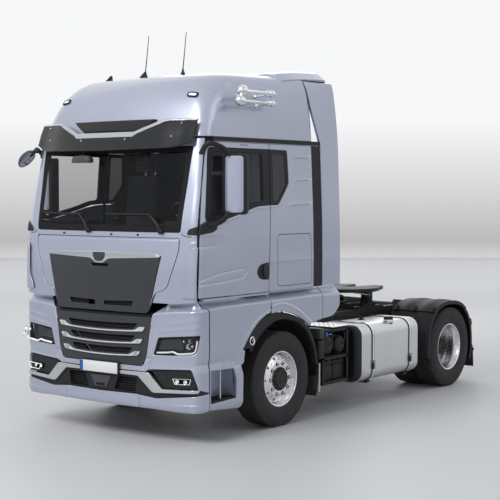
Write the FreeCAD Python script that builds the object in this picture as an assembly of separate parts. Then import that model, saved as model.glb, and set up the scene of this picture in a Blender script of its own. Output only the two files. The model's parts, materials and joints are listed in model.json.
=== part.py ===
# A two-axle semi truck tractor unit with a high-roof cab over its engine.
# Lengths are millimetres. The truck faces -Y, its left side is +X, and +Z is up.
# Everything is modelled from the front axle's line on the ground, and moved to the middle of its length on export.
import FreeCAD, Part
import math
import os
from FreeCAD import Vector

# Driving dimensions of the whole truck
wheelbase = 3600.0
front_overhang = 1540.0
rear_overhang = 680.0
tyre_radius = 507.0
overrun = 40.0
panel_gap = 8.0
seat_gap = 0.3

# Wheels and tyres
tyre_width = 312.0
bead_radius = 292.0
wheel_flange = 12.0
front_wheel_x = 1033.0
twin_outer_x = 1079.0
twin_spacing = 346.0
rim_wall = 9.0
disc_wall = 14.0
hand_hole_radius = 27.0
hand_hole_circle = 212.0
hand_hole_count = 10
hub_radius = 118.0
hub_cap_radius = 84.0
hub_bore_radius = 45.5
spindle_radius = 45.0
front_disc_inset = 28.0
front_hub_stand = 34.0
rear_hub_stand = 150.0
hub_depth = 150.0

# Steering
kingpin_x = 900.0
kingpin_radius = 25.0
kingpin_clearance = 0.5
knuckle_height = 300.0
knuckle_width = 110.0
knuckle_depth = 130.0
axle_boss_height = 130.0
axle_boss_radius = 58.0
fork_gap = 2.0
fork_plate = 44.0
steer_arm_length = 210.0
steer_arm_section = 34.0
brake_disc_radius = 205.0
brake_disc_width = 42.0
brake_disc_x = 975.0

# Frame
rail_outer = 430.0
rail_flange = 80.0
rail_web = 10.0
rail_top = 1010.0
rail_height = 280.0
rail_front_ahead = 1120.0
cross_tube_radius = 62.0
cross_tube_places = (-1050.0, 1240.0, 1900.0, 2450.0, 4060.0)

# Engine and driveline
engine_width = 640.0
engine_ahead = 950.0
engine_behind = 330.0
engine_bottom = 560.0
engine_top = 1330.0
engine_mount_y = -500.0
gearbox_width = 420.0
gearbox_behind = 1150.0
gearbox_bottom = 640.0
gearbox_top = 1000.0
shaft_radius = 55.0
shaft_rear_z = 560.0
driveline_z = 800.0

# Cab tilt hinge
tilt_pivot_ahead = 1400.0
tilt_pivot_z = 900.0
tilt_pin_radius = 20.0
tilt_eye_radius = 40.0
tilt_arm_x = 440.0
tilt_arm_width = 36.0
tilt_arm_ahead = 439.0
tilt_arm_foot = 90.0

# Axles and springs
front_beam_z = 470.0
front_beam_height = 110.0
front_beam_depth = 90.0
front_beam_drop = 60.0
spring_x = 385.0
spring_width = 84.0
spring_half_length = 820.0
spring_thickness = 46.0
spring_eye_radius = 42.0
hanger_width = 70.0
rear_tube_radius = 72.0
diff_radius = 215.0
diff_width = 300.0
air_spring_radius = 125.0
air_spring_x = 470.0
air_spring_offset = 430.0
air_arm_height = 70.0
air_arm_width = 100.0

# Fifth wheel
fifth_centre_behind = 2960.0
fifth_plate_top = 1262.0
fifth_plate_thickness = 46.0
fifth_radius = 455.0
fifth_skirt = 90.0
fifth_skirt_wall = 22.0
kingpin_lock_radius = 25.6
throat_half_width = 150.0
fifth_pivot_z = 1120.0
fifth_pin_radius = 30.0
fifth_pin_clearance = 0.5
fifth_bracket_x = 360.0
fifth_bracket_width = 44.0
fifth_lug_width = 40.0
fifth_base_thickness = 24.0
fifth_base_half_width = 425.0
fifth_base_half_length = 300.0
jaw_ring = 44.0
jaw_height = 40.0

# Cab shell: one row for each level of its plan
cab_bottom = 1455.0
cab_wall = 52.0
cab_rear = 600.0
belt_z = 2075.0
gutter_z = 3035.0
# height, front on the centre line, bow of the front, half width at front and rear, corner radius
cab_levels = (
    (1280.0, -1540.0, 105.0, 1222.0, 1222.0, 105.0),
    (1620.0, -1540.0, 105.0, 1224.0, 1224.0, 105.0),
    (2075.0, -1524.0, 105.0, 1220.0, 1222.0, 105.0),
    (2560.0, -1452.0, 112.0, 1196.0, 1206.0, 110.0),
    (3035.0, -1368.0, 118.0, 1152.0, 1186.0, 125.0),
    (3260.0, -1300.0, 120.0, 1120.0, 1172.0, 170.0),
    (3480.0, -1188.0, 112.0, 1070.0, 1150.0, 230.0),
    (3620.0, -1040.0, 100.0, 1010.0, 1124.0, 270.0),
    (3694.0, -880.0, 80.0, 950.0, 1096.0, 290.0),
    (3726.0, -700.0, 60.0, 880.0, 1060.0, 300.0),
)

# Doors, windows and lockers: places behind the front axle (ahead is negative) and heights
door_front_low = -1415.0
door_front_mid = -1387.0
door_front_top = -1215.0
door_mid_z = 2200.0
door_rear_low = -290.0
door_rear_top = -222.0
door_inner_x = 1050.0
door_inner_low = 1163.0
door_inner_top = 1093.0
door_hinge_x = 1197.0
door_hinge_y = -1415.0
door_hinge_radius = 9.0
door_hinge_recess = 30.0
door_hinge_places = (1540.0, 1840.0)
barrel_length = 90.0
door_top_drop = 6.0
window_front_top = -1172.0
window_top_z = 2938.0
window_front_low = -1118.0
window_sill_z = 2206.0
window_step_front = -726.0
window_step_z = 2276.0
window_step_rear = -471.0
window_rear_sill_z = 2367.0
window_pillar_y = -330.0
quarter_front = -170.0
quarter_rear = 112.0
quarter_low_rear = -70.0
quarter_sill_z = 2380.0
quarter_mid_z = 2565.0
glass_inset = 14.0
screen_inset = 4.0
glass_thickness = 6.0
glass_gap = 0.15
handle_length = 220.0
handle_height = 84.0
handle_stand = 14.0
handle_rear = -302.0
handle_z = 1672.0
locker_front = -118.0
locker_rear = 474.0
locker_bottom = 1505.0
locker_top = 2045.0
locker_corner = 50.0
locker_thickness = 30.0
locker_hinge_radius = 5.0

# Windscreen, flap, visor
screen_bottom = 2098.0
screen_top = 2925.0
screen_half_bottom = 1090.0
screen_half_top = 1045.0
flap_hinge_z = 2044.0
flap_hinge_y = -1527.0
flap_hinge_x = 300.0
flap_hinge_radius = 3.5
flap_hinge_leaf = 17.0
flap_lug_width = 8.0
flap_lug_rise = 12.0
flap_thickness = 30.0
flap_top = 2044.0
flap_half_top = 1005.0
flap_half_mid = 1005.0
flap_mid_z = 1917.0
flap_half_low = 866.0
flap_low_z = 1537.0
flap_half_foot = 733.0
flap_foot_z = 1493.0
flap_half_neck = 692.0
flap_neck_z = 1425.0
flap_bottom = 1290.0
flap_half_bottom = 640.0
dark_half_top = 770.0
dark_half_low = 672.0
dark_top = 1850.0
dark_proud = 10.0
dark_slot_z = 1372.0
dark_slot_height = 52.0
dark_slot_inner = 60.0
dark_slot_outer = 455.0
wing_strip_half = 752.0
wing_strip_height = 36.0
wing_strip_proud = 7.0
wing_strip_centre = 112.0
wing_shield_height = 140.0
visor_low_mid = 2905.0
visor_low_end = 2972.0
visor_top_mid = 3065.0
visor_top_end = 3182.0
visor_notch_half = 360.0
visor_shoulder = 780.0
visor_half = 1085.0
visor_front_mid = -1470.0
visor_end_y = -1304.0
visor_bracket_width = 36.0
visor_bracket_height = 30.0
visor_bracket_z = 3010.0
visor_bracket_places = (260.0, 900.0)
visor_thickness = 10.0
firewall_y = -1400.0
firewall_thickness = 24.0

# Roof: skylight, spoiler, horns, aerials
skylight_half_top = 580.0
skylight_half_low = 400.0
skylight_low = 3110.0
skylight_top = 3215.0
spoiler_front = 120.0
spoiler_rear = 985.0
spoiler_top = 3835.0
spoiler_half = 1075.0
spoiler_wall = 36.0
horn_x = 1225.0
horn_upper_z = 3512.0
horn_lower_z = 3412.0
horn_bell_y = -735.0
horn_tail_y = -170.0
horn_bell_radius = 58.0
horn_throat_radius = 16.0
horn_foot = 26.0
aerial_left_x = 230.0
aerial_right_x = -310.0
aerial_y = -500.0
aerial_tip_z = 4212.0
aerial_radius = 4.0
aerial_base_radius = 24.0
aerial_base_height = 50.0
fin_x = -863.0
fin_length = 150.0
fin_height = 70.0
fin_width = 34.0
marker_x = 894.0
marker_z = 3465.0
marker_radius = 26.0
marker_length = 60.0

# Side deflectors
deflector_front = 612.0
deflector_rear = 1042.0
deflector_bottom = 1385.0
deflector_wall = 34.0
deflector_half_top = 1108.0
deflector_half = 1212.0
deflector_cut_y = 985.0

# Mirrors
mirror_arm_y = -1130.0
mirror_inner_x = 1226.0
mirror_outer_x = 1482.0
mirror_front_y = -1160.0
mirror_rear_y = -965.0
mirror_bottom = 2290.0
mirror_top = 2945.0
mirror_round = 60.0
mirror_arm_radius = 20.0
mirror_glass_inset = 22.0
mirror_glass_depth = 8.0
mirror_split_z = 2440.0
kerb_x = -1345.0
kerb_y = -1290.0
kerb_z = 2850.0
kerb_half_length = 118.0
kerb_half_width = 85.0
kerb_depth = 90.0
front_mirror_x = -300.0
front_mirror_y = -1492.0
front_mirror_z = 2838.0
front_mirror_half = 128.0
front_mirror_depth = 62.0
front_mirror_width = 90.0

# Lower front: bumper, grille, lamps
lower_inner = 60.0
lower_depth = 190.0
lower_top = 1270.0
bumper_top = 730.0
bumper_bottom = 335.0
bumper_side_rear = -1262.0
bumper_corner_top = 1400.0
bumper_step_half = 705.0
bumper_step_z = 1300.0
bumper_step_top_half = 800.0
seam_bend_z = 1244.0
seam_notch_y = -1291.0
seam_notch_z = 1347.0
bumper_half = 1222.0
bumper_arm_x = 565.0
grille_half_top = 672.0
grille_half_low = 556.0
grille_bottom = 745.0
grille_frame = 34.0
bar_levels = (1150.0, 1028.0, 903.0)
bar_droops = (66.0, 62.0, 57.0)
bar_height = 34.0
bar_depth = 40.0
bar_hook = 58.0
lamp_top_inner_z = 1052.0
lamp_low_inner_z = 893.0
lamp_top_outer_z = 1116.0
lamp_low_outer_z = 940.0
lamp_inner_x = 742.0
lamp_low_inner_x = 700.0
lamp_rear_y = -1290.0
lamp_skin = 26.0
fog_inner_top_x = 648.0
fog_inner_low_x = 800.0
fog_outer_x = 1150.0
fog_top_z = 716.0
fog_low_z = 580.0
fog_depth = 90.0
fog_lamp_radius = 52.0
fog_lamp_x = 1010.0
fog_lamp_z = 655.0
intake_half = 500.0
intake_top = 640.0
intake_low = 480.0
lamp_back_plate = 12.0
tow_cover_half = 155.0
trim_height = 34.0
trim_inner_x = 690.0
trim_low_z = 484.0

# Entry panels below the doors
entry_rear_low = -735.0
entry_bottom = 315.0
entry_top = 1447.0
entry_inner_x = 1010.0
entry_wall = 40.0
arch_radius = 700.0
arch_top_z = 1300.0
arch_seam_low_y = -205.0
arch_seam_top_y = -292.0
arch_seam_foot_y = -130.0
arch_seam_foot_z = 1175.0
step_front = -1235.0
step_rear = -880.0
step_levels = (455.0, 800.0, 1130.0)
step_opening_bottom = 404.0
step_opening_top = 732.0
step_tread = 30.0
step_depth = 150.0
step_lap = 14.0

# Front mudguards
guard_inner = 655.0
guard_wall = 14.0
guard_inner_x = 880.0
guard_outer_x = 1180.0
guard_front_angle = 152.0
guard_rear_angle = -8.0
guard_flap_bottom = 225.0
guard_stay_angle = 149.0
guard_stay_section = 16.0

# Cab skirt behind the front wheel
skirt_bottom = 1085.0
skirt_rear = 690.0

# Fuel tank, silencer, battery carrier
tank_front = 1530.0
tank_rear = 2800.0
tank_bottom = 285.0
tank_top = 950.0
tank_inner_x = 560.0
tank_outer_x = 1212.0
tank_corner = 120.0
strap_places = (1740.0, 2580.0)
strap_width = 46.0
strap_thickness = 6.0
filler_radius = 52.0
filler_height = 48.0
filler_x = 1040.0
filler_y = 1760.0
silencer_front = 1180.0
silencer_rear = 2140.0
silencer_bottom = 300.0
silencer_top = 930.0
silencer_inner_x = 520.0
silencer_outer_x = 1190.0
silencer_corner = 90.0
carrier_front = 780.0
carrier_rear = 1330.0
carrier_inner_x = 480.0
carrier_outer_x = 1150.0
carrier_bottom = 350.0
carrier_top = 960.0
carrier_bar = 40.0
carrier_shelf = 20.0
air_tank_radius = 125.0
air_tank_length = 480.0
battery_height = 240.0
bracket_height = 60.0

# Deck and rear
deck_front = 760.0
deck_rear = 1700.0
deck_half = 560.0
deck_top = 1050.0
deck_thickness = 30.0
fender_inner_x = 610.0
fender_outer_x = 1236.0
fender_clear = 62.0
fender_wall = 12.0
fender_lip = 40.0
fender_front_angle = 190.0
fender_rear_angle = -22.0
fender_join_front = 128.0
fender_join_rear = 52.0
fender_lap_angle = 3.0
fender_post_angles = (142.0, 38.0)
flap_rear_bottom = 180.0
flap_rear_top = 420.0
fender_post_radius = 22.0
tail_bar_z = 760.0
tail_bar_height = 110.0
tail_bar_depth = 60.0
tail_bar_half = 1180.0
tail_lamp_width = 420.0
tail_lamp_height = 130.0
tail_lamp_depth = 70.0

# Inside the cab
floor_z = 1495.0
floor_thickness = 40.0
dash_rear = -830.0
dash_top = 2130.0
dash_low = 1760.0
seat_width = 520.0
seat_front = -690.0
seat_rear = -190.0
seat_cushion_z = 1980.0
seat_cushion = 130.0
seat_back_top = 2760.0
seat_back = 130.0
seat_x = 560.0
seat_base = 300.0
bunk_front = -40.0
bunk_bottom = 1900.0
bunk_thickness = 150.0
bunk_half = 1090.0
steering_wheel_radius = 220.0
steering_rim = 17.0
steering_centre_z = 2260.0
steering_centre_y = -740.0
steering_tilt = 35.0
wall_clear = 5.0

# Small values that follow from those above
front_axle_y = (front_overhang - rear_overhang - wheelbase) / 2
rear_y = wheelbase
overall_rear = wheelbase + rear_overhang
rail_bottom = rail_top - rail_height
rail_rear_behind = overall_rear - tail_lamp_depth - tail_bar_depth
side_x = cab_levels[2][3]
cab_top = cab_levels[-1][0]
rear_disc_x = twin_outer_x - twin_spacing / 2
front_disc_x = front_wheel_x + tyre_width / 2 - front_disc_inset


def box(x_low, x_high, y_low, y_high, z_low, z_high):
    """Block between two corners."""
    size = (x_high - x_low, y_high - y_low, z_high - z_low)
    return Part.makeBox(size[0], size[1], size[2], Vector(x_low, y_low, z_low))


def prism_x(outline, x_low, x_high):
    """Outline of (y, z) points, drawn out along X."""
    points = [Vector(x_low, y, z) for y, z in outline]
    face = Part.Face(Part.makePolygon(points + points[:1]))
    return face.extrude(Vector(x_high - x_low, 0, 0))


def prism_y(outline, y_low, y_high):
    """Outline of (x, z) points, drawn out along Y."""
    points = [Vector(x, y_low, z) for x, z in outline]
    face = Part.Face(Part.makePolygon(points + points[:1]))
    return face.extrude(Vector(0, y_high - y_low, 0))


def prism_z(outline, z_low, z_high):
    """Outline of (x, y) points, drawn out along Z."""
    points = [Vector(x, y, z_low) for x, y in outline]
    face = Part.Face(Part.makePolygon(points + points[:1]))
    return face.extrude(Vector(0, 0, z_high - z_low))


def rod(start, end, radius):
    """Round bar between two points."""
    along = end - start
    return Part.makeCylinder(radius, along.Length, start, along)


def revolve_x(profile, y, z):
    """Closed profile of (x, radius) points, turned about a line along X through y and z."""
    points = [Vector(x, y, z + radius) for x, radius in profile]
    face = Part.Face(Part.makePolygon(points + points[:1]))
    return face.revolve(Vector(0, y, z), Vector(1, 0, 0), 360)


def mirror_x(shape):
    """The same piece on the other side."""
    return shape.mirror(Vector(0, 0, 0), Vector(1, 0, 0))


def both(shape):
    """A piece and its mirror image, in one node."""
    return Part.makeCompound([shape, mirror_x(shape)])


def fuse(shapes):
    """One solid from pieces that touch or overlap."""
    first = shapes[0]
    whole = first.fuse(shapes[1:]) if len(shapes) > 1 else first
    return whole.removeSplitter()


def turned(shape, centre, axis, angle):
    """A copy turned about a line."""
    copy = shape.copy()
    copy.rotate(centre, axis, angle)
    return copy


def moved(shape, x, y, z):
    """A copy shifted by x, y and z."""
    copy = shape.copy()
    copy.translate(Vector(x, y, z))
    return copy


def ring_of(shape, centre, axis, count):
    """Equal copies around a line."""
    return [turned(shape, centre, axis, 360.0 * i / count) for i in range(count)]


def rounded_x(y_low, y_high, z_low, z_high, corner, x_low, x_high):
    """Block along X whose four long edges are rounded."""
    block = box(x_low, x_high, y_low, y_high, z_low, z_high)
    edges = [e for e in block.Edges if abs(e.tangentAt(e.FirstParameter).x) > 0.9]
    return block.makeFillet(corner, edges)


def rounded_y(x_low, x_high, z_low, z_high, corner, y_low, y_high):
    """Block along Y whose four long edges are rounded."""
    block = box(x_low, x_high, y_low, y_high, z_low, z_high)
    edges = [e for e in block.Edges if abs(e.tangentAt(e.FirstParameter).y) > 0.9]
    return block.makeFillet(corner, edges)


# Cab shell

def cab_section(level, inset, rear):
    """Plan of the cab at one level: bowed front, round front corners, straight sides."""
    z, front, bow, half_front, half_rear, corner = level
    half_front = half_front - inset
    half_rear = half_rear - inset
    front = front + inset
    turn_x = half_front - corner
    turn_y = front + bow * (turn_x / half_front) ** 2
    cut = corner * (1 - math.sqrt(0.5))
    side_start = turn_y + corner
    middle = Vector(half_front - cut, turn_y + cut, z)
    left = [Vector(half_front, side_start, z), middle, Vector(turn_x, turn_y, z)]
    right = [Vector(-p.x, p.y, p.z) for p in left]
    taper = (half_rear - half_front) / (cab_rear - side_start)
    rear_left = Vector(half_front + taper * (rear - side_start), rear, z)
    rear_right = Vector(-rear_left.x, rear, z)
    edges = [
        Part.LineSegment(rear_left, left[0]).toShape(),
        Part.Arc(left[0], left[1], left[2]).toShape(),
        Part.Arc(left[2], Vector(0, front, z), right[2]).toShape(),
        Part.Arc(right[2], right[1], right[0]).toShape(),
        Part.LineSegment(right[0], rear_right).toShape(),
        Part.LineSegment(rear_right, rear_left).toShape(),
    ]
    return Part.Wire(edges)


def cab_form(inset, rear, top_drop):
    """Solid bounded by the cab's skin, moved in by inset and lowered by top_drop at its top."""
    wires = []
    for level in cab_levels:
        rise_share = max(0, level[0] - gutter_z) / (cab_top - gutter_z)
        lowered = (level[0] - top_drop * rise_share ** 2,) + level[1:]
        wires.append(cab_section(lowered, inset, rear))
    return Part.makeLoft(wires, True, True)


def inside_section(level, inset, rear):
    """Plan of the cab's lining at one level, in straight runs."""
    z, front, bow, half_front, half_rear, corner = level
    half_front = half_front - inset
    half_rear = half_rear - inset
    front = front + inset
    turn_x = half_front - corner
    turn_y = front + bow * (turn_x / half_front) ** 2
    cut = corner * (1 - math.sqrt(0.5))
    taper = (half_rear - half_front) / (cab_rear - turn_y - corner)
    left = [
        (half_front + taper * (rear - turn_y - corner), rear),
        (half_front, turn_y + corner),
        (half_front - cut, turn_y + cut),
        (turn_x, turn_y),
        (turn_x / 2, front + bow * (turn_x / half_front / 2) ** 2),
    ]
    right = [(-x, y) for x, y in reversed(left)]
    corners = [Vector(x, y, z) for x, y in left + right]
    return Part.makePolygon(corners + corners[:1])


def cab_inside(inset, rear, top_drop):
    """Solid inside the cab's lining, moved in by inset and lowered by top_drop at its top."""
    wires = []
    for level in cab_levels:
        rise_share = max(0, level[0] - gutter_z) / (cab_top - gutter_z)
        lowered = (level[0] - top_drop * rise_share ** 2,) + level[1:]
        wires.append(inside_section(lowered, inset, rear))
    return Part.makeLoft(wires, True, True)


def skin_front(x, z):
    """Place of the cab's front skin at a width and a height."""
    for low, high in zip(cab_levels, cab_levels[1:]):
        if z <= high[0]:
            break
    share = (z - low[0]) / (high[0] - low[0])
    front = low[1] + (high[1] - low[1]) * share
    bow = low[2] + (high[2] - low[2]) * share
    half = low[3] + (high[3] - low[3]) * share
    return front + bow * (x / half) ** 2


def shell_layer(outer, inner):
    """The cab's skin between two depths, open at the rear and the bottom."""
    inside = cab_inside(inner, cab_rear + overrun, inner)
    below = box(-side_x, side_x, -front_overhang, cab_rear + overrun, 0, cab_levels[0][0])
    return cab_form(outer, cab_rear, outer).cut(inside).cut(below)


def door_outline(grow):
    """Side view of the left door's seam, moved out by grow."""
    return [
        (door_front_low - grow, cab_bottom - grow),
        (door_front_mid - grow, door_mid_z),
        (door_front_top - grow, gutter_z - door_top_drop + grow),
        (door_rear_top + grow, gutter_z - door_top_drop + grow),
        (door_rear_low + grow, cab_bottom - grow),
    ]


def door_window(grow):
    """Side view of the door's glass."""
    return [
        (window_front_low - grow, window_sill_z - grow),
        (window_front_top - grow, window_top_z + grow),
        (window_pillar_y + grow, window_top_z + grow),
        (window_pillar_y + grow, window_rear_sill_z - grow),
        (window_step_rear, window_rear_sill_z - grow),
        (window_step_front, window_step_z - grow),
    ]


def quarter_window(grow):
    """Side view of the glass behind the door."""
    return [
        (quarter_front - grow, quarter_sill_z - grow),
        (quarter_front - grow, window_top_z + grow),
        (quarter_rear + grow, window_top_z + grow),
        (quarter_rear + grow, quarter_mid_z - grow),
        (quarter_low_rear + grow, quarter_sill_z - grow),
    ]


def screen_outline(grow):
    """Front view of the windscreen."""
    return [
        (-screen_half_bottom - grow, screen_bottom - grow),
        (-screen_half_top - grow, screen_top + grow),
        (screen_half_top + grow, screen_top + grow),
        (screen_half_bottom + grow, screen_bottom - grow),
    ]


def flap_outline(grow):
    """Front view of the flap's seam."""
    left = [
        (flap_half_top + grow, flap_top + grow),
        (flap_half_mid + grow, flap_mid_z - grow),
        (flap_half_low + grow, flap_low_z - grow),
        (flap_half_foot + grow, flap_foot_z - grow),
        (flap_half_neck + grow, flap_neck_z - grow),
        (flap_half_bottom + grow, flap_bottom - grow),
    ]
    return left + [(-x, z) for x, z in reversed(left)]


def dark_outline(shrink):
    """Front view of the dark upper panel."""
    left = [
        (dark_half_top - shrink, dark_top - shrink),
        (dark_half_low - shrink, flap_neck_z),
        (flap_half_bottom - shrink, flap_bottom + shrink),
    ]
    return left + [(-x, z) for x, z in reversed(left)]


def door_barrels():
    """Hinge barrels of the left door."""
    barrels = []
    for z in door_hinge_places:
        foot = Vector(door_hinge_x, door_hinge_y, z)
        barrel = Part.makeCylinder(door_hinge_radius, barrel_length, foot)
        leaf = box(
            door_hinge_x - door_hinge_radius * 2,
            door_hinge_x - door_hinge_radius / 2,
            door_hinge_y,
            door_hinge_y + barrel_length / 2,
            z,
            z + barrel_length,
        )
        barrels.append(barrel.fuse(leaf))
    return Part.makeCompound(barrels)


def door_hinge_pockets():
    """Round pockets in the pillar that the left door's barrels and leaves turn in."""
    pockets = []
    for z in door_hinge_places:
        foot = Vector(door_hinge_x, door_hinge_y, z - seat_gap)
        pockets.append(Part.makeCylinder(door_hinge_recess, barrel_length + seat_gap * 2, foot))
    return Part.makeCompound(pockets)


def flap_barrels():
    """Hinge barrels of the front flap with their leaves."""
    barrels = []
    for x in (-flap_hinge_x - barrel_length / 2, flap_hinge_x - barrel_length / 2):
        start = Vector(x, flap_hinge_y, flap_hinge_z)
        barrel = rod(start, start + Vector(barrel_length, 0, 0), flap_hinge_radius)
        leaf = box(
            x,
            x + barrel_length,
            flap_hinge_y,
            flap_hinge_y + flap_hinge_leaf,
            flap_hinge_z - flap_hinge_leaf,
            flap_hinge_z,
        )
        barrels.append(barrel.fuse(leaf))
    return Part.makeCompound(barrels)


def flap_lugs():
    """Lugs above the flap's seam that hold the outer ends of its hinge barrels."""
    start = flap_hinge_x + barrel_length / 2 + seat_gap
    lug = box(
        start,
        start + flap_lug_width,
        flap_hinge_y - flap_hinge_radius,
        flap_hinge_y + flap_hinge_leaf + flap_lug_width,
        flap_hinge_z,
        flap_hinge_z + flap_lug_rise,
    )
    return [lug, mirror_x(lug)]


def locker_outline(grow):
    """Block through the left side behind the door, with round corners."""
    return rounded_x(
        locker_front - grow,
        locker_rear + grow,
        locker_bottom - grow,
        locker_top + grow,
        locker_corner,
        side_x - locker_thickness - grow,
        side_x + overrun,
    )


def front_cut(outline):
    """Front-view outline drawn through the cab's nose."""
    return prism_y(outline, -front_overhang - overrun, door_front_top)


def side_cut(outline):
    """Side-view outline drawn through the cab's left side."""
    return prism_x(outline, door_inner_x, side_x + overrun)


def door_block(grow):
    """Block through the left side inside the door's seam, leaning with the cab's side."""
    inner_low = door_inner_low - grow
    inner_top = door_inner_top - grow
    lean = [
        (inner_low, cab_bottom - overrun),
        (inner_low, belt_z),
        (inner_top, gutter_z),
        (side_x + overrun, gutter_z),
        (side_x + overrun, cab_bottom - overrun),
    ]
    return side_cut(door_outline(grow)).common(prism_y(lean, door_front_low - overrun, 0))


def skirt_region(grow):
    """Side view of everything on the cab's side behind the door, down to the skirt."""
    return [
        (door_rear_low + grow, cab_bottom),
        (door_rear_low + grow, cab_levels[0][0] - overrun),
        (cab_rear + overrun, cab_levels[0][0] - overrun),
        (cab_rear + overrun, gutter_z),
        (door_rear_top + grow, gutter_z),
    ]


def make_cab_parts():
    """Roof, front, sides and rear wall, split where the real panels meet."""
    shell = shell_layer(0, cab_wall)
    behind = overrun + cab_rear
    everything = cab_levels[-1][0] + overrun
    wide = side_x + overrun
    nose = -front_overhang - overrun
    above = box(-wide, wide, nose, behind, gutter_z, everything)
    roof = shell.common(above)
    skylight = prism_y(
        [
            (-skylight_half_low, skylight_low),
            (-skylight_half_top, skylight_top),
            (skylight_half_top, skylight_top),
            (skylight_half_low, skylight_low),
        ],
        nose,
        door_front_top,
    )
    roof = roof.cut(skylight)
    below = shell.cut(above)
    rear_side = prism_x(skirt_region(panel_gap / 2), 0, wide)
    ahead_of_seam = prism_x(
        [
            (door_rear_low * 2, 0),
            (door_rear_low * 2, entry_top),
            (arch_seam_top_y, entry_top),
            (arch_seam_low_y, arch_top_z),
            (arch_seam_foot_y, arch_seam_foot_z),
            (arch_seam_foot_y, 0),
        ],
        0,
        wide,
    )
    rear_side = rear_side.cut(ahead_of_seam)
    side_left = below.common(rear_side).cut(locker_outline(panel_gap / 2))
    side_left = side_left.cut(side_cut(quarter_window(glass_gap)))
    door_hole = door_block(panel_gap / 2)
    front_box = box(-wide, wide, nose, door_front_top + overrun, cab_bottom, gutter_z)
    front = below.common(front_box)
    front = front.cut(door_hole).cut(mirror_x(door_hole))
    front = front.cut(front_cut(screen_outline(glass_gap)))
    front = front.cut(front_cut(flap_outline(panel_gap / 2)))
    front = front.cut(door_hinge_pockets()).cut(mirror_x(door_hinge_pockets()))
    wall_half = flap_half_top + panel_gap * 4
    firewall = box(
        -wall_half, wall_half, firewall_y, firewall_y + firewall_thickness, floor_z, screen_bottom - lower_inner
    )
    front = fuse([front, firewall.common(cab_form(glass_inset, cab_rear, 0))] + flap_lugs())
    door = below.common(door_block(-panel_gap / 2)).cut(side_cut(door_window(glass_gap)))
    door = fuse([door, door_barrels()])
    return roof, front, side_left, door, skylight


def make_rear_wall():
    """Flat wall across the back of the cab, inside its skin."""
    room = cab_inside(cab_wall + seat_gap, cab_rear, cab_wall + seat_gap)
    slab = box(-side_x, side_x, cab_rear - cab_wall, cab_rear, floor_z - floor_thickness, spoiler_top)
    return slab.common(room)


def make_floor():
    """Cab floor with its two long bearers."""
    room = cab_inside(cab_wall + wall_clear, cab_rear - cab_wall - seat_gap, 0)
    front = firewall_y + firewall_thickness + seat_gap
    low = floor_z - floor_thickness
    slab = box(-side_x, side_x, front, cab_rear, low, floor_z).common(room)
    outline = [
        (-tilt_pivot_ahead - tilt_eye_radius, tilt_pivot_z - tilt_eye_radius),
        (-tilt_pivot_ahead + tilt_eye_radius, tilt_pivot_z - tilt_eye_radius),
        (-tilt_arm_ahead + tilt_arm_foot, low),
        (-tilt_arm_ahead - tilt_arm_foot, low),
        (-tilt_pivot_ahead - tilt_eye_radius, tilt_pivot_z + tilt_eye_radius),
    ]
    arm = prism_x(outline, tilt_arm_x, tilt_arm_x + tilt_arm_width)
    bore = rod(
        Vector(tilt_arm_x, -tilt_pivot_ahead, tilt_pivot_z),
        Vector(tilt_arm_x + tilt_arm_width, -tilt_pivot_ahead, tilt_pivot_z),
        tilt_pin_radius + kingpin_clearance,
    )
    arm = arm.cut(bore)
    return fuse([slab, arm, mirror_x(arm)])


def make_cab_mounts():
    """Brackets with the tilt pins at the frame's front, and the posts under the back of the cab."""
    ahead = -rail_front_ahead - lower_inner
    plate = box(
        rail_outer - rail_flange,
        rail_outer,
        -tilt_pivot_ahead - tilt_eye_radius,
        ahead,
        tilt_pivot_z - tilt_eye_radius,
        tilt_pivot_z + tilt_eye_radius,
    )
    pin = rod(
        Vector(rail_outer - rail_flange, -tilt_pivot_ahead, tilt_pivot_z),
        Vector(tilt_arm_x + tilt_arm_width, -tilt_pivot_ahead, tilt_pivot_z),
        tilt_pin_radius,
    )
    post = box(
        rail_outer - rail_flange,
        rail_outer,
        cab_rear - cab_wall - rail_flange * 2,
        cab_rear - cab_wall - rail_flange,
        rail_top,
        floor_z - floor_thickness - seat_gap,
    )
    left = fuse([plate, pin])
    return Part.makeCompound([left, mirror_x(left), post, mirror_x(post)])


def glass_layer(cutter, inset):
    """Sheet of glass that follows the skin inside an opening."""
    outer = cab_form(inset, cab_rear, 0)
    inner = cab_form(inset + glass_thickness, cab_rear + overrun, 0)
    return outer.cut(inner).common(cutter)


def make_locker_lid():
    """Outer lid of the locker behind the door, round along its upper edge where it turns."""
    lid = shell_layer(0, locker_thickness).common(locker_outline(-panel_gap / 2))
    hinge_x = side_x - locker_hinge_radius
    hinge_z = locker_top - panel_gap / 2 - locker_hinge_radius
    edge = box(hinge_x, side_x + overrun, locker_front, locker_rear, hinge_z, locker_top + overrun)
    first = locker_front + locker_corner
    last = locker_rear - locker_corner
    barrel = rod(Vector(hinge_x, first, hinge_z), Vector(hinge_x, last, hinge_z), locker_hinge_radius)
    return fuse([lid.cut(edge), barrel])


def make_flap():
    """Painted front flap under the windscreen."""
    skin = shell_layer(0, flap_thickness).common(front_cut(flap_outline(-panel_gap / 2)))
    return fuse([skin.cut(front_cut(dark_outline(0))), flap_barrels()])


def make_dark_panel():
    """Dark upper panel with two air slots and the bright wing strip across its top."""
    skin = shell_layer(0, flap_thickness).common(front_cut(dark_outline(seat_gap)))
    slot = box(
        dark_slot_inner,
        dark_slot_outer,
        -front_overhang - overrun,
        door_front_top,
        dark_slot_z - dark_slot_height / 2,
        dark_slot_z + dark_slot_height / 2,
    )
    return skin.cut(slot).cut(mirror_x(slot))


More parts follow.
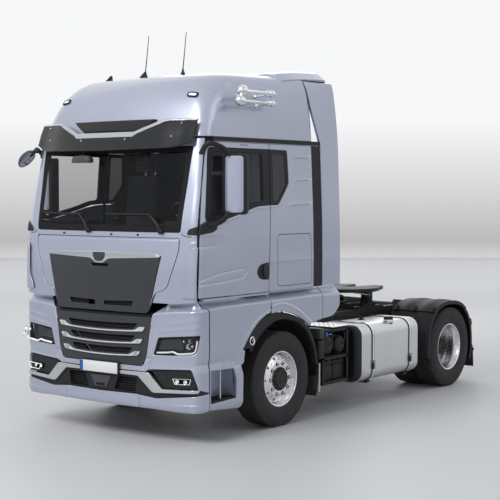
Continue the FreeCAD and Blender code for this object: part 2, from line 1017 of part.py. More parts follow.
def make_wing_strip():
    """Bright strip under the windscreen with a blank shield at its middle."""
    low = dark_top + panel_gap / 2
    top = low + wing_strip_height
    places = (-wing_strip_half, 0, wing_strip_half)
    back = [Vector(x, skin_front(x, low) - seat_gap, low) for x in places]
    face = [Vector(p.x, p.y - wing_strip_proud, p.z) for p in reversed(back)]
    edges = [
        Part.Arc(*back).toShape(),
        Part.LineSegment(back[2], face[0]).toShape(),
        Part.Arc(*face).toShape(),
        Part.LineSegment(face[2], back[0]).toShape(),
    ]
    strip = Part.Face(Part.Wire(edges)).extrude(Vector(0, 0, wing_strip_height))
    shield_low = top - wing_shield_height
    shield = prism_y(
        [
            (-wing_strip_centre, top),
            (-wing_strip_centre, low),
            (0, shield_low),
            (wing_strip_centre, low),
            (wing_strip_centre, top),
        ],
        skin_front(0, shield_low) - seat_gap - wing_strip_proud,
        skin_front(0, shield_low) - seat_gap,
    )
    return fuse([strip, shield])


def make_visor():
    """Curved sun visor across the top of the windscreen."""
    def sweep(front, end, half):
        a = Vector(-half, end, visor_low_mid)
        b = Vector(0, front, visor_low_mid)
        c = Vector(half, end, visor_low_mid)
        return a, b, c
    outer = sweep(visor_front_mid, visor_end_y, visor_half)
    inner = sweep(visor_front_mid + visor_thickness, visor_end_y + visor_thickness, visor_half)
    edges = [
        Part.Arc(outer[0], outer[1], outer[2]).toShape(),
        Part.LineSegment(outer[2], inner[2]).toShape(),
        Part.Arc(inner[2], inner[1], inner[0]).toShape(),
        Part.LineSegment(inner[0], outer[0]).toShape(),
    ]
    sheet = Part.Face(Part.Wire(edges)).extrude(Vector(0, 0, visor_top_end - visor_low_mid))
    outline = [
        (-visor_half, visor_low_end),
        (-visor_half, visor_top_end),
        (-visor_shoulder, visor_top_end),
        (-visor_notch_half, visor_top_mid),
        (visor_notch_half, visor_top_mid),
        (visor_shoulder, visor_top_end),
        (visor_half, visor_top_end),
        (visor_half, visor_low_end),
        (visor_shoulder, visor_low_mid),
        (-visor_shoulder, visor_low_mid),
    ]
    sheet = sheet.common(prism_y(outline, visor_front_mid - overrun, 0))
    pieces = [sheet]
    skin = cab_form(-seat_gap, cab_rear, 0)
    for place in visor_bracket_places:
        bow = (visor_end_y - visor_front_mid) * (place / visor_half) ** 2
        start = visor_front_mid + bow + visor_thickness / 2
        for x in (place, -place):
            arm = box(
                x - visor_bracket_width / 2,
                x + visor_bracket_width / 2,
                start,
                door_front_top,
                visor_bracket_z,
                visor_bracket_z + visor_bracket_height,
            )
            pieces.append(arm.cut(skin))
    return fuse(pieces)


def make_side_deflector():
    """Panel that carries the cab's side on behind its rear wall."""
    z_low, z_mid, z_top = deflector_bottom, gutter_z, spoiler_top - spoiler_wall
    outline = [
        (deflector_front, z_low),
        (deflector_front, z_top),
        (deflector_cut_y, z_top),
        (deflector_rear, z_mid),
        (deflector_rear, z_low),
    ]
    panel = prism_x(outline, 0, side_x + overrun)
    def plan(z, half):
        return Part.makePolygon([
            Vector(half - deflector_wall, deflector_front - overrun, z),
            Vector(half, deflector_front - overrun, z),
            Vector(half, deflector_rear + overrun, z),
            Vector(half - deflector_wall, deflector_rear + overrun, z),
            Vector(half - deflector_wall, deflector_front - overrun, z),
        ])
    sheet = Part.makeLoft(
        [plan(z_low, deflector_half), plan(belt_z, deflector_half), plan(z_top, deflector_half_top)], True, True
    )
    return panel.common(sheet)


def make_roof_spoiler():
    """Raised air deflector over the back of the roof, between the side panels."""
    roof_z = cab_levels[-1][0] + seat_gap
    crest = [
        (spoiler_front, roof_z),
        (cab_rear, spoiler_top - spoiler_wall),
        (spoiler_rear, spoiler_top),
        (spoiler_rear, spoiler_top - spoiler_wall),
        (cab_rear, roof_z),
    ]
    return prism_x(crest, -spoiler_half, spoiler_half)


# Things fixed to the cab

def make_horn(z):
    """One trumpet with its bell forward."""
    length = horn_tail_y - horn_bell_y
    bell = Part.makeCone(
        horn_bell_radius, horn_throat_radius, length / 4, Vector(horn_x, horn_bell_y, z), Vector(0, 1, 0)
    )
    throat = Part.makeCylinder(
        horn_throat_radius, length * 3 / 4, Vector(horn_x, horn_bell_y + length / 4, z), Vector(0, 1, 0)
    )
    return fuse([bell, throat])


def make_horns():
    """Two trumpets on the left of the roof, with their feet."""
    pieces = [make_horn(horn_upper_z), make_horn(horn_lower_z)]
    skin = cab_form(-seat_gap, cab_rear, 0)
    for y in (horn_bell_y / 2, horn_tail_y):
        foot = box(
            cab_levels[-1][3], horn_x, y - horn_foot, y, horn_lower_z - horn_throat_radius / 2, horn_upper_z
        )
        pieces.append(foot.cut(skin))
    return fuse(pieces)


def make_aerials():
    """Two whip aerials and a fin on the roof."""
    pieces = []
    roof_z = cab_levels[-1][0] + seat_gap
    for x in (aerial_left_x, aerial_right_x):
        foot = Vector(x, aerial_y, roof_z)
        base = Part.makeCone(aerial_base_radius, aerial_base_radius / 2, aerial_base_height, foot)
        whip = rod(foot, Vector(x, aerial_y, aerial_tip_z), aerial_radius)
        pieces.append(fuse([base, whip]))
    fin = prism_x(
        [
            (aerial_y - fin_length / 2, roof_z),
            (aerial_y + fin_length / 2, roof_z + fin_height),
            (aerial_y + fin_length / 2, roof_z),
        ],
        fin_x - fin_width / 2,
        fin_x + fin_width / 2,
    )
    pieces.append(fin)
    return pieces


def make_marker_lamps():
    """Round lamps at the roof's front corners."""
    start = Vector(marker_x, -front_overhang, marker_z)
    lamp = Part.makeCylinder(marker_radius, front_overhang, start, Vector(0, 1, 0))
    proud = cab_form(-marker_radius / 2, cab_rear, 0)
    skin = cab_form(-seat_gap, cab_rear, 0)
    lamp = lamp.common(proud).cut(skin)
    return [lamp, mirror_x(lamp)]


def make_mirror():
    """Main mirror on the left door: housing, two glasses and its bracket."""
    shell = rounded_y(
        mirror_inner_x, mirror_outer_x, mirror_bottom, mirror_top, mirror_round, mirror_front_y, mirror_rear_y
    )
    pocket = box(
        mirror_inner_x + mirror_glass_inset,
        mirror_outer_x - mirror_glass_inset,
        mirror_rear_y - mirror_glass_depth,
        mirror_rear_y + overrun,
        mirror_bottom + mirror_glass_inset,
        mirror_top - mirror_glass_inset,
    )
    split = box(
        mirror_inner_x,
        mirror_outer_x,
        mirror_rear_y - mirror_glass_depth,
        mirror_rear_y,
        mirror_split_z - mirror_glass_inset / 2,
        mirror_split_z + mirror_glass_inset / 2,
    )
    shell = fuse([shell.cut(pocket), split])
    skin = cab_form(-seat_gap, cab_rear, 0)
    arms = []
    for z in (mirror_bottom + mirror_round, mirror_top - mirror_round):
        start = Vector(side_x - cab_wall - overrun, mirror_arm_y, z)
        arm = rod(start, Vector(mirror_inner_x + mirror_round, mirror_arm_y, z), mirror_arm_radius)
        arms.append(arm.cut(skin))
    return fuse([shell] + arms)


def make_kerb_mirror():
    """Kerb mirror that faces down, on an arm of the right door's mirror."""
    low = kerb_z - kerb_depth / 2
    dish = Part.makeCylinder(kerb_half_length, kerb_depth, Vector(kerb_x, kerb_y, low)).common(
        box(
            kerb_x - kerb_half_length,
            kerb_x + kerb_half_length,
            kerb_y - kerb_half_width,
            kerb_y + kerb_half_width,
            low,
            low + kerb_depth,
        )
    )
    arm = rod(
        Vector(kerb_x, kerb_y, kerb_z), Vector(kerb_x, mirror_front_y + mirror_glass_inset, kerb_z), mirror_arm_radius
    )
    return fuse([dish, arm])


def make_front_mirror():
    """Front mirror under the visor, facing down."""
    skin = cab_form(-seat_gap, cab_rear, 0)
    low = front_mirror_z - front_mirror_depth / 2
    cup = rounded_y(
        front_mirror_x - front_mirror_half,
        front_mirror_x + front_mirror_half,
        low,
        low + front_mirror_depth,
        front_mirror_depth / 3,
        front_mirror_y - front_mirror_width / 2,
        front_mirror_y + front_mirror_width / 2,
    )
    stalk_end = Vector(front_mirror_x, door_front_top, gutter_z + overrun)
    stalk = rod(Vector(front_mirror_x, front_mirror_y, front_mirror_z), stalk_end, mirror_arm_radius)
    return fuse([cup, stalk.cut(skin)])


# Inside the cab

def room(clear):
    """Space inside the cab's walls."""
    return cab_inside(cab_wall + clear, cab_rear - cab_wall - clear, 0)


def make_dashboard():
    """Dashboard across the cab's front with the steering wheel and its column."""
    front = firewall_y + firewall_thickness + seat_gap
    outline = [
        (front, floor_z + seat_gap),
        (front, screen_bottom - lower_inner),
        (front + overrun * 2, dash_top),
        (dash_rear - overrun, dash_top),
        (dash_rear, dash_low),
        (dash_rear - overrun * 4, dash_low - overrun),
        (front + overrun * 4, floor_z + seat_gap),
    ]
    board = prism_x(outline, -side_x, side_x).common(room(wall_clear))
    centre = Vector(seat_x, steering_centre_y, steering_centre_z)
    tilt = math.radians(steering_tilt)
    axis = Vector(0, math.sin(tilt), math.cos(tilt))
    low = centre - axis * steering_rim
    rim = Part.makeCylinder(steering_wheel_radius, steering_rim * 2, low, axis)
    rim = rim.cut(Part.makeCylinder(steering_wheel_radius - steering_rim * 2, steering_rim * 2, low, axis))
    hub = Part.makeCylinder(steering_wheel_radius / 4, overrun, centre - axis * overrun, axis)
    spokes = []
    for angle in (0, 90, 180):
        spoke = rod(centre, centre + Vector(steering_wheel_radius - steering_rim, 0, 0), steering_rim * 0.8)
        spokes.append(turned(spoke, centre, axis, -angle))
    column = rod(centre, centre - axis * (steering_wheel_radius * 2), steering_rim * 2)
    return fuse([board, fuse([rim, hub, column] + spokes)])


def make_seat(x):
    """Seat with its base, cushion, back and head rest."""
    half = seat_width / 2
    base = box(x - half / 2, x + half / 2, seat_front + overrun * 2, seat_rear, floor_z + seat_gap, seat_cushion_z)
    cushion = rounded_x(
        seat_front, seat_rear, seat_cushion_z, seat_cushion_z + seat_cushion, seat_cushion / 3, x - half, x + half
    )
    back = prism_x(
        [
            (seat_rear - seat_back, seat_cushion_z + seat_cushion / 2),
            (seat_rear, seat_cushion_z + seat_cushion / 2),
            (seat_rear + seat_back / 2, seat_back_top),
            (seat_rear - seat_back / 2, seat_back_top),
        ],
        x - half * 0.9,
        x + half * 0.9,
    )
    return fuse([base, cushion, back])


def make_bunk():
    """Bunk across the back of the cab on its locker box."""
    rear = cab_rear - cab_wall - wall_clear
    slab = box(-bunk_half, bunk_half, bunk_front, rear, bunk_bottom, bunk_bottom + bunk_thickness)
    chest = box(
        -bunk_half + overrun, bunk_half - overrun, bunk_front + overrun, rear, floor_z + seat_gap, bunk_bottom
    )
    return fuse([slab, chest]).common(room(wall_clear))


# Lower front

def lower_plan(z, inset, rear):
    """Plan of the lower front at one height: bow, corners and straight sides back to rear."""
    level = (z, -front_overhang, cab_levels[0][2], bumper_half, bumper_half, cab_levels[0][5])
    return cab_section(level, inset, rear)


def lower_skin(z_low, z_high, inset_outer, inset_inner, rear=entry_rear_low):
    """Curved sheet between two heights round the lower front."""
    height = Vector(0, 0, z_high - z_low)
    outer = Part.Face(lower_plan(z_low, inset_outer, rear)).extrude(height)
    inner = Part.Face(lower_plan(z_low, inset_inner, rear + overrun)).extrude(height)
    return outer.cut(inner)


def lamp_outline(grow):
    """Front view of the left headlamp."""
    return [
        (lamp_low_inner_x - grow, lamp_low_inner_z - grow),
        (lamp_inner_x - grow, lamp_top_inner_z + grow),
        (bumper_half + overrun, lamp_top_outer_z + grow),
        (bumper_half + overrun, lamp_low_outer_z - grow),
    ]


def fog_outline():
    """Front view of the recess for the fog lamp."""
    return [
        (fog_inner_top_x, fog_top_z),
        (fog_outer_x, fog_top_z + trim_height),
        (fog_outer_x, fog_low_z + trim_height),
        (fog_inner_low_x, fog_low_z),
    ]


def grille_outline(grow):
    """Front view of the lower grille."""
    return [
        (-grille_half_low - grow, grille_bottom - grow),
        (-grille_half_top - grow, lower_top + grow),
        (grille_half_top + grow, lower_top + grow),
        (grille_half_low + grow, grille_bottom - grow),
    ]


def nose_prism(outline):
    """Front-view outline drawn through the lower front, back to the bumper's side seam."""
    return prism_y(outline, -front_overhang - overrun, bumper_side_rear)


def corner_seam(grow):
    """Side view of the seam between the bumper's corner and the entry panel, moved back by grow."""
    return [
        (bumper_side_rear + grow, bumper_bottom - overrun),
        (bumper_side_rear + grow, seam_bend_z),
        (seam_notch_y + grow, seam_notch_z),
        (door_front_low + grow, cab_bottom),
        (door_front_low + grow, cab_bottom + overrun),
    ]


def make_bumper():
    """Bumper with its corners, cut for the grille, lamps, fog lamps, intake and plate."""
    skin = lower_skin(bumper_bottom, bumper_corner_top, 0, lower_inner)
    behind = corner_seam(0) + [(0, cab_bottom + overrun), (0, bumper_bottom - overrun)]
    rear = prism_x(behind, -bumper_half - overrun, bumper_half + overrun)
    skin = skin.cut(rear)
    top_edge = [
        (-bumper_step_top_half, bumper_corner_top + overrun),
        (-bumper_step_half, bumper_step_z),
        (-grille_half_top - panel_gap, lower_top - overrun),
        (grille_half_top + panel_gap, lower_top - overrun),
        (bumper_step_half, bumper_step_z),
        (bumper_step_top_half, bumper_corner_top + overrun),
    ]
    skin = skin.cut(nose_prism(top_edge)).cut(nose_prism(flap_outline(panel_gap)))
    skin = skin.cut(nose_prism(grille_outline(seat_gap)))
    lamp = nose_prism(lamp_outline(seat_gap))
    fog = prism_y(fog_outline(), -front_overhang - overrun, bumper_side_rear - overrun)
    intake = box(tow_cover_half, intake_half, -front_overhang - overrun, bumper_side_rear, intake_low, intake_top)
    for cutter in (lamp, fog, intake):
        skin = skin.cut(cutter).cut(mirror_x(cutter))
    return skin


def make_lower_grille():
    """Dark grille: outer frame, three drooping bars with hooked ends."""
    frame = lower_skin(grille_bottom, lower_top, 0, lower_inner).common(nose_prism(grille_outline(0)))
    frame = frame.cut(nose_prism(grille_outline(-grille_frame)))
    pieces = [frame]
    for level, droop in zip(bar_levels, bar_droops):
        share = (level - grille_bottom) / (lower_top - grille_bottom)
        half = grille_half_low + (grille_half_top - grille_half_low) * share
        outline = [
            (-half, level),
            (-half, level + bar_hook),
            (-half + bar_hook, level + bar_hook),
            (-half + bar_hook * 2, level),
            (0, level - droop + bar_height),
            (half - bar_hook * 2, level),
            (half - bar_hook, level + bar_hook),
            (half, level + bar_hook),
            (half, level),
            (half - bar_hook, level - bar_height / 2),
            (0, level - droop),
            (-half + bar_hook, level - bar_height / 2),
        ]
        bar = lower_skin(grille_bottom, lower_top, panel_gap, bar_depth).common(nose_prism(outline))
        pieces.append(bar)
    return fuse(pieces)


def make_headlamps():
    """Slanted headlamps that wrap round the front corners."""
    lens = lower_skin(lamp_low_inner_z - overrun, lamp_top_outer_z + overrun, panel_gap, lower_inner)
    lens = lens.common(prism_y(lamp_outline(-seat_gap), -front_overhang - overrun, lamp_rear_y))
    return [lens, mirror_x(lens)]


def make_fog_lamps():
    """Round fog lamps in the bumper's side openings, each on its plate."""
    back = nose_arc_low(fog_lamp_x) + fog_depth
    plate = prism_y(fog_outline(), back, back + lamp_back_plate)
    lamp = Part.makeCylinder(
        fog_lamp_radius, fog_depth / 2, Vector(fog_lamp_x, back - fog_depth / 2, fog_lamp_z), Vector(0, 1, 0)
    )
    lamp = fuse([plate, lamp])
    return [lamp, mirror_x(lamp)]


def nose_arc_low(x):
    """Place of the lower front's skin."""
    return -front_overhang + cab_levels[0][2] * (x / bumper_half) ** 2


def make_entry_panel():
    """Left entry panel with its wheel arch, step wells and treads."""
    skin = lower_skin(entry_bottom, entry_top, 0, entry_wall, 0)
    left = box(lower_inner, bumper_half + overrun, -front_overhang, 0, entry_bottom, entry_top)
    skin = skin.common(left)
    nose = [
        (-front_overhang - overrun, cab_bottom + overrun),
        (-front_overhang - overrun, bumper_bottom - overrun),
    ]
    ahead = prism_x(corner_seam(panel_gap) + nose, 0, bumper_half + overrun)
    arch = Part.makeCylinder(arch_radius + wheel_flange, bumper_half + overrun, Vector(0, 0, tyre_radius), Vector(1, 0, 0))
    behind = prism_x(
        [
            (arch_seam_foot_y - panel_gap, entry_bottom - overrun),
            (arch_seam_foot_y - panel_gap, arch_seam_foot_z),
            (arch_seam_low_y - panel_gap, arch_top_z),
            (arch_seam_top_y - panel_gap, entry_top),
            (arch_seam_top_y - panel_gap, entry_top + overrun),
            (0, entry_top + overrun),
            (0, entry_bottom - overrun),
        ],
        0,
        bumper_half + overrun,
    )
    skin = skin.cut(ahead).cut(arch).cut(behind)
    well = box(0, bumper_half + overrun, step_front, step_rear, step_opening_bottom, step_opening_top)
    skin = skin.cut(well)
    treads = [skin]
    front = step_front - step_lap
    rear = step_rear + step_lap
    step_face = bumper_half - entry_wall
    for level in step_levels[:2]:
        treads.append(box(step_face - step_depth, step_face, front, rear, level - step_tread, level))
    back = box(
        step_face - step_depth - step_tread,
        step_face - step_depth,
        front,
        rear,
        step_levels[0] - step_tread,
        step_levels[1] + step_tread,
    )
    treads.append(back)
    return fuse(treads)


def make_mudguard():
    """Left front mudguard inside the arch, with its flap."""
    outer = Part.makeCylinder(guard_inner + guard_wall, guard_outer_x - guard_inner_x, Vector(guard_inner_x, 0, tyre_radius), Vector(1, 0, 0))
    inner = Part.makeCylinder(guard_inner, guard_outer_x - guard_inner_x, Vector(guard_inner_x, 0, tyre_radius), Vector(1, 0, 0))
    arc = outer.cut(inner)
    reach = guard_inner * 2
    front = math.radians(guard_front_angle)
    keep = [(0, tyre_radius)]
    for share in (0, 0.25, 0.5, 0.75, 1):
        angle = math.radians(guard_front_angle + (guard_rear_angle - guard_front_angle) * share)
        keep.append((reach * math.cos(angle), tyre_radius + reach * math.sin(angle)))
    arc = arc.common(prism_x(keep, guard_inner_x, guard_outer_x))
    flap_y = guard_inner * math.cos(math.radians(guard_rear_angle))
    flap = box(guard_inner_x, guard_outer_x, flap_y, flap_y + guard_wall, guard_flap_bottom, tyre_radius)
    stay_angle = math.radians(guard_stay_angle)
    stay_radius = guard_inner + guard_wall / 2
    y = stay_radius * math.cos(stay_angle)
    z = tyre_radius + stay_radius * math.sin(stay_angle)
    stays = []
    for place in (y, -y):
        stays.append(rod(Vector(rail_outer, place, z), Vector(guard_outer_x, place, z), guard_stay_section))
    return fuse([arc, flap] + stays)


def make_cab_skirt():
    """Painted skirt of the cab behind the front wheel, with half of the wheel arch."""
    outline = [
        (door_rear_low + panel_gap / 2, cab_bottom),
        (arch_seam_top_y, entry_top),
        (arch_seam_low_y, arch_top_z),
        (arch_seam_foot_y, arch_seam_foot_z),
        (0, skirt_bottom),
        (skirt_rear - overrun * 3, skirt_bottom),
        (skirt_rear, skirt_bottom + overrun),
        (skirt_rear, cab_levels[0][0]),
        (deflector_front - panel_gap, deflector_bottom - panel_gap),
        (cab_rear, entry_top),
    ]
    panel = prism_x(outline, side_x - entry_wall, side_x)
    arch = Part.makeCylinder(arch_radius, side_x + overrun, Vector(0, 0, tyre_radius), Vector(1, 0, 0))
    return panel.cut(arch)


# Frame, engine and axles

def make_rail():
    """Left frame rail, a channel open inwards."""
    outline = [
        (rail_outer, rail_bottom),
        (rail_outer, rail_top),
        (rail_outer - rail_flange, rail_top),
        (rail_outer - rail_flange, rail_top - rail_web),
        (rail_outer - rail_web, rail_top - rail_web),
        (rail_outer - rail_web, rail_bottom + rail_web),
        (rail_outer - rail_flange, rail_bottom + rail_web),
        (rail_outer - rail_flange, rail_bottom),
    ]
    return prism_y(outline, -rail_front_ahead, rail_rear_behind)


def make_cross_members():
    """Tubes between the rails, the bearer for the front end and the bar across the rear."""
    reach = rail_outer - rail_web
    middle = rail_top - rail_web * 1.5 - cross_tube_radius
    pieces = []
    for y in cross_tube_places:
        pieces.append(rod(Vector(-reach, y, middle), Vector(reach, y, middle), cross_tube_radius))
    half = bumper_half - entry_wall - step_depth - step_tread - seat_gap
    ahead = -rail_front_ahead - lower_inner
    beam = box(
        -half, half, ahead, -rail_front_ahead, rail_bottom - lower_inner, rail_bottom + lower_inner
    )
    post = box(
        rail_outer - rail_flange, rail_outer, ahead, -rail_front_ahead, rail_bottom, rail_top
    )
    lower_form = Part.Face(lower_plan(rail_bottom - lower_inner, lower_inner + seat_gap, 0))
    lower_form = lower_form.extrude(Vector(0, 0, lower_inner * 2))
    arm = box(
        bumper_arm_x,
        bumper_arm_x + lower_inner,
        -front_overhang,
        ahead,
        rail_bottom - lower_inner,
        rail_bottom,
    ).common(lower_form)
    pieces.append(fuse([beam, post, mirror_x(post), arm, mirror_x(arm)]))
    low = tail_bar_z - tail_bar_height / 2
    pieces.append(
        box(
            -tail_bar_half,
            tail_bar_half,
            rail_rear_behind,
            rail_rear_behind + tail_bar_depth,
            low,
            low + tail_bar_height,
        )
    )
    return pieces


def make_engine():
    """Engine as one plain block at its real place."""
    half = engine_width / 2
    reach = rail_outer - rail_web - seat_gap
    mount_z = rail_bottom + rail_flange
    mount = box(
        -reach, reach, engine_mount_y, engine_mount_y + rail_flange, mount_z, mount_z + rail_flange
    )
    block = box(-half, half, -engine_ahead, engine_behind, engine_bottom, engine_top)
    return fuse([block, mount])


def make_driveline():
    """Gearbox and the shaft to the rear axle."""
    half = gearbox_width / 2
    gearbox = box(-half, half, engine_behind + seat_gap, gearbox_behind, gearbox_bottom, gearbox_top)
    start = Vector(0, gearbox_behind, driveline_z)
    end = Vector(0, rear_y - diff_radius - seat_gap, shaft_rear_z)
    along = (end - start).normalize()
    shaft = rod(start - along * overrun, end + along * overrun, shaft_radius)
    ahead_of_axle = box(-diff_width, diff_width, 0, end.y, 0, rail_top)
    return fuse([gearbox, shaft.common(ahead_of_axle)])


def make_front_axle():
    """Dropped front beam with kingpin bosses and its two leaf springs."""
    depth = front_beam_depth / 2
    low = front_beam_z - front_beam_height / 2 - front_beam_drop / 2
    high = front_beam_z + front_beam_height / 2 - front_beam_drop / 2
    outline = [
        (-kingpin_x, low + front_beam_drop),
        (-spring_x - spring_width, low),
        (spring_x + spring_width, low),
        (kingpin_x, low + front_beam_drop),
        (kingpin_x, high + front_beam_drop),
        (spring_x + spring_width, high),
        (-spring_x - spring_width, high),
        (-kingpin_x, high + front_beam_drop),
    ]
    pieces = [prism_y(outline, -depth, depth)]
    boss_low = tyre_radius - axle_boss_height / 2
    for side in (-1, 1):
        foot = Vector(side * kingpin_x, 0, boss_low)
        pieces.append(Part.makeCylinder(axle_boss_radius, axle_boss_height, foot))
        leaf = box(
            side * spring_x - spring_width / 2,
            side * spring_x + spring_width / 2,
            -spring_half_length,
            spring_half_length,
            high,
            high + spring_thickness,
        )
        pieces.append(leaf)
        for end in (-1, 1):
            y = end * spring_half_length
            z = high + spring_thickness / 2
            eye = rod(
                Vector(side * spring_x - spring_width / 2, y, z),
                Vector(side * spring_x + spring_width / 2, y, z),
                spring_eye_radius,
            )
            hanger = box(
                side * spring_x - spring_width / 2,
                side * spring_x + spring_width / 2,
                y - hanger_width / 2,
                y + hanger_width / 2,
                z,
                rail_bottom - seat_gap,
            )
            pieces.extend([eye, hanger])
    beam = fuse(pieces)
    for side in (-1, 1):
        foot = Vector(side * kingpin_x, 0, 0)
        beam = beam.cut(Part.makeCylinder(kingpin_radius + kingpin_clearance, rail_top, foot))
        space = box(
            min(side * kingpin_x, side * front_wheel_x * 2),
            max(side * kingpin_x, side * front_wheel_x * 2),
            -axle_boss_radius * 2,
            axle_boss_radius * 2,
            0,
            rail_top,
        )
        beam = beam.cut(space.cut(Part.makeCylinder(axle_boss_radius, rail_top, foot)))
        for z_low, z_high in ((0, boss_low), (boss_low + axle_boss_height, rail_top)):
            clear = Part.makeCylinder(axle_boss_radius * 1.6, z_high - z_low, Vector(side * kingpin_x, 0, z_low))
            beam = beam.cut(clear)
    return beam


def make_knuckle():
    """Left steering knuckle: fork, kingpin, brake disc, spindle and steering arm."""
    half_boss = axle_boss_height / 2 + fork_gap
    pieces = []
    for low in (tyre_radius - half_boss - fork_plate, tyre_radius + half_boss):
        foot = Vector(kingpin_x, 0, low)
        eye = Part.makeCylinder(axle_boss_radius, fork_plate, foot)
        arm = box(
            kingpin_x, kingpin_x + axle_boss_radius + panel_gap + fork_plate / 2,
            -knuckle_width / 2, knuckle_width / 2, low, low + fork_plate
        )
        pieces.extend([eye, arm])
    web_x = kingpin_x + axle_boss_radius + panel_gap
    web = box(
        web_x,
        web_x + fork_plate / 2,
        -knuckle_width / 2,
        knuckle_width / 2,
        tyre_radius - half_boss - fork_plate,
        tyre_radius + half_boss + fork_plate,
    )
    pin = Part.makeCylinder(
        kingpin_radius, half_boss * 2 + fork_plate * 2, Vector(kingpin_x, 0, tyre_radius - half_boss - fork_plate)
    )
    spindle = rod(
        Vector(web_x, 0, tyre_radius),
        Vector(front_disc_x, 0, tyre_radius),
        spindle_radius,
    )
    arm_z = tyre_radius - half_boss - fork_plate
    steer_arm = box(
        kingpin_x - steer_arm_section,
        kingpin_x + steer_arm_section,
        0,
        steer_arm_length,
        arm_z,
        arm_z + steer_arm_section,
    )
    return fuse(pieces + [web, pin, spindle, steer_arm])


def make_rear_axle():
    """Rear axle tube with its differential, trailing arms and air springs."""
    tube_end = twin_outer_x - twin_spacing - tyre_width / 2 + overrun
    pieces = [
        rod(Vector(-tube_end, rear_y, tyre_radius), Vector(tube_end, rear_y, tyre_radius), rear_tube_radius),
        rod(
            Vector(-diff_width / 2, rear_y, tyre_radius),
            Vector(diff_width / 2, rear_y, tyre_radius),
            diff_radius,
        ),
        rod(
            Vector(-rear_disc_x - rear_hub_stand + overrun, rear_y, tyre_radius),
            Vector(rear_disc_x + rear_hub_stand - overrun, rear_y, tyre_radius),
            spindle_radius,
        ),
    ]
    arm_low = tyre_radius - rear_tube_radius - air_arm_height / 2
    for side in (-1, 1):
        x = side * air_spring_x
        pieces.append(
            box(
                x - air_arm_width / 2,
                x + air_arm_width / 2,
                rear_y - air_spring_offset - air_spring_radius,
                rear_y + air_spring_offset + air_spring_radius,
                arm_low,
                arm_low + air_arm_height,
            )
        )
        for end in (-1, 1):
            foot = Vector(x, rear_y + end * air_spring_offset, arm_low + air_arm_height)
            bottom = foot.z
            pieces.append(Part.makeCylinder(air_spring_radius * 0.8, rail_bottom - seat_gap - bottom, foot))
    return fuse(pieces)


# Wheels

def tyre_profile(centre):
    """Plain section of a tyre, as (x, radius)."""
    half = tyre_width / 2
    return [
        (centre + half, bead_radius),
        (centre + half, tyre_radius),
        (centre - half, tyre_radius),
        (centre - half, bead_radius),
    ]


def make_tyre(centre, y):
    """One tyre."""
    return revolve_x(tyre_profile(centre), y, tyre_radius)


def rim_solid(centre, y, disc_x, seat_x):
    """Barrel of a wheel with its flanges, and its disc at disc_x that meets the barrel at seat_x."""
    half = tyre_width / 2 - wheel_flange
    flange_r = bead_radius - seat_gap
    inner_r = flange_r - rim_wall - wheel_flange
    flat_r = hand_hole_circle + hand_hole_radius + wheel_flange / 2
    barrel = [
        (centre - half, flange_r),
        (centre - half, inner_r),
        (centre + half, inner_r),
        (centre + half, flange_r),
    ]
    disc = [
        (disc_x, hub_bore_radius + wheel_flange),
        (disc_x, flat_r),
        (seat_x, flange_r - rim_wall),
        (seat_x - disc_wall, flange_r - rim_wall),
        (disc_x - disc_wall, flat_r),
        (disc_x - disc_wall, hub_bore_radius + wheel_flange),
    ]
    return fuse([revolve_x(barrel, y, tyre_radius), revolve_x(disc, y, tyre_radius)])


def wheel_disc_details(rim, disc_x, y):
    """Hand holes cut in the disc."""
    centre = Vector(0, y, tyre_radius)
    hole = Part.makeCylinder(
        hand_hole_radius,
        disc_wall * 6,
        Vector(disc_x - disc_wall * 4, y, tyre_radius + hand_hole_circle),
        Vector(1, 0, 0),
    )
    for cutter in ring_of(hole, centre, Vector(1, 0, 0), hand_hole_count):
        rim = rim.cut(cutter)
    return rim


def make_hub(disc_x, stand, y):
    """Hub barrel behind the disc and its cap in front, bored for the spindle."""
    profile = [
        (disc_x - hub_depth, hub_bore_radius),
        (disc_x - hub_depth, hub_radius),
        (disc_x, hub_radius),
        (disc_x, hub_cap_radius),
        (disc_x + stand, hub_cap_radius),
        (disc_x + stand, 0),
        (disc_x + stand - wheel_flange, 0),
        (disc_x + stand - wheel_flange, hub_bore_radius),
    ]
    return revolve_x(profile, y, tyre_radius)


def make_front_rim():
    """Left front wheel with its hub."""
    rim = rim_solid(front_wheel_x, 0, front_disc_x, front_disc_x - disc_wall)
    rim = wheel_disc_details(rim, front_disc_x, 0)
    hub = make_hub(front_disc_x, front_hub_stand, 0)
    return fuse([rim, hub])


def make_rear_rims():
    """Left rear pair of wheels on one hub."""
    inner_x = twin_outer_x - twin_spacing
    seat = twin_outer_x - tyre_width / 2 + disc_wall * 5
    outer = rim_solid(twin_outer_x, rear_y, rear_disc_x + disc_wall, seat)
    inner = rim_solid(inner_x, rear_y, rear_disc_x, inner_x + tyre_width / 2 - disc_wall * 4)
    pair = wheel_disc_details(fuse([outer, inner]), rear_disc_x, rear_y)
    hub = make_hub(rear_disc_x, rear_hub_stand, rear_y)
    return fuse([pair, hub])


def make_rear_tyres():
    """Left rear twin tyres."""
    return Part.makeCompound([
        make_tyre(twin_outer_x, rear_y), make_tyre(twin_outer_x - twin_spacing, rear_y)
    ])


# Sides of the frame

def make_tank():
    """Fuel tank with round long edges, its filler cap and straps."""
    body = rounded_y(
        tank_inner_x, tank_outer_x, tank_bottom, tank_top, tank_corner, tank_front, tank_rear
    )
    cap = Part.makeCylinder(filler_radius, filler_height, Vector(filler_x, filler_y, tank_top))
    return fuse([body, cap])


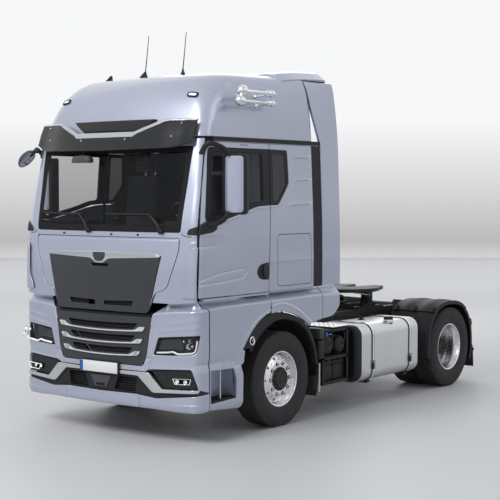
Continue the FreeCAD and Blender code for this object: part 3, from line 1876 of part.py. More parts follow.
def make_tank_straps():
    """Two bands round the tank and the brackets that hold them to the frame."""
    pieces = []
    for y in strap_places:
        outer = rounded_y(
            tank_inner_x - strap_thickness - seat_gap,
            tank_outer_x + strap_thickness + seat_gap,
            tank_bottom - strap_thickness - seat_gap,
            tank_top + strap_thickness + seat_gap,
            tank_corner + strap_thickness,
            y,
            y + strap_width,
        )
        inner = rounded_y(
            tank_inner_x - seat_gap,
            tank_outer_x + seat_gap,
            tank_bottom - seat_gap,
            tank_top + seat_gap,
            tank_corner,
            y - overrun,
            y + strap_width + overrun,
        )
        bracket = box(
            rail_outer,
            tank_inner_x - seat_gap,
            y,
            y + strap_width,
            rail_bottom,
            rail_top - bracket_height,
        )
        pieces.append(fuse([outer.cut(inner), bracket]))
    return pieces


def make_silencer():
    """Silencer box on the right with its brackets and outlet."""
    body = rounded_y(
        silencer_inner_x,
        silencer_outer_x,
        silencer_bottom,
        silencer_top,
        silencer_corner,
        silencer_front,
        silencer_rear,
    )
    pieces = [body]
    for y in (silencer_front + bracket_height, silencer_rear - bracket_height * 2):
        pieces.append(
            box(rail_outer, silencer_inner_x + overrun, y, y + bracket_height, rail_bottom, rail_top - bracket_height)
        )
    return mirror_x(fuse(pieces))


def make_carrier():
    """Open frame for the batteries and air tanks on the left."""
    bars = []
    for x in (carrier_inner_x, carrier_outer_x - carrier_bar):
        for y in (carrier_front, carrier_rear - carrier_bar):
            bars.append(box(x, x + carrier_bar, y, y + carrier_bar, carrier_bottom, carrier_top))
    for z in (carrier_bottom, carrier_bottom + battery_height + overrun * 2, carrier_top - carrier_shelf):
        bars.append(
            box(carrier_inner_x, carrier_outer_x, carrier_front, carrier_rear, z, z + carrier_shelf)
        )
    for y in (carrier_front, carrier_rear - carrier_bar):
        bars.append(
            box(rail_outer, carrier_inner_x, y, y + carrier_bar, rail_bottom, rail_top - bracket_height)
        )
    return fuse(bars)


def make_batteries():
    """Battery block and the air tank above it, on the carrier's shelves."""
    low = carrier_bottom + carrier_shelf
    battery = box(
        carrier_inner_x + carrier_bar * 2,
        carrier_outer_x - carrier_bar * 2,
        carrier_front + carrier_bar * 1.5,
        carrier_rear - carrier_bar * 1.5,
        low,
        low + battery_height,
    )
    shelf = carrier_bottom + battery_height + overrun * 2 + carrier_shelf
    middle_y = (carrier_front + carrier_rear) / 2
    start = carrier_inner_x + carrier_bar * 2
    tank = rod(
        Vector(start, middle_y, shelf + air_tank_radius),
        Vector(start + air_tank_length, middle_y, shelf + air_tank_radius),
        air_tank_radius,
    )
    return [battery, tank]


def make_deck():
    """Walkway over the frame behind the cab."""
    slab = box(-deck_half, deck_half, deck_front, deck_rear, deck_top - deck_thickness, deck_top)
    pieces = [slab]
    for side in (-1, 1):
        x = side * (rail_outer - rail_flange / 2)
        pieces.append(
            box(
                x - rail_flange / 4,
                x + rail_flange / 4,
                deck_front,
                deck_rear,
                rail_top,
                deck_top - deck_thickness,
            )
        )
    return fuse(pieces)


def ring_sector(inner, outer, first, last):
    """Left rear fender's arc between two angles."""
    width = fender_outer_x - fender_inner_x
    foot = Vector(fender_inner_x, rear_y, tyre_radius)
    ring = Part.makeCylinder(outer, width, foot, Vector(1, 0, 0))
    ring = ring.cut(Part.makeCylinder(inner, width, foot, Vector(1, 0, 0)))
    keep = [(rear_y, tyre_radius)]
    steps = 4
    for i in range(steps + 1):
        angle = math.radians(first + (last - first) * i / steps)
        keep.append((rear_y + outer * 1.5 * math.cos(angle), tyre_radius + outer * 1.5 * math.sin(angle)))
    return ring.common(prism_x(keep, fender_inner_x, fender_outer_x))


def make_rear_fender():
    """Left rear fender in three lapped parts with its posts to the frame."""
    inner = tyre_radius + fender_clear
    outer = inner + fender_wall
    front = ring_sector(inner, outer, fender_front_angle, fender_join_front)
    middle = ring_sector(
        outer, outer + fender_wall, fender_join_front + fender_lap_angle, fender_join_rear - fender_lap_angle
    )
    rear = ring_sector(inner, outer, fender_join_rear, fender_rear_angle)
    pieces = [front, middle, rear]
    for angle in fender_post_angles:
        radius = inner + fender_wall / 2
        y = rear_y + radius * math.cos(math.radians(angle))
        z = tyre_radius + radius * math.sin(math.radians(angle))
        pieces.append(rod(Vector(rail_outer, y, z), Vector(fender_outer_x - fender_lip, y, z), fender_post_radius))
    return fuse(pieces)


def make_tail_lamps():
    """Lamp blocks on the rear bar."""
    low = tail_bar_z - tail_lamp_height / 2
    rear = rail_rear_behind + tail_bar_depth
    lamp = rounded_y(
        tail_bar_half - tail_lamp_width,
        tail_bar_half + overrun,
        low,
        low + tail_lamp_height,
        tail_lamp_height / 5,
        rear + seat_gap,
        overall_rear,
    )
    return both(lamp)


# Fifth wheel

def make_fifth_base():
    """Mounting plate and the two pivot brackets on the frame."""
    base = box(
        -fifth_base_half_width,
        fifth_base_half_width,
        fifth_centre_behind - fifth_base_half_length,
        fifth_centre_behind + fifth_base_half_length,
        rail_top,
        rail_top + fifth_base_thickness,
    )
    pieces = [base]
    for side in (-1, 1):
        x = side * fifth_bracket_x
        outline = [
            (fifth_centre_behind - fifth_base_half_length / 2, rail_top + fifth_base_thickness),
            (fifth_centre_behind - fifth_pin_radius * 2, fifth_pivot_z + fifth_pin_radius),
            (fifth_centre_behind + fifth_pin_radius * 2, fifth_pivot_z + fifth_pin_radius),
            (fifth_centre_behind + fifth_base_half_length / 2, rail_top + fifth_base_thickness),
        ]
        lug = prism_x(outline, x - fifth_bracket_width / 2, x + fifth_bracket_width / 2)
        pieces.append(lug)
        pieces.append(
            rod(
                Vector(x - fifth_bracket_width * 1.5, fifth_centre_behind, fifth_pivot_z),
                Vector(x + fifth_bracket_width * 1.5, fifth_centre_behind, fifth_pivot_z),
                fifth_pin_radius,
            )
        )
    return fuse(pieces)


def make_fifth_plate():
    """Coupling plate with its throat, kingpin lock, skirt and pivot lugs."""
    low = fifth_plate_top - fifth_plate_thickness
    centre = Vector(0, fifth_centre_behind, low)
    disc = Part.makeCylinder(fifth_radius, fifth_plate_thickness, centre)
    tail = prism_z(
        [
            (-fifth_radius * 0.92, fifth_centre_behind + fifth_radius * 0.4),
            (-fifth_radius * 0.62, fifth_centre_behind + fifth_radius * 1.15),
            (-throat_half_width, fifth_centre_behind + fifth_radius * 1.15),
            (0, fifth_centre_behind),
            (throat_half_width, fifth_centre_behind + fifth_radius * 1.15),
            (fifth_radius * 0.62, fifth_centre_behind + fifth_radius * 1.15),
            (fifth_radius * 0.92, fifth_centre_behind + fifth_radius * 0.4),
        ],
        low,
        fifth_plate_top,
    )
    plate = fuse([disc, tail])
    throat = prism_z(
        [
            (-jaw_ring, fifth_centre_behind + jaw_ring),
            (jaw_ring, fifth_centre_behind + jaw_ring),
            (throat_half_width, fifth_centre_behind + fifth_radius * 1.2),
            (-throat_half_width, fifth_centre_behind + fifth_radius * 1.2),
        ],
        low - overrun,
        fifth_plate_top + overrun,
    )
    plate = plate.cut(throat)
    jaw = Part.makeCylinder(kingpin_lock_radius + jaw_ring, jaw_height, Vector(0, fifth_centre_behind, low))
    plate = fuse([plate, jaw])
    plate = plate.cut(
        Part.makeCylinder(
            kingpin_lock_radius, fifth_plate_thickness * 3, Vector(0, fifth_centre_behind, low - fifth_plate_thickness)
        )
    )
    lugs = []
    for side in (-1, 1):
        for offset in (-1, 1):
            x = side * fifth_bracket_x + offset * (fifth_bracket_width / 2 + panel_gap + fifth_lug_width / 4)
            lug = box(
                x - fifth_lug_width / 4,
                x + fifth_lug_width / 4,
                fifth_centre_behind - fifth_pin_radius * 2,
                fifth_centre_behind + fifth_pin_radius * 2,
                fifth_pivot_z - fifth_pin_radius * 1.8,
                low,
            )
            lugs.append(lug)
    plate = fuse([plate] + lugs)
    bore = rod(
        Vector(-fifth_radius, fifth_centre_behind, fifth_pivot_z),
        Vector(fifth_radius, fifth_centre_behind, fifth_pivot_z),
        fifth_pin_radius + fifth_pin_clearance,
    )
    return plate.cut(bore)


def export(name, shape):
    """Move a node from the front axle's line to the part's own frame and write it."""
    node = shape.copy()
    node.translate(Vector(0, front_axle_y, 0))
    node.exportStep("parts/" + name + ".step")
    bounds = node.BoundBox
    print(name, len(node.Solids), node.isValid(), round(bounds.XMin), round(bounds.XMax), round(bounds.YMin),
          round(bounds.YMax), round(bounds.ZMin), round(bounds.ZMax))


os.makedirs("parts", exist_ok=True)

roof, cab_front, side_left, door_left, skylight = make_cab_parts()
skirt = make_cab_skirt()
side_left = fuse([side_left, skirt])
door_handle = box(
    side_x - seat_gap,
    side_x + handle_stand,
    handle_rear - handle_length,
    handle_rear,
    handle_z - handle_height / 2,
    handle_z + handle_height / 2,
)
mirror_left = make_mirror()
glass_left = glass_layer(side_cut(door_window(-glass_gap)), glass_inset)
locker_left = make_locker_lid()
entry = make_entry_panel()
knuckle = make_knuckle()
front_rim = make_front_rim()
front_tyre = make_tyre(front_wheel_x, 0)
rear_rims = make_rear_rims()
rear_tyres = make_rear_tyres()
quarter = glass_layer(side_cut(quarter_window(-glass_gap)), glass_inset)

export("cab_roof", roof)
export("cab_front", cab_front)
export("cab_side_left", side_left)
export("cab_side_right", mirror_x(side_left))
export("cab_rear_wall", make_rear_wall())
export("cab_floor", make_floor())
export("cab_mounts", make_cab_mounts())
windscreen = glass_layer(front_cut(screen_outline(-glass_gap)), screen_inset)
export("cab_glass", Part.makeCompound([windscreen, quarter, mirror_x(quarter), glass_layer(skylight, screen_inset)]))
export("sun_visor", make_visor())
deflector = make_side_deflector()
export("air_deflectors", Part.makeCompound([deflector, mirror_x(deflector), make_roof_spoiler()]))
export("air_horns", make_horns())
export("roof_fittings", Part.makeCompound(make_aerials() + make_marker_lamps()))
export("front_mirror", make_front_mirror())
export("dashboard", make_dashboard())
export("seats_and_bunk", Part.makeCompound([make_seat(seat_x), make_seat(-seat_x), make_bunk()]))
export("front_flap", make_flap())
export("upper_grille", make_dark_panel())
export("wing_strip", make_wing_strip())
for side, pick in (("left", Part.Shape.copy), ("right", mirror_x)):
    export("door_" + side, pick(fuse([door_left, door_handle])))
    export("door_glass_" + side, pick(glass_left))
    export("locker_lid_" + side, pick(locker_left))
    export("knuckle_" + side, pick(knuckle))
    export("front_rim_" + side, pick(front_rim))
    export("front_tyre_" + side, pick(front_tyre))
    export("rear_rims_" + side, pick(rear_rims))
    export("rear_tyres_" + side, pick(rear_tyres))
export("mirror_left", mirror_left)
export("mirror_right", fuse([mirror_x(mirror_left), make_kerb_mirror()]))
rail = make_rail()
export("rail_left", rail)
export("rail_right", mirror_x(rail))
export("cross_members", Part.makeCompound(make_cross_members()))
export("engine_and_driveline", Part.makeCompound([make_engine(), make_driveline()]))
export("front_axle", make_front_axle())
export("rear_axle", make_rear_axle())
export("front_bumper", make_bumper())
export("lower_grille", make_lower_grille())
export("front_lamps", Part.makeCompound(make_headlamps() + make_fog_lamps()))
export("entry_panels", both(entry))
export("front_mudguards", both(make_mudguard()))
export("fuel_tank", Part.makeCompound([make_tank()] + make_tank_straps()))
export("silencer_box", make_silencer())
export("side_carrier", Part.makeCompound([make_carrier()] + make_batteries()))
export("deck_plate", make_deck())
export("rear_fenders", both(make_rear_fender()))
export("tail_lamps", make_tail_lamps())
export("fifth_wheel_base", make_fifth_base())
export("fifth_wheel_plate", make_fifth_plate())
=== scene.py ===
import bpy
import json
import math
import numpy as np
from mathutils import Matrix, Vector
from mathutils.geometry import delaunay_2d_cdt

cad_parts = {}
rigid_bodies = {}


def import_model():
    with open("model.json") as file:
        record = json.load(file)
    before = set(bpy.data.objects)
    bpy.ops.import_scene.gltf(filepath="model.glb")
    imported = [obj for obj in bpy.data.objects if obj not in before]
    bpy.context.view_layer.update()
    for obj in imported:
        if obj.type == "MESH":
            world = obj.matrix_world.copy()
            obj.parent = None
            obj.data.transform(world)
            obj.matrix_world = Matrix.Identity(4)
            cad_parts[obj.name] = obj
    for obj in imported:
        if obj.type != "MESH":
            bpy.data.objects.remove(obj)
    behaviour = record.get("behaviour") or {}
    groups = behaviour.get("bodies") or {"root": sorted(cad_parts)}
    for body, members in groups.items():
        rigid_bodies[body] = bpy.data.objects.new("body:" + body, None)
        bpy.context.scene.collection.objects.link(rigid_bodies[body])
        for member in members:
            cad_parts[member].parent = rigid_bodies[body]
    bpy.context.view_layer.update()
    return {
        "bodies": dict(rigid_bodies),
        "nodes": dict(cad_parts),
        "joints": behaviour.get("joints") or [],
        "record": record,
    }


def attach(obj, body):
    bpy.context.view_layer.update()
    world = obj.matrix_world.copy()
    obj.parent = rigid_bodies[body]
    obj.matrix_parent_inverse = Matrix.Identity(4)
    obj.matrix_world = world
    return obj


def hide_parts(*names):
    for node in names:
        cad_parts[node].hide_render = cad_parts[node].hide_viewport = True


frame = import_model()
print("frame loaded")

# every length below is metres behind the front axle's line; the whole truck shifts by this on its way to the frame
axleY = -1.37


# finishes, each built once and used by name
class Field:
    # wraps one output socket so that shader maths reads as plain expressions
    def __init__(self, tree, socket):
        self.tree = tree
        self.socket = socket

    def math(self, operation, other=None, third=None):
        node = self.tree.nodes.new("ShaderNodeMath")
        node.operation = operation
        for place, value in enumerate((self, other, third)):
            if isinstance(value, Field):
                self.tree.links.new(value.socket, node.inputs[place])
            elif value is not None:
                node.inputs[place].default_value = value
        return Field(self.tree, node.outputs[0])

    def turned(self, operation, other):
        node = self.tree.nodes.new("ShaderNodeMath")
        node.operation = operation
        node.inputs[0].default_value = other
        self.tree.links.new(self.socket, node.inputs[1])
        return Field(self.tree, node.outputs[0])

    def __add__(self, other): return self.math("ADD", other)
    def __radd__(self, other): return self.math("ADD", other)
    def __sub__(self, other): return self.math("SUBTRACT", other)
    def __rsub__(self, other): return self.turned("SUBTRACT", other)
    def __mul__(self, other): return self.math("MULTIPLY", other)
    def __rmul__(self, other): return self.math("MULTIPLY", other)
    def __truediv__(self, other): return self.math("DIVIDE", other)
    def __rtruediv__(self, other): return self.turned("DIVIDE", other)
    def __pow__(self, other): return self.math("POWER", other)

    def clamp(self):
        node = self.tree.nodes.new("ShaderNodeClamp")
        self.tree.links.new(self.socket, node.inputs[0])
        return Field(self.tree, node.outputs[0])


class Finish:
    # one material: its shader, the object's coordinates, and a method for any other node
    def __init__(self, name, **sockets):
        self.material = bpy.data.materials.new(name)
        self.material.use_nodes = True
        self.tree = self.material.node_tree
        self.shader = self.tree.nodes["Principled BSDF"]
        self.place = self.node("ShaderNodeTexCoord").outputs["Object"]
        self.set(**sockets)

    def node(self, kind, settings=None, stops=None, **values):
        node = self.tree.nodes.new(kind)
        for key, value in (settings or {}).items():
            setattr(node, key, value)
        if stops:
            ramp = node.color_ramp.elements
            ramp[0].position, ramp[0].color = stops[0]
            ramp[1].position, ramp[1].color = stops[-1]
            for position, colour in stops[1:-1]:
                ramp.new(position).color = colour
        for key, value in values.items():
            self.feed(node.inputs[int(key[1:]) if key[0] == "i" and key[1:].isdigit() else key.replace("_", " ")],
                      value)
        return node

    def feed(self, socket, value):
        if isinstance(value, Field):
            self.tree.links.new(value.socket, socket)
        elif isinstance(value, bpy.types.NodeSocket):
            self.tree.links.new(value, socket)
        else:
            socket.default_value = value

    def set(self, **sockets):
        for key, value in sockets.items():
            if isinstance(value, tuple) and len(value) == 3:
                value = value + (1.0,)
            self.feed(self.shader.inputs[key.replace("_", " ")], value)

    def field(self, socket):
        return Field(self.tree, socket)

    def scaled(self, x, y, z):
        node = self.node("ShaderNodeVectorMath", {"operation": "MULTIPLY"}, i0=self.place)
        node.inputs[1].default_value = (x, y, z)
        return node.outputs[0]

    def noise(self, scale, detail=2.0, roughness=0.5, vector=None):
        node = self.node("ShaderNodeTexNoise", Vector=vector or self.place, Scale=scale, Detail=detail,
                         Roughness=roughness)
        return self.field(node.outputs["Fac"])

    def mix(self, factor, first, second):
        node = self.node("ShaderNodeMix", {"data_type": "RGBA"})
        self.feed(node.inputs["Factor"], factor)
        for socket, value in ((node.inputs[6], first), (node.inputs[7], second)):
            self.feed(socket, value + (1.0,) if isinstance(value, tuple) else value)
        return node.outputs[2]

    def axis(self, name):
        node = self.node("ShaderNodeSeparateXYZ", Vector=self.place)
        return self.field(node.outputs[name])

    def bump(self, height, strength, distance):
        node = self.node("ShaderNodeBump", Height=height, Strength=strength, Distance=distance)
        self.set(Normal=node.outputs[0])


def makePaint():
    values = {"light": (0.485, 0.515, 0.63), "deep": (0.43, 0.46, 0.575), "flake": 2600.0}
    finish = Finish("cabPaint", Metallic=0.62, IOR=1.5, Coat_Weight=1.0, Coat_Roughness=0.03)
    flake = finish.noise(values["flake"], 0.0)
    drift = finish.noise(0.9, 2.0)
    finish.set(Base_Color=finish.mix((drift - 0.3) * 1.6 + (flake - 0.5) * 0.35, values["deep"], values["light"]))
    finish.set(Roughness=0.30 + flake * 0.10)
    finish.bump(flake, 0.05, 0.0004)
    return finish.material


def makeSatin(name, dark, light, roughness, grain, strength, distance, metallic=0.0, coat=0.0):
    # moulded or painted surface: slow drift of tone and fine grain
    finish = Finish(name, Metallic=metallic, Coat_Weight=coat, Coat_Roughness=0.12, Specular_IOR_Level=0.3)
    drift = finish.noise(2.3, 3.0)
    fine = finish.noise(grain, 2.0, 0.6)
    finish.set(Base_Color=finish.mix(drift * 0.7 + fine * 0.3, dark, light))
    finish.set(Roughness=(roughness - 0.07) + fine * 0.14)
    finish.bump(fine, strength, distance)
    return finish.material


def makeMetal(name, tone, roughness, brushed=(1.0, 1.0, 1.0), scale=40.0, strength=0.03, spread=0.12):
    # bare metal: brushed along its long direction, clouded a little by handling
    finish = Finish(name, Metallic=1.0)
    streak = finish.noise(scale, 3.0, 0.6, finish.scaled(*brushed))
    cloud = finish.noise(5.0, 3.0)
    dim = tuple(c * 0.86 for c in tone)
    finish.set(Base_Color=finish.mix(cloud * 0.6 + streak * 0.4, dim, tone))
    finish.set(Roughness=(roughness - spread / 2) + streak * spread * 0.6 + cloud * spread * 0.4)
    finish.bump(streak, strength, 0.0006)
    return finish.material


def makeRubber():
    # tyre rubber: charcoal, matt, a little brown dust in the grooves and on the tread
    finish = Finish("tyreRubber", Specular_IOR_Level=0.35)
    dust = finish.noise(9.0, 4.0, 0.6)
    fine = finish.noise(260.0, 2.0)
    finish.set(Base_Color=finish.mix((dust - 0.35) * 1.5, (0.026, 0.026, 0.027), (0.047, 0.046, 0.045)))
    finish.set(Roughness=0.62 + fine * 0.2)
    finish.bump(fine, 0.12, 0.0006)
    return finish.material


def makeGlass(name, tint, alpha):
    finish = Finish(name, Roughness=0.02, IOR=1.5, Alpha=alpha)
    drift = finish.noise(1.3, 1.0)
    finish.set(Base_Color=finish.mix(drift, tint, tuple(c * 1.25 for c in tint)))
    return finish.material


def makeCloth(name, dark, light, scale):
    # woven seat cloth: two crossed threads, soft sheen
    finish = Finish(name, Roughness=0.85, Sheen_Weight=0.3)
    across = finish.node("ShaderNodeTexWave", {"bands_direction": "X"}, Vector=finish.place, Scale=scale,
                         Distortion=0.6)
    along = finish.node("ShaderNodeTexWave", {"bands_direction": "Z"}, Vector=finish.place, Scale=scale, Distortion=0.6)
    weave = finish.field(across.outputs["Fac"]) * finish.field(along.outputs["Fac"])
    patch = finish.noise(6.0, 2.0)
    finish.set(Base_Color=finish.mix(weave * 0.7 + patch * 0.3, dark, light))
    finish.bump(weave, 0.25, 0.001)
    return finish.material


def makeLamp(name, tone, strength):
    finish = Finish(name, Roughness=0.08, Coat_Weight=0.6, Coat_Roughness=0.03, Emission_Strength=strength)
    ribs = finish.node("ShaderNodeTexWave", {"bands_direction": "X"}, Vector=finish.place, Scale=60.0, Distortion=0.0)
    rib = finish.field(ribs.outputs["Fac"])
    finish.set(Base_Color=finish.mix(rib * 0.35, tone, tuple(c * 0.7 for c in tone)), Emission_Color=tone)
    finish.bump(rib, 0.2, 0.0008)
    return finish.material


finishes = {
    "paint": makePaint(),
    "panel": makeSatin("graphitePanel", (0.030, 0.033, 0.038), (0.040, 0.043, 0.049), 0.36, 700.0, 0.05, 0.0004,
                       coat=0.25),
    "gloss": makeSatin("glossBlack", (0.010, 0.011, 0.012), (0.013, 0.014, 0.015), 0.16, 700.0, 0.03, 0.0002,
                       coat=0.25),
    "plastic": makeSatin("blackPlastic", (0.012, 0.0125, 0.0135), (0.021, 0.0215, 0.023), 0.56, 520.0, 0.16, 0.0006),
    "trimPlastic": makeSatin("greyPlastic", (0.050, 0.052, 0.057), (0.072, 0.074, 0.080), 0.5, 520.0, 0.14, 0.0006),
    # near-black used as painted shade: sheets behind openings, gaps and slots, rings round wheel nuts, strips in vents;
    # it is also the black of the screen's border and of small dark parts
    "shadow": makeSatin("blackAndPaintedShade", (0.004, 0.004, 0.0045), (0.008, 0.008, 0.009), 0.8, 300.0, 0.1, 0.0006),
    "silver": makeSatin("silverTrim", (0.52, 0.53, 0.55), (0.60, 0.61, 0.63), 0.26, 900.0, 0.03, 0.0003, metallic=0.75,
                        coat=0.6),
    "chrome": makeMetal("chromePlate", (0.86, 0.87, 0.89), 0.09, spread=0.05, strength=0.01),
    "wheelAlloy": makeMetal("polishedAlloy", (0.88, 0.885, 0.90), 0.27, scale=60.0, strength=0.008, spread=0.08),
    "tankAlloy": makeMetal("tankSheet", (0.74, 0.75, 0.77), 0.33, (1.0, 0.05, 1.0), 90.0, 0.05),
    "steel": makeSatin("frameSteel", (0.020, 0.020, 0.021), (0.040, 0.039, 0.038), 0.5, 160.0, 0.22, 0.0012,
                       metallic=0.35),
    "cast": makeSatin("castIron", (0.030, 0.029, 0.028), (0.062, 0.060, 0.057), 0.6, 120.0, 0.4, 0.0016, metallic=0.4),
    "greaseSteel": makeMetal("couplingSteel", (0.11, 0.11, 0.115), 0.35, (1.0, 0.2, 1.0), 30.0, 0.08, 0.2),
    "rubber": makeRubber(), "glass": makeGlass("tintedGlass", (0.008, 0.010, 0.011), 0.30),
    "screenGlass": makeGlass("screenGlass", (0.010, 0.012, 0.013), 0.26),
    "roofGlass": makeGlass("smokedRoofGlass", (0.012, 0.013, 0.014), 0.93),
    "cabin": makeSatin("cabinTrim", (0.060, 0.058, 0.055), (0.085, 0.082, 0.078), 0.7, 420.0, 0.2, 0.0008),
    "cabinDark": makeSatin("dashTop", (0.022, 0.022, 0.023), (0.033, 0.033, 0.034), 0.68, 460.0, 0.22, 0.0008),
    "cloth": makeCloth("seatCloth", (0.045, 0.047, 0.054), (0.11, 0.115, 0.125), 210.0),
    "bunkCloth": makeCloth("bunkCloth", (0.10, 0.095, 0.09), (0.19, 0.18, 0.17), 180.0),
    "lampClear": makeLamp("clearLamp", (0.92, 0.94, 0.97), 0.25),
    "lampRed": makeLamp("redLamp", (0.55, 0.012, 0.010), 0.05),
    "lampAmber": makeLamp("amberLamp", (0.75, 0.22, 0.02), 0.03),
    "lens": makeGlass("lampLens", (0.05, 0.053, 0.058), 0.22),
    "mirrorGlass": makeMetal("mirrorGlass", (0.80, 0.82, 0.84), 0.03, spread=0.02, strength=0.0),
    "plateWhite": makeSatin("plateWhite", (0.72, 0.72, 0.71), (0.80, 0.80, 0.79), 0.4, 500.0, 0.03, 0.0003),
    "reflector": makeSatin("whiteReflector", (0.66, 0.67, 0.67), (0.78, 0.79, 0.79), 0.3, 900.0, 0.2, 0.0006, coat=0.5),
    "blueCap": makeSatin("blueCap", (0.01, 0.10, 0.42), (0.02, 0.14, 0.52), 0.4, 500.0, 0.1, 0.0005),
}
print("materials made")


# makers of meshes
def place(name, mesh, body, finishNames, replaced=()):
    piece = bpy.data.objects.new(name, mesh)
    bpy.context.scene.collection.objects.link(piece)
    for finishName in finishNames:
        mesh.materials.append(finishes[finishName])
    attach(piece, body)
    if replaced:
        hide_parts(*replaced)
    return piece


class Solid:
    # collects plain shapes of one piece, each with its finish, and shades them smooth up to a sharp angle
    def __init__(self, name, body, replaced=(), sharp=0.6):
        self.name, self.body, self.replaced, self.sharp = name, body, replaced, sharp
        self.points, self.faces, self.marks, self.names = [], [], [], []

    def add(self, points, faces, finish, mirrored=False):
        base = len(self.points)
        if finish not in self.names:
            self.names.append(finish)
        sign = -1 if mirrored else 1
        self.points += [(p[0] * sign, p[1] + axleY, p[2]) for p in points]
        for face in faces:
            face = tuple(face)[::-1] if mirrored else tuple(face)
            self.faces.append(tuple(base + i for i in face))
            self.marks.append(self.names.index(finish))

    def both(self, points, faces, finish):
        self.add(points, faces, finish)
        self.add(points, faces, finish, True)

    def make(self):
        mesh = bpy.data.meshes.new(self.name)
        mesh.from_pydata(self.points, [], self.faces)
        mesh.polygons.foreach_set("material_index", self.marks)
        mesh.polygons.foreach_set("use_smooth", [True] * len(self.faces))
        mesh.set_sharp_from_angle(angle=self.sharp)
        mesh.update()
        return place(self.name, mesh, self.body, self.names, self.replaced)


def block(low, high, edge=0.006):
    # box between two opposite corners whose twelve edges are chamfered twice, like a pressed or moulded edge
    low, high = np.minimum(low, high), np.maximum(low, high)
    edge = min(edge, (high - low).min() * 0.45)
    rings = []
    points = []
    for zPlace, inset in ((low[2], edge), (low[2] + edge * 0.3, edge * 0.3), (low[2] + edge, 0.0),
                          (high[2] - edge, 0.0), (high[2] - edge * 0.3, edge * 0.3), (high[2], edge)):
        start = len(points)
        x0, x1, y0, y1 = low[0] + inset, high[0] - inset, low[1] + inset, high[1] - inset
        c, m = edge, edge * 0.3
        points += [(x0 + c, y0, zPlace), (x1 - c, y0, zPlace), (x1 - m, y0 + m, zPlace), (x1, y0 + c, zPlace),
                   (x1, y1 - c, zPlace), (x1 - m, y1 - m, zPlace), (x1 - c, y1, zPlace), (x0 + c, y1, zPlace),
                   (x0 + m, y1 - m, zPlace), (x0, y1 - c, zPlace), (x0, y0 + c, zPlace), (x0 + m, y0 + m, zPlace)]
        rings.append(range(start, len(points)))
    return points, lofted(rings, True, True)


def lofted(rings, closed=True, capped=False):
    # quads between rings of equal count
    faces = []
    for first, second in zip(rings, rings[1:]):
        count = len(first)
        for i in range(count if closed else count - 1):
            j = (i + 1) % count
            faces.append((first[i], first[j], second[j], second[i]))
    if capped:
        faces.append(tuple(rings[0])[::-1])
        faces.append(tuple(rings[-1]))
    return faces


def loft(rows, closed=True, capped=True):
    points, rings = [], []
    for row in rows:
        rings.append(range(len(points), len(points) + len(row)))
        points += [tuple(p) for p in row]
    return points, lofted(rings, closed, capped)


def revolve(profile, centre, axis="X", count=48, start=0.0, sweep=360.0, pattern=None):
    # profile of (along, radius) points turned about a line through centre; pattern shifts the radius by step and turn
    full = abs(sweep - 360.0) < 1e-6
    steps = count if full else count + 1
    points, rings = [], []
    for i in range(steps):
        angle = math.radians(start + sweep * i / count)
        ring = []
        for k, (along, radius) in enumerate(profile):
            if pattern:
                radius += pattern(k, i)
            a, b = radius * math.cos(angle), radius * math.sin(angle)
            point = {"X": (along, a, b), "Y": (b, along, a), "Z": (a, b, along)}[axis]
            ring.append(len(points))
            points.append(tuple(c + p for c, p in zip(centre, point)))
        rings.append(ring)
    faces = lofted(rings + ([rings[0]] if full else []), False)
    return points, faces


def tube(path, radius, count=12, squash=1.0, capped=True):
    # round bar along a path; radius is a number or one for each point
    path = [Vector(p) for p in path]
    radii = radius if isinstance(radius, (list, tuple)) else [radius] * len(path)
    along = [(path[min(i + 1, len(path) - 1)] - path[max(i - 1, 0)]).normalized() for i in range(len(path))]
    side = along[0].orthogonal().normalized()
    rows = []
    for point, direction, r in zip(path, along, radii):
        side = (side - direction * side.dot(direction)).normalized()
        up = direction.cross(side)
        rows.append([point + (side * math.cos(t) + up * math.sin(t) * squash) * r
                     for t in (math.tau * k / count for k in range(count))])
    return loft(rows, True, capped)


def curve(points, steps=8):
    # smooth path through points
    points = [Vector(p) for p in points]
    ends = [points[0] * 2 - points[1]] + points + [points[-1] * 2 - points[-2]]
    path = []
    for a, b, c, d in zip(ends, ends[1:], ends[2:], ends[3:]):
        for k in range(steps):
            t = k / steps
            square, cube = 2 * a - 5 * b + 4 * c - d, 3 * b - 3 * c + d - a
            path.append(0.5 * (2 * b + (c - a) * t + square * t * t + cube * t ** 3))
    return path + [points[-1]]


def prism(outline, axis, low, high, edge=0.004):
    # outline of a flat shape drawn out along an axis, with chamfered rims
    outline = np.array(outline, float)
    if area(outline) < 0:
        outline = outline[::-1]
    inner = shrink(outline, edge)
    rows = [(low, inner), (low + edge, outline), (high - edge, outline), (high, inner)]
    points, rings = [], []
    for along, loop in rows:
        rings.append(range(len(points), len(points) + len(loop)))
        for a, b in loop:
            points.append({"X": (along, a, b), "Y": (a, along, b), "Z": (a, b, along)}[axis])
    faces = lofted(rings)
    cap = triangles([inner], None)[1]
    count = len(inner)
    faces += [tuple(int(i) for i in f)[::-1] for f in cap]
    faces += [tuple(int(i) + count * 3 for i in f) for f in cap]
    if axis == "Y":
        faces = [f[::-1] for f in faces]
    return points, faces


def area(loop):
    x, y = loop[:, 0], loop[:, 1]
    return 0.5 * float(np.sum(x * np.roll(y, -1) - y * np.roll(x, -1)))


def dense(points, step, closed=True):
    points = np.array(points, float)
    pairs = zip(points, np.roll(points, -1, axis=0)) if closed else zip(points[:-1], points[1:])
    out = []
    for a, b in pairs:
        count = max(1, int(math.ceil(np.linalg.norm(b - a) / step)))
        out += [a + (b - a) * k / count for k in range(count)]
    if not closed:
        out.append(points[-1])
    return np.array(out)


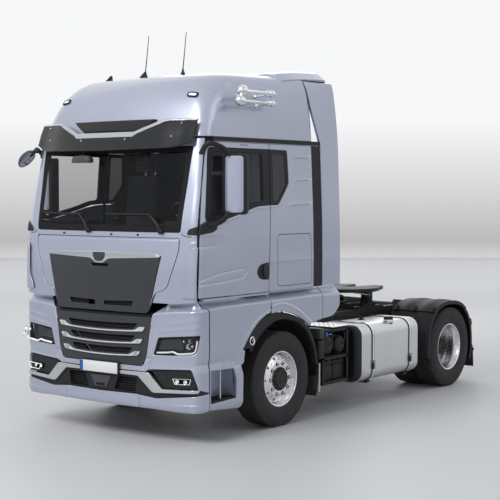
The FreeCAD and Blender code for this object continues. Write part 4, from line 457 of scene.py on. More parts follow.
def roundOff(points, radius, steps=5):
    # a polygon with its corners rounded; radius is a number or one for each corner
    points = [np.array(p, float) for p in points]
    radii = radius if isinstance(radius, (list, tuple)) else [radius] * len(points)
    out = []
    for i, (corner, r) in enumerate(zip(points, radii)):
        before, after = points[i - 1] - corner, points[(i + 1) % len(points)] - corner
        lengths = np.linalg.norm(before), np.linalg.norm(after)
        # a doubled point, as where two halves of an outline meet, stays sharp
        if min(lengths) < 1e-6:
            out.append(corner)
            continue
        before, after = before / lengths[0], after / lengths[1]
        reach = min(r, lengths[0] * 0.45, lengths[1] * 0.45)
        if reach < 1e-5:
            out.append(corner)
            continue
        a, b = corner + before * reach, corner + after * reach
        for k in range(steps + 1):
            t = k / steps
            out.append((1 - t) ** 2 * a + 2 * t * (1 - t) * corner + t * t * b)
    return np.array(out)


def angles(count):
    return [math.tau * i / count for i in range(count)]


def squarish(angle, power):
    # cosine and sine pushed out towards the corners of a square; 1 is a circle
    c, s = math.cos(angle), math.sin(angle)
    return math.copysign(abs(c) ** power, c), math.copysign(abs(s) ** power, s)


def roundRect(x0, x1, z0, z1, radius, steps=7):
    corners = [(x1 - radius, z1 - radius, 0), (x0 + radius, z1 - radius, 90), (x0 + radius, z0 + radius, 180),
               (x1 - radius, z0 + radius, 270)]
    return [(cx + radius * math.cos(math.radians(a + 90 * i / steps)),
             cz + radius * math.sin(math.radians(a + 90 * i / steps)))
            for cx, cz, a in corners for i in range(steps + 1)]


def shrink(loop, distance):
    # loop moved towards its left side
    before = loop - np.roll(loop, 1, axis=0)
    after = np.roll(loop, -1, axis=0) - loop
    before = before / np.maximum(np.linalg.norm(before, axis=1, keepdims=True), 1e-9)
    after = after / np.maximum(np.linalg.norm(after, axis=1, keepdims=True), 1e-9)
    middle = before + after
    length = np.maximum(np.linalg.norm(middle, axis=1, keepdims=True), 0.6)
    normal = np.stack([-middle[:, 1], middle[:, 0]], 1) / length
    return loop + normal * distance * 2.0 / length


def inside(points, loops):
    points = np.asarray(points, float)
    within = np.zeros(len(points), bool)
    for loop in loops:
        a, b = loop, np.roll(loop, -1, axis=0)
        for start in range(0, len(points), 4000):
            px, py = points[start:start + 4000, 0:1], points[start:start + 4000, 1:2]
            crosses = (a[None, :, 1] > py) != (b[None, :, 1] > py)
            with np.errstate(divide="ignore", invalid="ignore"):
                along = (py - a[None, :, 1]) / (b[None, :, 1] - a[None, :, 1])
                at = (b[None, :, 0] - a[None, :, 0]) * along + a[None, :, 0]
            within[start:start + 4000] ^= (np.sum(crosses & (px < at), axis=1) % 2).astype(bool)
    return within


def triangles(loops, extra):
    # triangles inside the first loop and outside the others, through any extra points
    points, edges = [], []
    for loop in loops:
        base = len(points)
        points += [tuple(p) for p in loop]
        edges += [(base + i, base + (i + 1) % len(loop)) for i in range(len(loop))]
    if extra is not None and len(extra):
        points += [tuple(p) for p in extra]
    count = len(points)
    found = delaunay_2d_cdt([Vector(p) for p in points], edges, [], 0, 1e-7)
    flat = np.array([tuple(p) for p in found[0]])
    faces = np.array([f for f in found[2] if len(f) == 3])
    keep = inside(flat[faces].mean(axis=1), loops)
    origin = np.arange(len(flat))
    for i, sources in enumerate(found[3]):
        origin[i] = sources[0] if sources else -1
    faces = faces[keep]
    if len(flat) == count and (origin >= 0).all():
        return np.array(points), origin[faces]
    return flat, faces


def panel(name, surface, loops, body, finish, replaced=(), grid=0.05, lip=0.004, depth=0.02, rows=(), mirrored=False,
          back=False, reach=1e-3):
    # sheet over a surface given by (u, v), cut by an outline and holes, with rolled edges of its own thickness
    loops = [np.asarray(loop, float) for loop in loops]
    loops = [loop if (area(loop) > 0) == (i == 0) else loop[::-1] for i, loop in enumerate(loops)]
    inner = [shrink(loop, lip) for loop in loops]
    low, high = inner[0].min(0), inner[0].max(0)
    stepU, stepV = grid if isinstance(grid, tuple) else (grid, grid)
    us = np.arange(low[0] + stepU / 2, high[0], stepU)
    vs = np.arange(low[1] + stepV / 2, high[1], stepV)
    extra = np.array([(u, v) for u in us for v in vs]).reshape(-1, 2)
    border = np.concatenate(inner)
    rows = [np.asarray(row, float) for row in rows]
    crowd = [border] + rows
    for k, group in enumerate(crowd):
        if len(extra) and len(group):
            gap = np.array([np.min(np.hypot((group[:, 0] - p[0]) / stepU,
                                            (group[:, 1] - p[1]) / stepV)) for p in extra])
            extra = extra[gap > (0.45 if k == 0 else 0.4)]
    if rows:
        lines = np.concatenate(rows)
        gap = np.array([np.min(np.hypot(border[:, 0] - p[0], border[:, 1] - p[1])) for p in lines])
        extra = np.concatenate([extra.reshape(-1, 2), lines[gap > 0.004]])
    if len(extra):
        extra = extra[inside(extra, inner)]
    flat, faces = triangles(inner, extra)
    turns = [(0.0, 0.0), (0.5, 0.13), (0.866, 0.5), (1.0, 1.0)]
    points = surface(flat[:, 0], flat[:, 1])
    normals = normalOf(surface, flat[:, 0], flat[:, 1], reach)
    allPoints, allNormals = [points], [normals]
    allFaces = [tuple(int(i) for i in f) for f in faces]
    base = 0
    count = len(flat)
    for loop, start in zip(loops, inner):
        size = len(loop)
        outerPoints = surface(loop[:, 0], loop[:, 1])
        innerPoints = surface(start[:, 0], start[:, 1])
        innerNormals = normalOf(surface, start[:, 0], start[:, 1], reach)
        away = outerPoints - innerPoints
        away -= innerNormals * np.sum(away * innerNormals, axis=1, keepdims=True)
        unit = away / np.maximum(np.linalg.norm(away, axis=1, keepdims=True), 1e-9)
        previous = np.arange(base, base + size)
        steps = turns[1:] + [(1.0, None)]
        for across, down in steps:
            drop = depth if down is None else lip * down
            ring = innerPoints + away * across - innerNormals * drop
            facing = innerNormals * math.sqrt(max(0.0, 1 - across ** 2)) + unit * across
            allPoints.append(ring)
            allNormals.append(facing)
            current = np.arange(count, count + size)
            count += size
            for i in range(size):
                j = (i + 1) % size
                allFaces.append((int(previous[i]), int(current[i]), int(current[j]), int(previous[j])))
            previous = current
        base += size
    points = np.concatenate(allPoints)
    normals = np.concatenate(allNormals)
    if back:
        rear = surface(flat[:, 0], flat[:, 1]) - normalOf(surface, flat[:, 0], flat[:, 1], reach) * depth
        start = len(points)
        points = np.concatenate([points, rear])
        normals = np.concatenate([normals, -allNormals[0]])
        allFaces += [tuple(int(i) + start for i in f)[::-1] for f in faces]
    if mirrored:
        points = points * (-1, 1, 1)
        normals = normals * (-1, 1, 1)
        allFaces = [f[::-1] for f in allFaces]
    sample = np.array([f[:3] for f in allFaces[:len(faces)]])
    a, b, c = (points[sample[:, i]] for i in range(3))
    if np.sum(np.cross(b - a, c - a) * normals[sample[:, 0]]) < 0:
        allFaces = [f[::-1] for f in allFaces]
    points = points + (0, axleY, 0)
    mesh = bpy.data.meshes.new(name)
    mesh.from_pydata(points.tolist(), [], allFaces)
    mesh.polygons.foreach_set("use_smooth", [True] * len(allFaces))
    normals = normals / np.maximum(np.linalg.norm(normals, axis=1, keepdims=True), 1e-9)
    mesh.normals_split_custom_set_from_vertices(normals.tolist())
    return place(name, mesh, body, [finish], replaced)


def normalOf(surface, u, v, reach=1e-3):
    du = surface(u + reach, v) - surface(u - reach, v)
    dv = surface(u, v + reach) - surface(u, v - reach)
    normal = np.cross(du, dv)
    return normal / np.maximum(np.linalg.norm(normal, axis=1, keepdims=True), 1e-12)


def sides(name, surface, loops, bodies, finish, replaced=(), **options):
    # the same panel on the left and, mirrored, on the right
    for side, mirrored in (("left", False), ("right", True)):
        body = bodies.replace("#", side)
        hidden = tuple(node.replace("#", side) for node in replaced)
        panel(name + side.capitalize(), surface, loops, body, finish, hidden, mirrored=mirrored, **options)


# the cab's outer skin
# level, height, front on the centre line, bow, half width at front and rear, corner radius
skinLevels = np.array([
    (0.30, 0.300, -1.540, 0.105, 1.222, 1.222, 0.105),
    (1.28, 1.280, -1.540, 0.105, 1.222, 1.222, 0.105),
    (1.62, 1.620, -1.540, 0.105, 1.224, 1.224, 0.105),
    (2.075, 2.075, -1.524, 0.105, 1.220, 1.222, 0.105),
    (2.56, 2.560, -1.452, 0.112, 1.196, 1.206, 0.110),
    (3.035, 3.035, -1.368, 0.118, 1.152, 1.186, 0.125),
    (3.26, 3.260, -1.300, 0.120, 1.120, 1.172, 0.170),
    (3.48, 3.480, -1.188, 0.112, 1.070, 1.150, 0.230),
    (3.62, 3.620, -1.040, 0.100, 1.010, 1.124, 0.270),
    (3.694, 3.694, -0.880, 0.080, 0.950, 1.096, 0.290),
    (3.726, 3.726, -0.700, 0.060, 0.880, 1.060, 0.300),
    (3.82, 3.748, -0.430, 0.040, 0.720, 0.900, 0.280),
    (3.96, 3.760, -0.140, 0.020, 0.470, 0.600, 0.230),
    (4.10, 3.765, 0.160, 0.008, 0.220, 0.300, 0.120),
    (4.20, 3.766, 0.380, 0.001, 0.040, 0.060, 0.020),
])
cabRear = 0.600


def slopes(x, y):
    # slopes that keep each column smooth and free of overshoot between its rows
    h, d = np.diff(x), np.diff(y) / np.diff(x)
    m = np.zeros(len(x))
    for i in range(1, len(x) - 1):
        if d[i - 1] * d[i] > 0:
            a, b = 2 * h[i] + h[i - 1], h[i] + 2 * h[i - 1]
            m[i] = (a + b) / (a / d[i - 1] + b / d[i])
    m[0], m[-1] = d[0], d[-1]
    return m


skinSlopes = [slopes(skinLevels[:, 0], skinLevels[:, k]) for k in range(1, 7)]


def levelAt(t):
    x = skinLevels[:, 0]
    t = np.clip(np.asarray(t, float), x[0], x[-1])
    i = np.clip(np.searchsorted(x, t) - 1, 0, len(x) - 2)
    h = x[i + 1] - x[i]
    r = (t - x[i]) / h
    out = []
    for k in range(6):
        y, m = skinLevels[:, k + 1], skinSlopes[k]
        out.append((1 + 2 * r) * (1 - r) ** 2 * y[i] + r * (1 - r) ** 2 * h * m[i]
                   + r * r * (3 - 2 * r) * y[i + 1] + r * r * (r - 1) * h * m[i + 1])
    return out


def corner(t):
    # the arc that leads from the bowed front into the straight side, met smoothly at both ends
    z, front, bow, halfFront, halfRear, radius = levelAt(t)
    turn = halfFront - radius * 0.9
    for _ in range(4):
        angle = np.arctan(2 * bow * turn / halfFront ** 2)
        turn = halfFront - radius + radius * np.sin(angle)
    centreY = front + bow * (turn / halfFront) ** 2 + radius * np.cos(angle)
    return z, front, bow, halfFront, halfRear, radius, turn, angle, centreY


def skin(s, t):
    # point of the skin: s runs from the middle of the front round the corner and back along the side, t is the level
    s, t = np.asarray(s, float), np.asarray(t, float)
    side = np.sign(s)
    r = np.abs(s)
    z, front, bow, halfFront, halfRear, radius, turn, angle, centreY = corner(t)
    bend = radius * (math.pi / 2 - angle)
    phi = angle + np.clip(r - turn, 0, bend) / radius
    back = np.maximum(r - turn - bend, 0)
    taper = (halfRear - halfFront) / (cabRear - centreY)
    onFront = r <= turn
    onCorner = (~onFront) & (r <= turn + bend)
    x = np.where(onFront, r, np.where(onCorner, halfFront - radius + radius * np.sin(phi), halfFront + taper * back))
    y = np.where(onFront, front + bow * (r / halfFront) ** 2,
                 np.where(onCorner, centreY - radius * np.cos(phi), centreY + back))
    return np.stack([x * np.where(side == 0, 1, side), y, z], 1)


def atX(x, t):
    x, t = np.asarray(x, float), np.asarray(t, float)
    z, front, bow, halfFront, halfRear, radius, turn, angle, centreY = corner(t)
    r = np.abs(x)
    phi = np.arcsin(np.clip((r - halfFront + radius) / radius, -1, 1))
    return np.sign(x) * np.where(r <= turn, r, turn + radius * (np.maximum(phi, angle) - angle))


def atY(y, t):
    y, t = np.asarray(y, float), np.asarray(t, float)
    z, front, bow, halfFront, halfRear, radius, turn, angle, centreY = corner(t)
    phi = np.arccos(np.clip((centreY - y) / radius, -1, 1))
    onArc = turn + radius * (np.maximum(phi, angle) - angle)
    return np.where(y < centreY, onArc, turn + radius * (math.pi / 2 - angle) + (y - centreY))


def sideLoop(points, step=0.03, radius=0.0):
    # outline given as (y, z) in side view, turned into skin coordinates
    points = dense(roundOff(points, radius) if np.any(np.array(radius)) else points, step)
    return np.stack([atY(points[:, 0], points[:, 1]), points[:, 1]], 1)


def frontLoop(points, step=0.03, radius=0.0):
    points = dense(roundOff(points, radius) if np.any(np.array(radius)) else points, step)
    return np.stack([atX(points[:, 0], points[:, 1]), points[:, 1]], 1)


class Relief:
    # raised or sunk lines on the skin: each follows a path in skin coordinates with its own width, height and fade
    def __init__(self, base, lift=0.0):
        self.base, self.lift, self.lines = base, lift, []

    def line(self, path, width, height, step=False, fade=(0.06, 0.06), toRows=True):
        path = np.asarray(path, float)
        self.lines.append((path, width, height, step, fade, toRows))
        return self

    def amount(self, s, t):
        total = np.full(len(s), float(self.lift))
        for path, width, height, step, fade, _ in self.lines:
            lengths = np.concatenate([[0], np.cumsum(np.hypot(*np.diff(path, axis=0).T))])
            best = np.full(len(s), 1e9)
            signed = np.zeros(len(s))
            along = np.zeros(len(s))
            for k, (a, b) in enumerate(zip(path, path[1:])):
                d = b - a
                size = np.hypot(*d)
                u = np.clip(((s - a[0]) * d[0] + (t - a[1]) * d[1]) / size ** 2, 0, 1)
                off = np.hypot(s - a[0] - d[0] * u, t - a[1] - d[1] * u)
                turn = (d[0] * (t - a[1]) - d[1] * (s - a[0])) / size
                near = off < best
                best = np.where(near, off, best)
                signed = np.where(near, np.sign(turn) * off, signed)
                along = np.where(near, lengths[k] + u * size, along)
            r = np.clip(best / width, 0, 1)
            ends = np.clip(along / max(fade[0], 1e-6), 0, 1) * np.clip((lengths[-1] - along) / max(fade[1], 1e-6), 0, 1)
            ends = ends * ends * (3 - 2 * ends)
            if step:
                # a small shelf: full height on the path's left, dying away over a wide band
                q = np.clip(signed / width * 0.5 + 0.5, 0, 1)
                rise = q * q * (3 - 2 * q) * np.exp(-np.maximum(signed, 0) / step)
                total += height * rise * ends
            else:
                total += height * (1 - r * r) ** 2 * ends
        return total

    def __call__(self, s, t):
        s, t = np.asarray(s, float), np.asarray(t, float)
        points = self.base(s, t)
        normals = normalOf(self.base, s, t)
        return points + normals * self.amount(s, t)[:, None]

    def rows(self):
        rows = []
        for path, width, height, step, fade, toRows in self.lines:
            if not toRows:
                continue
            fine = dense(path, max(width, 0.012), False)
            before = np.gradient(fine, axis=0)
            normal = np.stack([-before[:, 1], before[:, 0]], 1)
            normal /= np.maximum(np.linalg.norm(normal, axis=1, keepdims=True), 1e-9)
            for offset in ((-1, -0.5, 0, 0.5, 1) if not step else (-1, -0.4, 0, 0.4, 1)):
                rows.append(fine + normal * offset * width)
        return rows


def side(y, z):
    return (float(atY(y, z)), z)


def doorPanels():
    # painted outer skin of each door, open for the window at its rear edge as well, where the frame runs on
    outline = [(-1.411, 1.459), (-1.383, 2.200), (-1.217, 2.996), (-0.227, 2.996), (-0.2305, 2.940), (-1.198, 2.940),
               (-1.228, 2.850), (-1.315, 2.250), (-1.296, 2.205), (-1.138, 2.191), (-0.679, 2.292), (-0.474, 2.350),
               (-0.2570, 2.358), (-0.294, 1.459)]
    radius = [0.02, 0.3, 0.035, 0.01, 0.004, 0.03, 0.05, 0.06, 0.04, 0.06, 0.12, 0.12, 0.004, 0.02]
    loop = sideLoop(outline, 0.028, radius)
    shape = Relief(skin)
    shape.line([side(-1.43, 2.060), side(-0.95, 2.066)], 0.016, 0.0035, step=0.10, fade=(0.0, 0.22))
    shape.line([side(-1.43, 1.957), side(-1.10, 1.966)], 0.014, -0.0040, fade=(0.0, 0.16))
    # long blister low on the door, with its crease underneath and its slanted end
    shape.line([side(-1.43, 1.611), side(-1.36, 1.640), side(-1.10, 1.688), side(-0.80, 1.716), side(-0.662, 1.720)],
               0.016, -0.0055, fade=(0.0, 0.05))
    shape.line([side(-1.43, 1.585), side(-1.10, 1.602), side(-0.72, 1.634), side(-0.627, 1.716)],
               0.018, -0.0065, fade=(0.0, 0.04))
    # the sheet under the window rolls outwards to a light edge
    shape.line([side(-1.138, 2.171), side(-0.679, 2.272), side(-0.474, 2.331), side(-0.262, 2.338)],
               0.018, 0.0045, fade=(0.02, 0.0))
    sides("doorSkin", shape, [loop], "door_#", "paint", ("door_#",), grid=(0.06, 0.06), rows=shape.rows(), depth=0.03)

    # lining, seen when a door stands open
    inner = Relief(skin, -0.085)
    lining = sideLoop([(-1.330, 1.500), (-1.305, 2.170), (-0.330, 2.170), (-0.350, 1.500)], 0.05, 0.05)
    inner.line([side(-1.20, 1.86), side(-0.50, 1.86)], 0.07, -0.030, fade=(0.08, 0.08))
    inner.line([side(-1.15, 1.60), side(-0.55, 1.60)], 0.06, -0.022, fade=(0.08, 0.08))
    sides("doorLining", inner, [lining], "door_#", "cabin", grid=0.05, rows=inner.rows(), depth=-0.05)

    # edge of the door between skin and lining, in one folded strip
    edge = sideLoop([(-1.395, 1.466), (-1.369, 2.200), (-1.206, 2.982), (-0.240, 2.982), (-0.300, 1.466)], 0.05, 0.03)
    middle = shrink(edge if area(edge) > 0 else edge[::-1], 0.05)
    first = edge if area(edge) > 0 else edge[::-1]
    rows = []
    for loop, lift in ((first, -0.012), (first, -0.060), (middle, -0.085)):
        points = skin(loop[:, 0], loop[:, 1])
        rows.append(points + normalOf(skin, loop[:, 0], loop[:, 1]) * lift)
    points, faces = loft(rows, True, False)
    for name, mirrored in (("Left", False), ("Right", True)):
        fold = Solid("doorFold" + name, "door_" + name.lower())
        fold.add(points, faces, "plastic", mirrored)
        fold.make()


def windowFrames():
    # black frames round the side glass: one on the door, one behind the seam, each with its pane
    door = [(-1.196, 2.938), (-0.2315, 2.938), (-0.2560, 2.360), (-0.474, 2.352), (-0.679, 2.294), (-1.138, 2.193),
            (-1.294, 2.207), (-1.313, 2.252), (-1.226, 2.850)]
    radius = [0.03, 0.004, 0.004, 0.12, 0.12, 0.06, 0.04, 0.06, 0.05]
    glass = [(-1.155, 2.895), (-0.345, 2.895), (-0.362, 2.405), (-0.490, 2.398), (-0.700, 2.338), (-1.150, 2.240),
             (-1.215, 2.262)]
    frameSkin = Relief(skin, -0.004)
    hole = sideLoop(glass, 0.03, [0.03, 0.03, 0.04, 0.12, 0.12, 0.04, 0.04])
    sides("doorWindowFrame", frameSkin, [sideLoop(door, 0.03, radius), hole], "door_#", "plastic", (), grid=0.06,
          lip=0.003, depth=0.024)
    paneSkin = Relief(skin, -0.010)
    pane = sideLoop([(-1.162, 2.903), (-0.337, 2.903), (-0.354, 2.397), (-0.492, 2.390), (-0.702, 2.330),
                     (-1.152, 2.232), (-1.223, 2.256)], 0.04, 0.03)
    sides("doorGlass", paneSkin, [pane], "door_#", "glass", ("door_glass_#",), grid=0.1, lip=0.001, depth=0.005)
    rear = [(-0.2225, 2.938), (0.072, 2.934), (0.078, 2.900), (0.086, 2.600), (0.078, 2.572), (-0.088, 2.380),
            (-0.122, 2.362), (-0.2470, 2.360)]
    opening = [(-0.172, 2.895), (0.036, 2.892), (0.048, 2.582), (-0.102, 2.405), (-0.186, 2.405)]
    sides("sideWindowFrame", frameSkin, [sideLoop(rear, 0.03, [0.004, 0.03, 0.03, 0.02, 0.02, 0.03, 0.02, 0.004]),
                                         sideLoop(opening, 0.03, 0.03)], "cab", "plastic", (), grid=0.06, lip=0.003,
          depth=0.024)
    sides("sideGlass", paneSkin, [sideLoop([(-0.180, 2.903), (0.044, 2.900), (0.057, 2.578), (-0.098, 2.397),
                                            (-0.194, 2.397)], 0.04, 0.03)], "cab", "roofGlass", (), grid=0.1,
          lip=0.001, depth=0.005)


def sidePanels():
    # painted side behind the door, open for the window and the locker, with its three ribs
    outline = [(-0.219, 2.996), (-0.2220, 2.940), (0.074, 2.936), (0.082, 2.900), (0.090, 2.600), (0.082, 2.570),
               (-0.085, 2.378), (-0.122, 2.360), (-0.2470, 2.358), (-0.286, 1.459), (0.522, 1.459), (0.520, 2.996)]
    radius = [0.01, 0.004, 0.03, 0.03, 0.02, 0.02, 0.03, 0.02, 0.004, 0.02, 0.01, 0.01]
    locker = [(-0.138, 1.503), (0.496, 1.503), (0.470, 2.052), (-0.138, 2.052)]
    shape = Relief(skin)
    ribs = (((0.150, 2.838), (0.200, 2.868), (0.46, 2.874)), ((0.190, 2.596), (0.240, 2.626), (0.47, 2.632)),
            ((0.030, 2.330), (0.100, 2.362), (0.48, 2.378)))
    for rib in ribs:
        path = [side(y, z) for y, z in rib]
        shape.line(path, 0.017, 0.009, fade=(0.10, 0.0))
    shape.line([side(-0.30, 1.762), side(0.56, 1.760)], 0.014, 0.0042, step=0.05, fade=(0.0, 0.0))
    shape.line([side(-0.262, 2.341), side(-0.120, 2.343), side(-0.070, 2.366)], 0.016, 0.0035, fade=(0.0, 0.05))
    lockerHole = sideLoop(locker, 0.03, 0.055)
    sides("sidePanel", shape, [sideLoop(outline, 0.028, radius), lockerHole], "cab", "paint", ("cab_side_#",),
          grid=(0.06, 0.06), rows=shape.rows(), depth=0.03)
    lid = [(-0.132, 1.508), (0.490, 1.508), (0.464, 2.047), (-0.132, 2.047)]
    sides("lockerSkin", shape, [sideLoop(lid, 0.03, 0.05)], "locker_lid_#", "paint", ("locker_lid_#",),
          grid=(0.06, 0.06), rows=shape.rows()[15:], depth=0.026)
    # black strip between the cab's side and the deflector
    strip = Relief(skin, -0.006)
    sides("sideStrip", strip, [sideLoop([(0.526, 2.999), (0.686, 2.999), (0.688, 1.462), (0.526, 1.462)], 0.05, 0.004)],
          "cab", "plastic", (), grid=0.08, lip=0.003, depth=0.02)
    gutter = Relief(skin, 0.006)
    band = [(-1.125, 3.044), (-1.120, 3.001), (0.458, 3.001), (0.686, 3.001), (0.686, 3.046), (0.458, 3.046)]
    sides("gutterStrip", gutter, [sideLoop(band, 0.04, 0.003)], "cab", "plastic", (), grid=0.06, lip=0.004, depth=0.012)
    sides("gutterRail", Relief(skin, 0.010),
          [sideLoop([(-1.118, 3.0005), (-1.118, 2.9975), (0.60, 2.9975), (0.60, 3.0005)], 0.06, 0.001)], "cab",
          "silver", (), grid=0.08, lip=0.001, depth=0.01)


def cabFront():
    # painted front of the cab with its screen opening, the flap's recess and the flanks up to the doors
    half = [(1.005, 2.046), (1.005, 1.921), (0.866, 1.541), (0.735, 1.497), (0.692, 1.398), (0.95, 1.396)]
    left = [(float(atX(x, z)), z) for x, z in half]
    left += [side(-1.4170, 1.416), side(-1.3890, 2.200), side(-1.2170, 3.026)]
    outline = np.array(left + [(-s, t) for s, t in reversed(left)])
    outline = dense(roundOff(outline, [0.03, 0.08, 0.06, 0.02, 0.01, 0.0, 0.02, 0.3, 0.01, 0.01, 0.3, 0.02, 0.0, 0.01,
                                       0.02, 0.06, 0.08, 0.03]), 0.03)
    screen = frontLoop([(-1.012, 2.096), (-1.048, 2.955), (1.048, 2.955), (1.012, 2.096)], 0.035, 0.03)
    shape = Relief(skin)
    for sign in (1, -1):
        # rounded crease that frames the flank beside the flap, and the two lines that run on into the door
        path = [(1.224 * sign, 2.012), (1.135 * sign, 2.000), (1.085 * sign, 1.955), (1.040 * sign, 1.74),
                (1.010 * sign, 1.615), (0.900 * sign, 1.530)]
        flank = dense(roundOff([(float(atX(x, z)), z) for x, z in path], [0, 0.05, 0.06, 0.1, 0.08, 0]), 0.05,
                      False)[:-1]
        shape.line(flank, 0.013, 0.0040, step=0.045, fade=(0.06, 0.12))
        shape.line([(sign * s, t) for s, t in (side(-1.47, 2.058), side(-1.40, 2.060))], 0.016, 0.0035,
                   fade=(0.05, 0.0))
        shape.line([(sign * s, t) for s, t in (side(-1.47, 1.600), side(-1.40, 1.612))], 0.016, -0.004,
                   fade=(0.05, 0.0))
    panel("cabFrontSkin", shape, [outline, screen], "cab", "paint", ("cab_front",), grid=(0.06, 0.06),
          rows=shape.rows(), depth=0.03)
    rim = Relief(skin, -0.006)
    pane = frontLoop([(-1.006, 2.102), (-1.042, 2.949), (1.042, 2.949), (1.006, 2.102)], 0.04, 0.028)
    clear = frontLoop([(-0.955, 2.165), (-0.985, 2.895), (0.985, 2.895), (0.955, 2.165)], 0.04, 0.04)
    panel("windscreenBorder", rim, [pane, clear], "cab", "shadow", (), grid=0.1, lip=0.002, depth=0.010)
    panel("windscreen", Relief(skin, -0.0075),
          [frontLoop([(-0.965, 2.155), (-0.995, 2.905), (0.995, 2.905), (0.965, 2.155)],
          0.05, 0.06)], "cab", "screenGlass", ("cab_glass",), grid=0.09, lip=0.001, depth=0.006)


def roofPanels():
    # high roof with its dome, and the smoked pane above the screen
    outer = []
    for t in np.arange(3.046, 4.19, 0.03):
        outer.append((float(atY(0.520 - 0.03 * (t - 3.0), t)), t))
    top = outer[-1]
    outline = [(-s, t) for s, t in outer][::-1]
    bottom = [(float(atY(0.530, 3.046)), 3.046)]
    across = np.linspace(-bottom[0][0], bottom[0][0], 120)[1:-1]
    loop = np.array(outline + [(s, 3.046) for s in across] + outer + [(s, top[1]) for s in np.linspace(top[0], -top[0],
            5)[1:-1]])
    pane = frontLoop([(-0.585, 3.222), (0.585, 3.222), (0.405, 3.104), (-0.405, 3.104)], 0.03, [0.03, 0.03, 0.06, 0.06])
    shape = Relief(skin)
    for sign in (1, -1):
        # long soft edge that runs back from the corner of the roof, as the panel's shoulder
        path = [(sign * s, t) for s, t in (side(-1.02, 3.18), side(-0.90, 3.42), side(-0.30, 3.50), side(0.50, 3.512))]
        shape.line(path, 0.03, 0.004, step=0.14, fade=(0.25, 0.0))
    panel("roofSkin", shape, [loop, pane], "cab", "paint", ("cab_roof",), grid=(0.07, 0.05), rows=shape.rows(),
          lip=0.005, depth=0.02)
    glass = frontLoop([(-0.580, 3.218), (0.580, 3.218), (0.402, 3.108), (-0.402, 3.108)], 0.03,
                      [0.03, 0.03, 0.06, 0.06])
    panel("roofPane", Relief(skin, 0.034), [glass], "cab", "roofGlass", (), grid=0.06, lip=0.010, depth=0.04)


doorPanels()
windowFrames()
sidePanels()
cabFront()
roofPanels()
print("cab skin made")


# bumper, lamps, grille and flap
def smooth(x):
    x = np.clip(x, 0.0, 1.0)
    return x * x * (3 - 2 * x)


lowerValues = {"ledge": [(0.0, 1.262), (0.60, 1.262), (0.693, 1.288), (0.915, 1.310), (1.20, 1.326), (1.344, 1.333),
                         (1.60, 1.345), (3.2, 1.362)],
               "ledgeDepth": 0.072, "chinTuck": 0.030}


def lowSkin(s, t):
    # the lower front: upright, with a ledge that rolls in under the cab and a chin that tucks under
    s, t = np.asarray(s, float), np.asarray(t, float)
    points = skin(s, t)
    normals = normalOf(skin, s, t)
    ledge = np.interp(np.abs(s), *np.array(lowerValues["ledge"]).T)
    over = t - ledge
    inward = lowerValues["ledgeDepth"] * np.clip(np.where(over > 0.008, over,
                                                          (over + 0.008) ** 2 / 0.032 * (over > -0.008)) / 0.070, 0, 1)
    inward = inward + lowerValues["chinTuck"] * smooth((0.40 - t) / 0.10) ** 2
    # a soft waist under the lamps, where the panel turns under to the fog lamps
    reach = smooth((np.abs(s) - 0.60) / 0.1) * smooth((2.0 - np.abs(s)) / 0.4)
    inward = inward + 0.012 * np.exp(-((t - 0.800) / 0.045) ** 2) * reach
    return points - normals * inward[:, None]


def bothHalves(half):
    # outline given on the left half from the bottom up, closed by its mirror image
    return np.array(list(half) + [(-a, b) for a, b in list(half)[::-1]])


def rounded(points, radius, step=0.03):
    return dense(roundOff(points, radius), step)


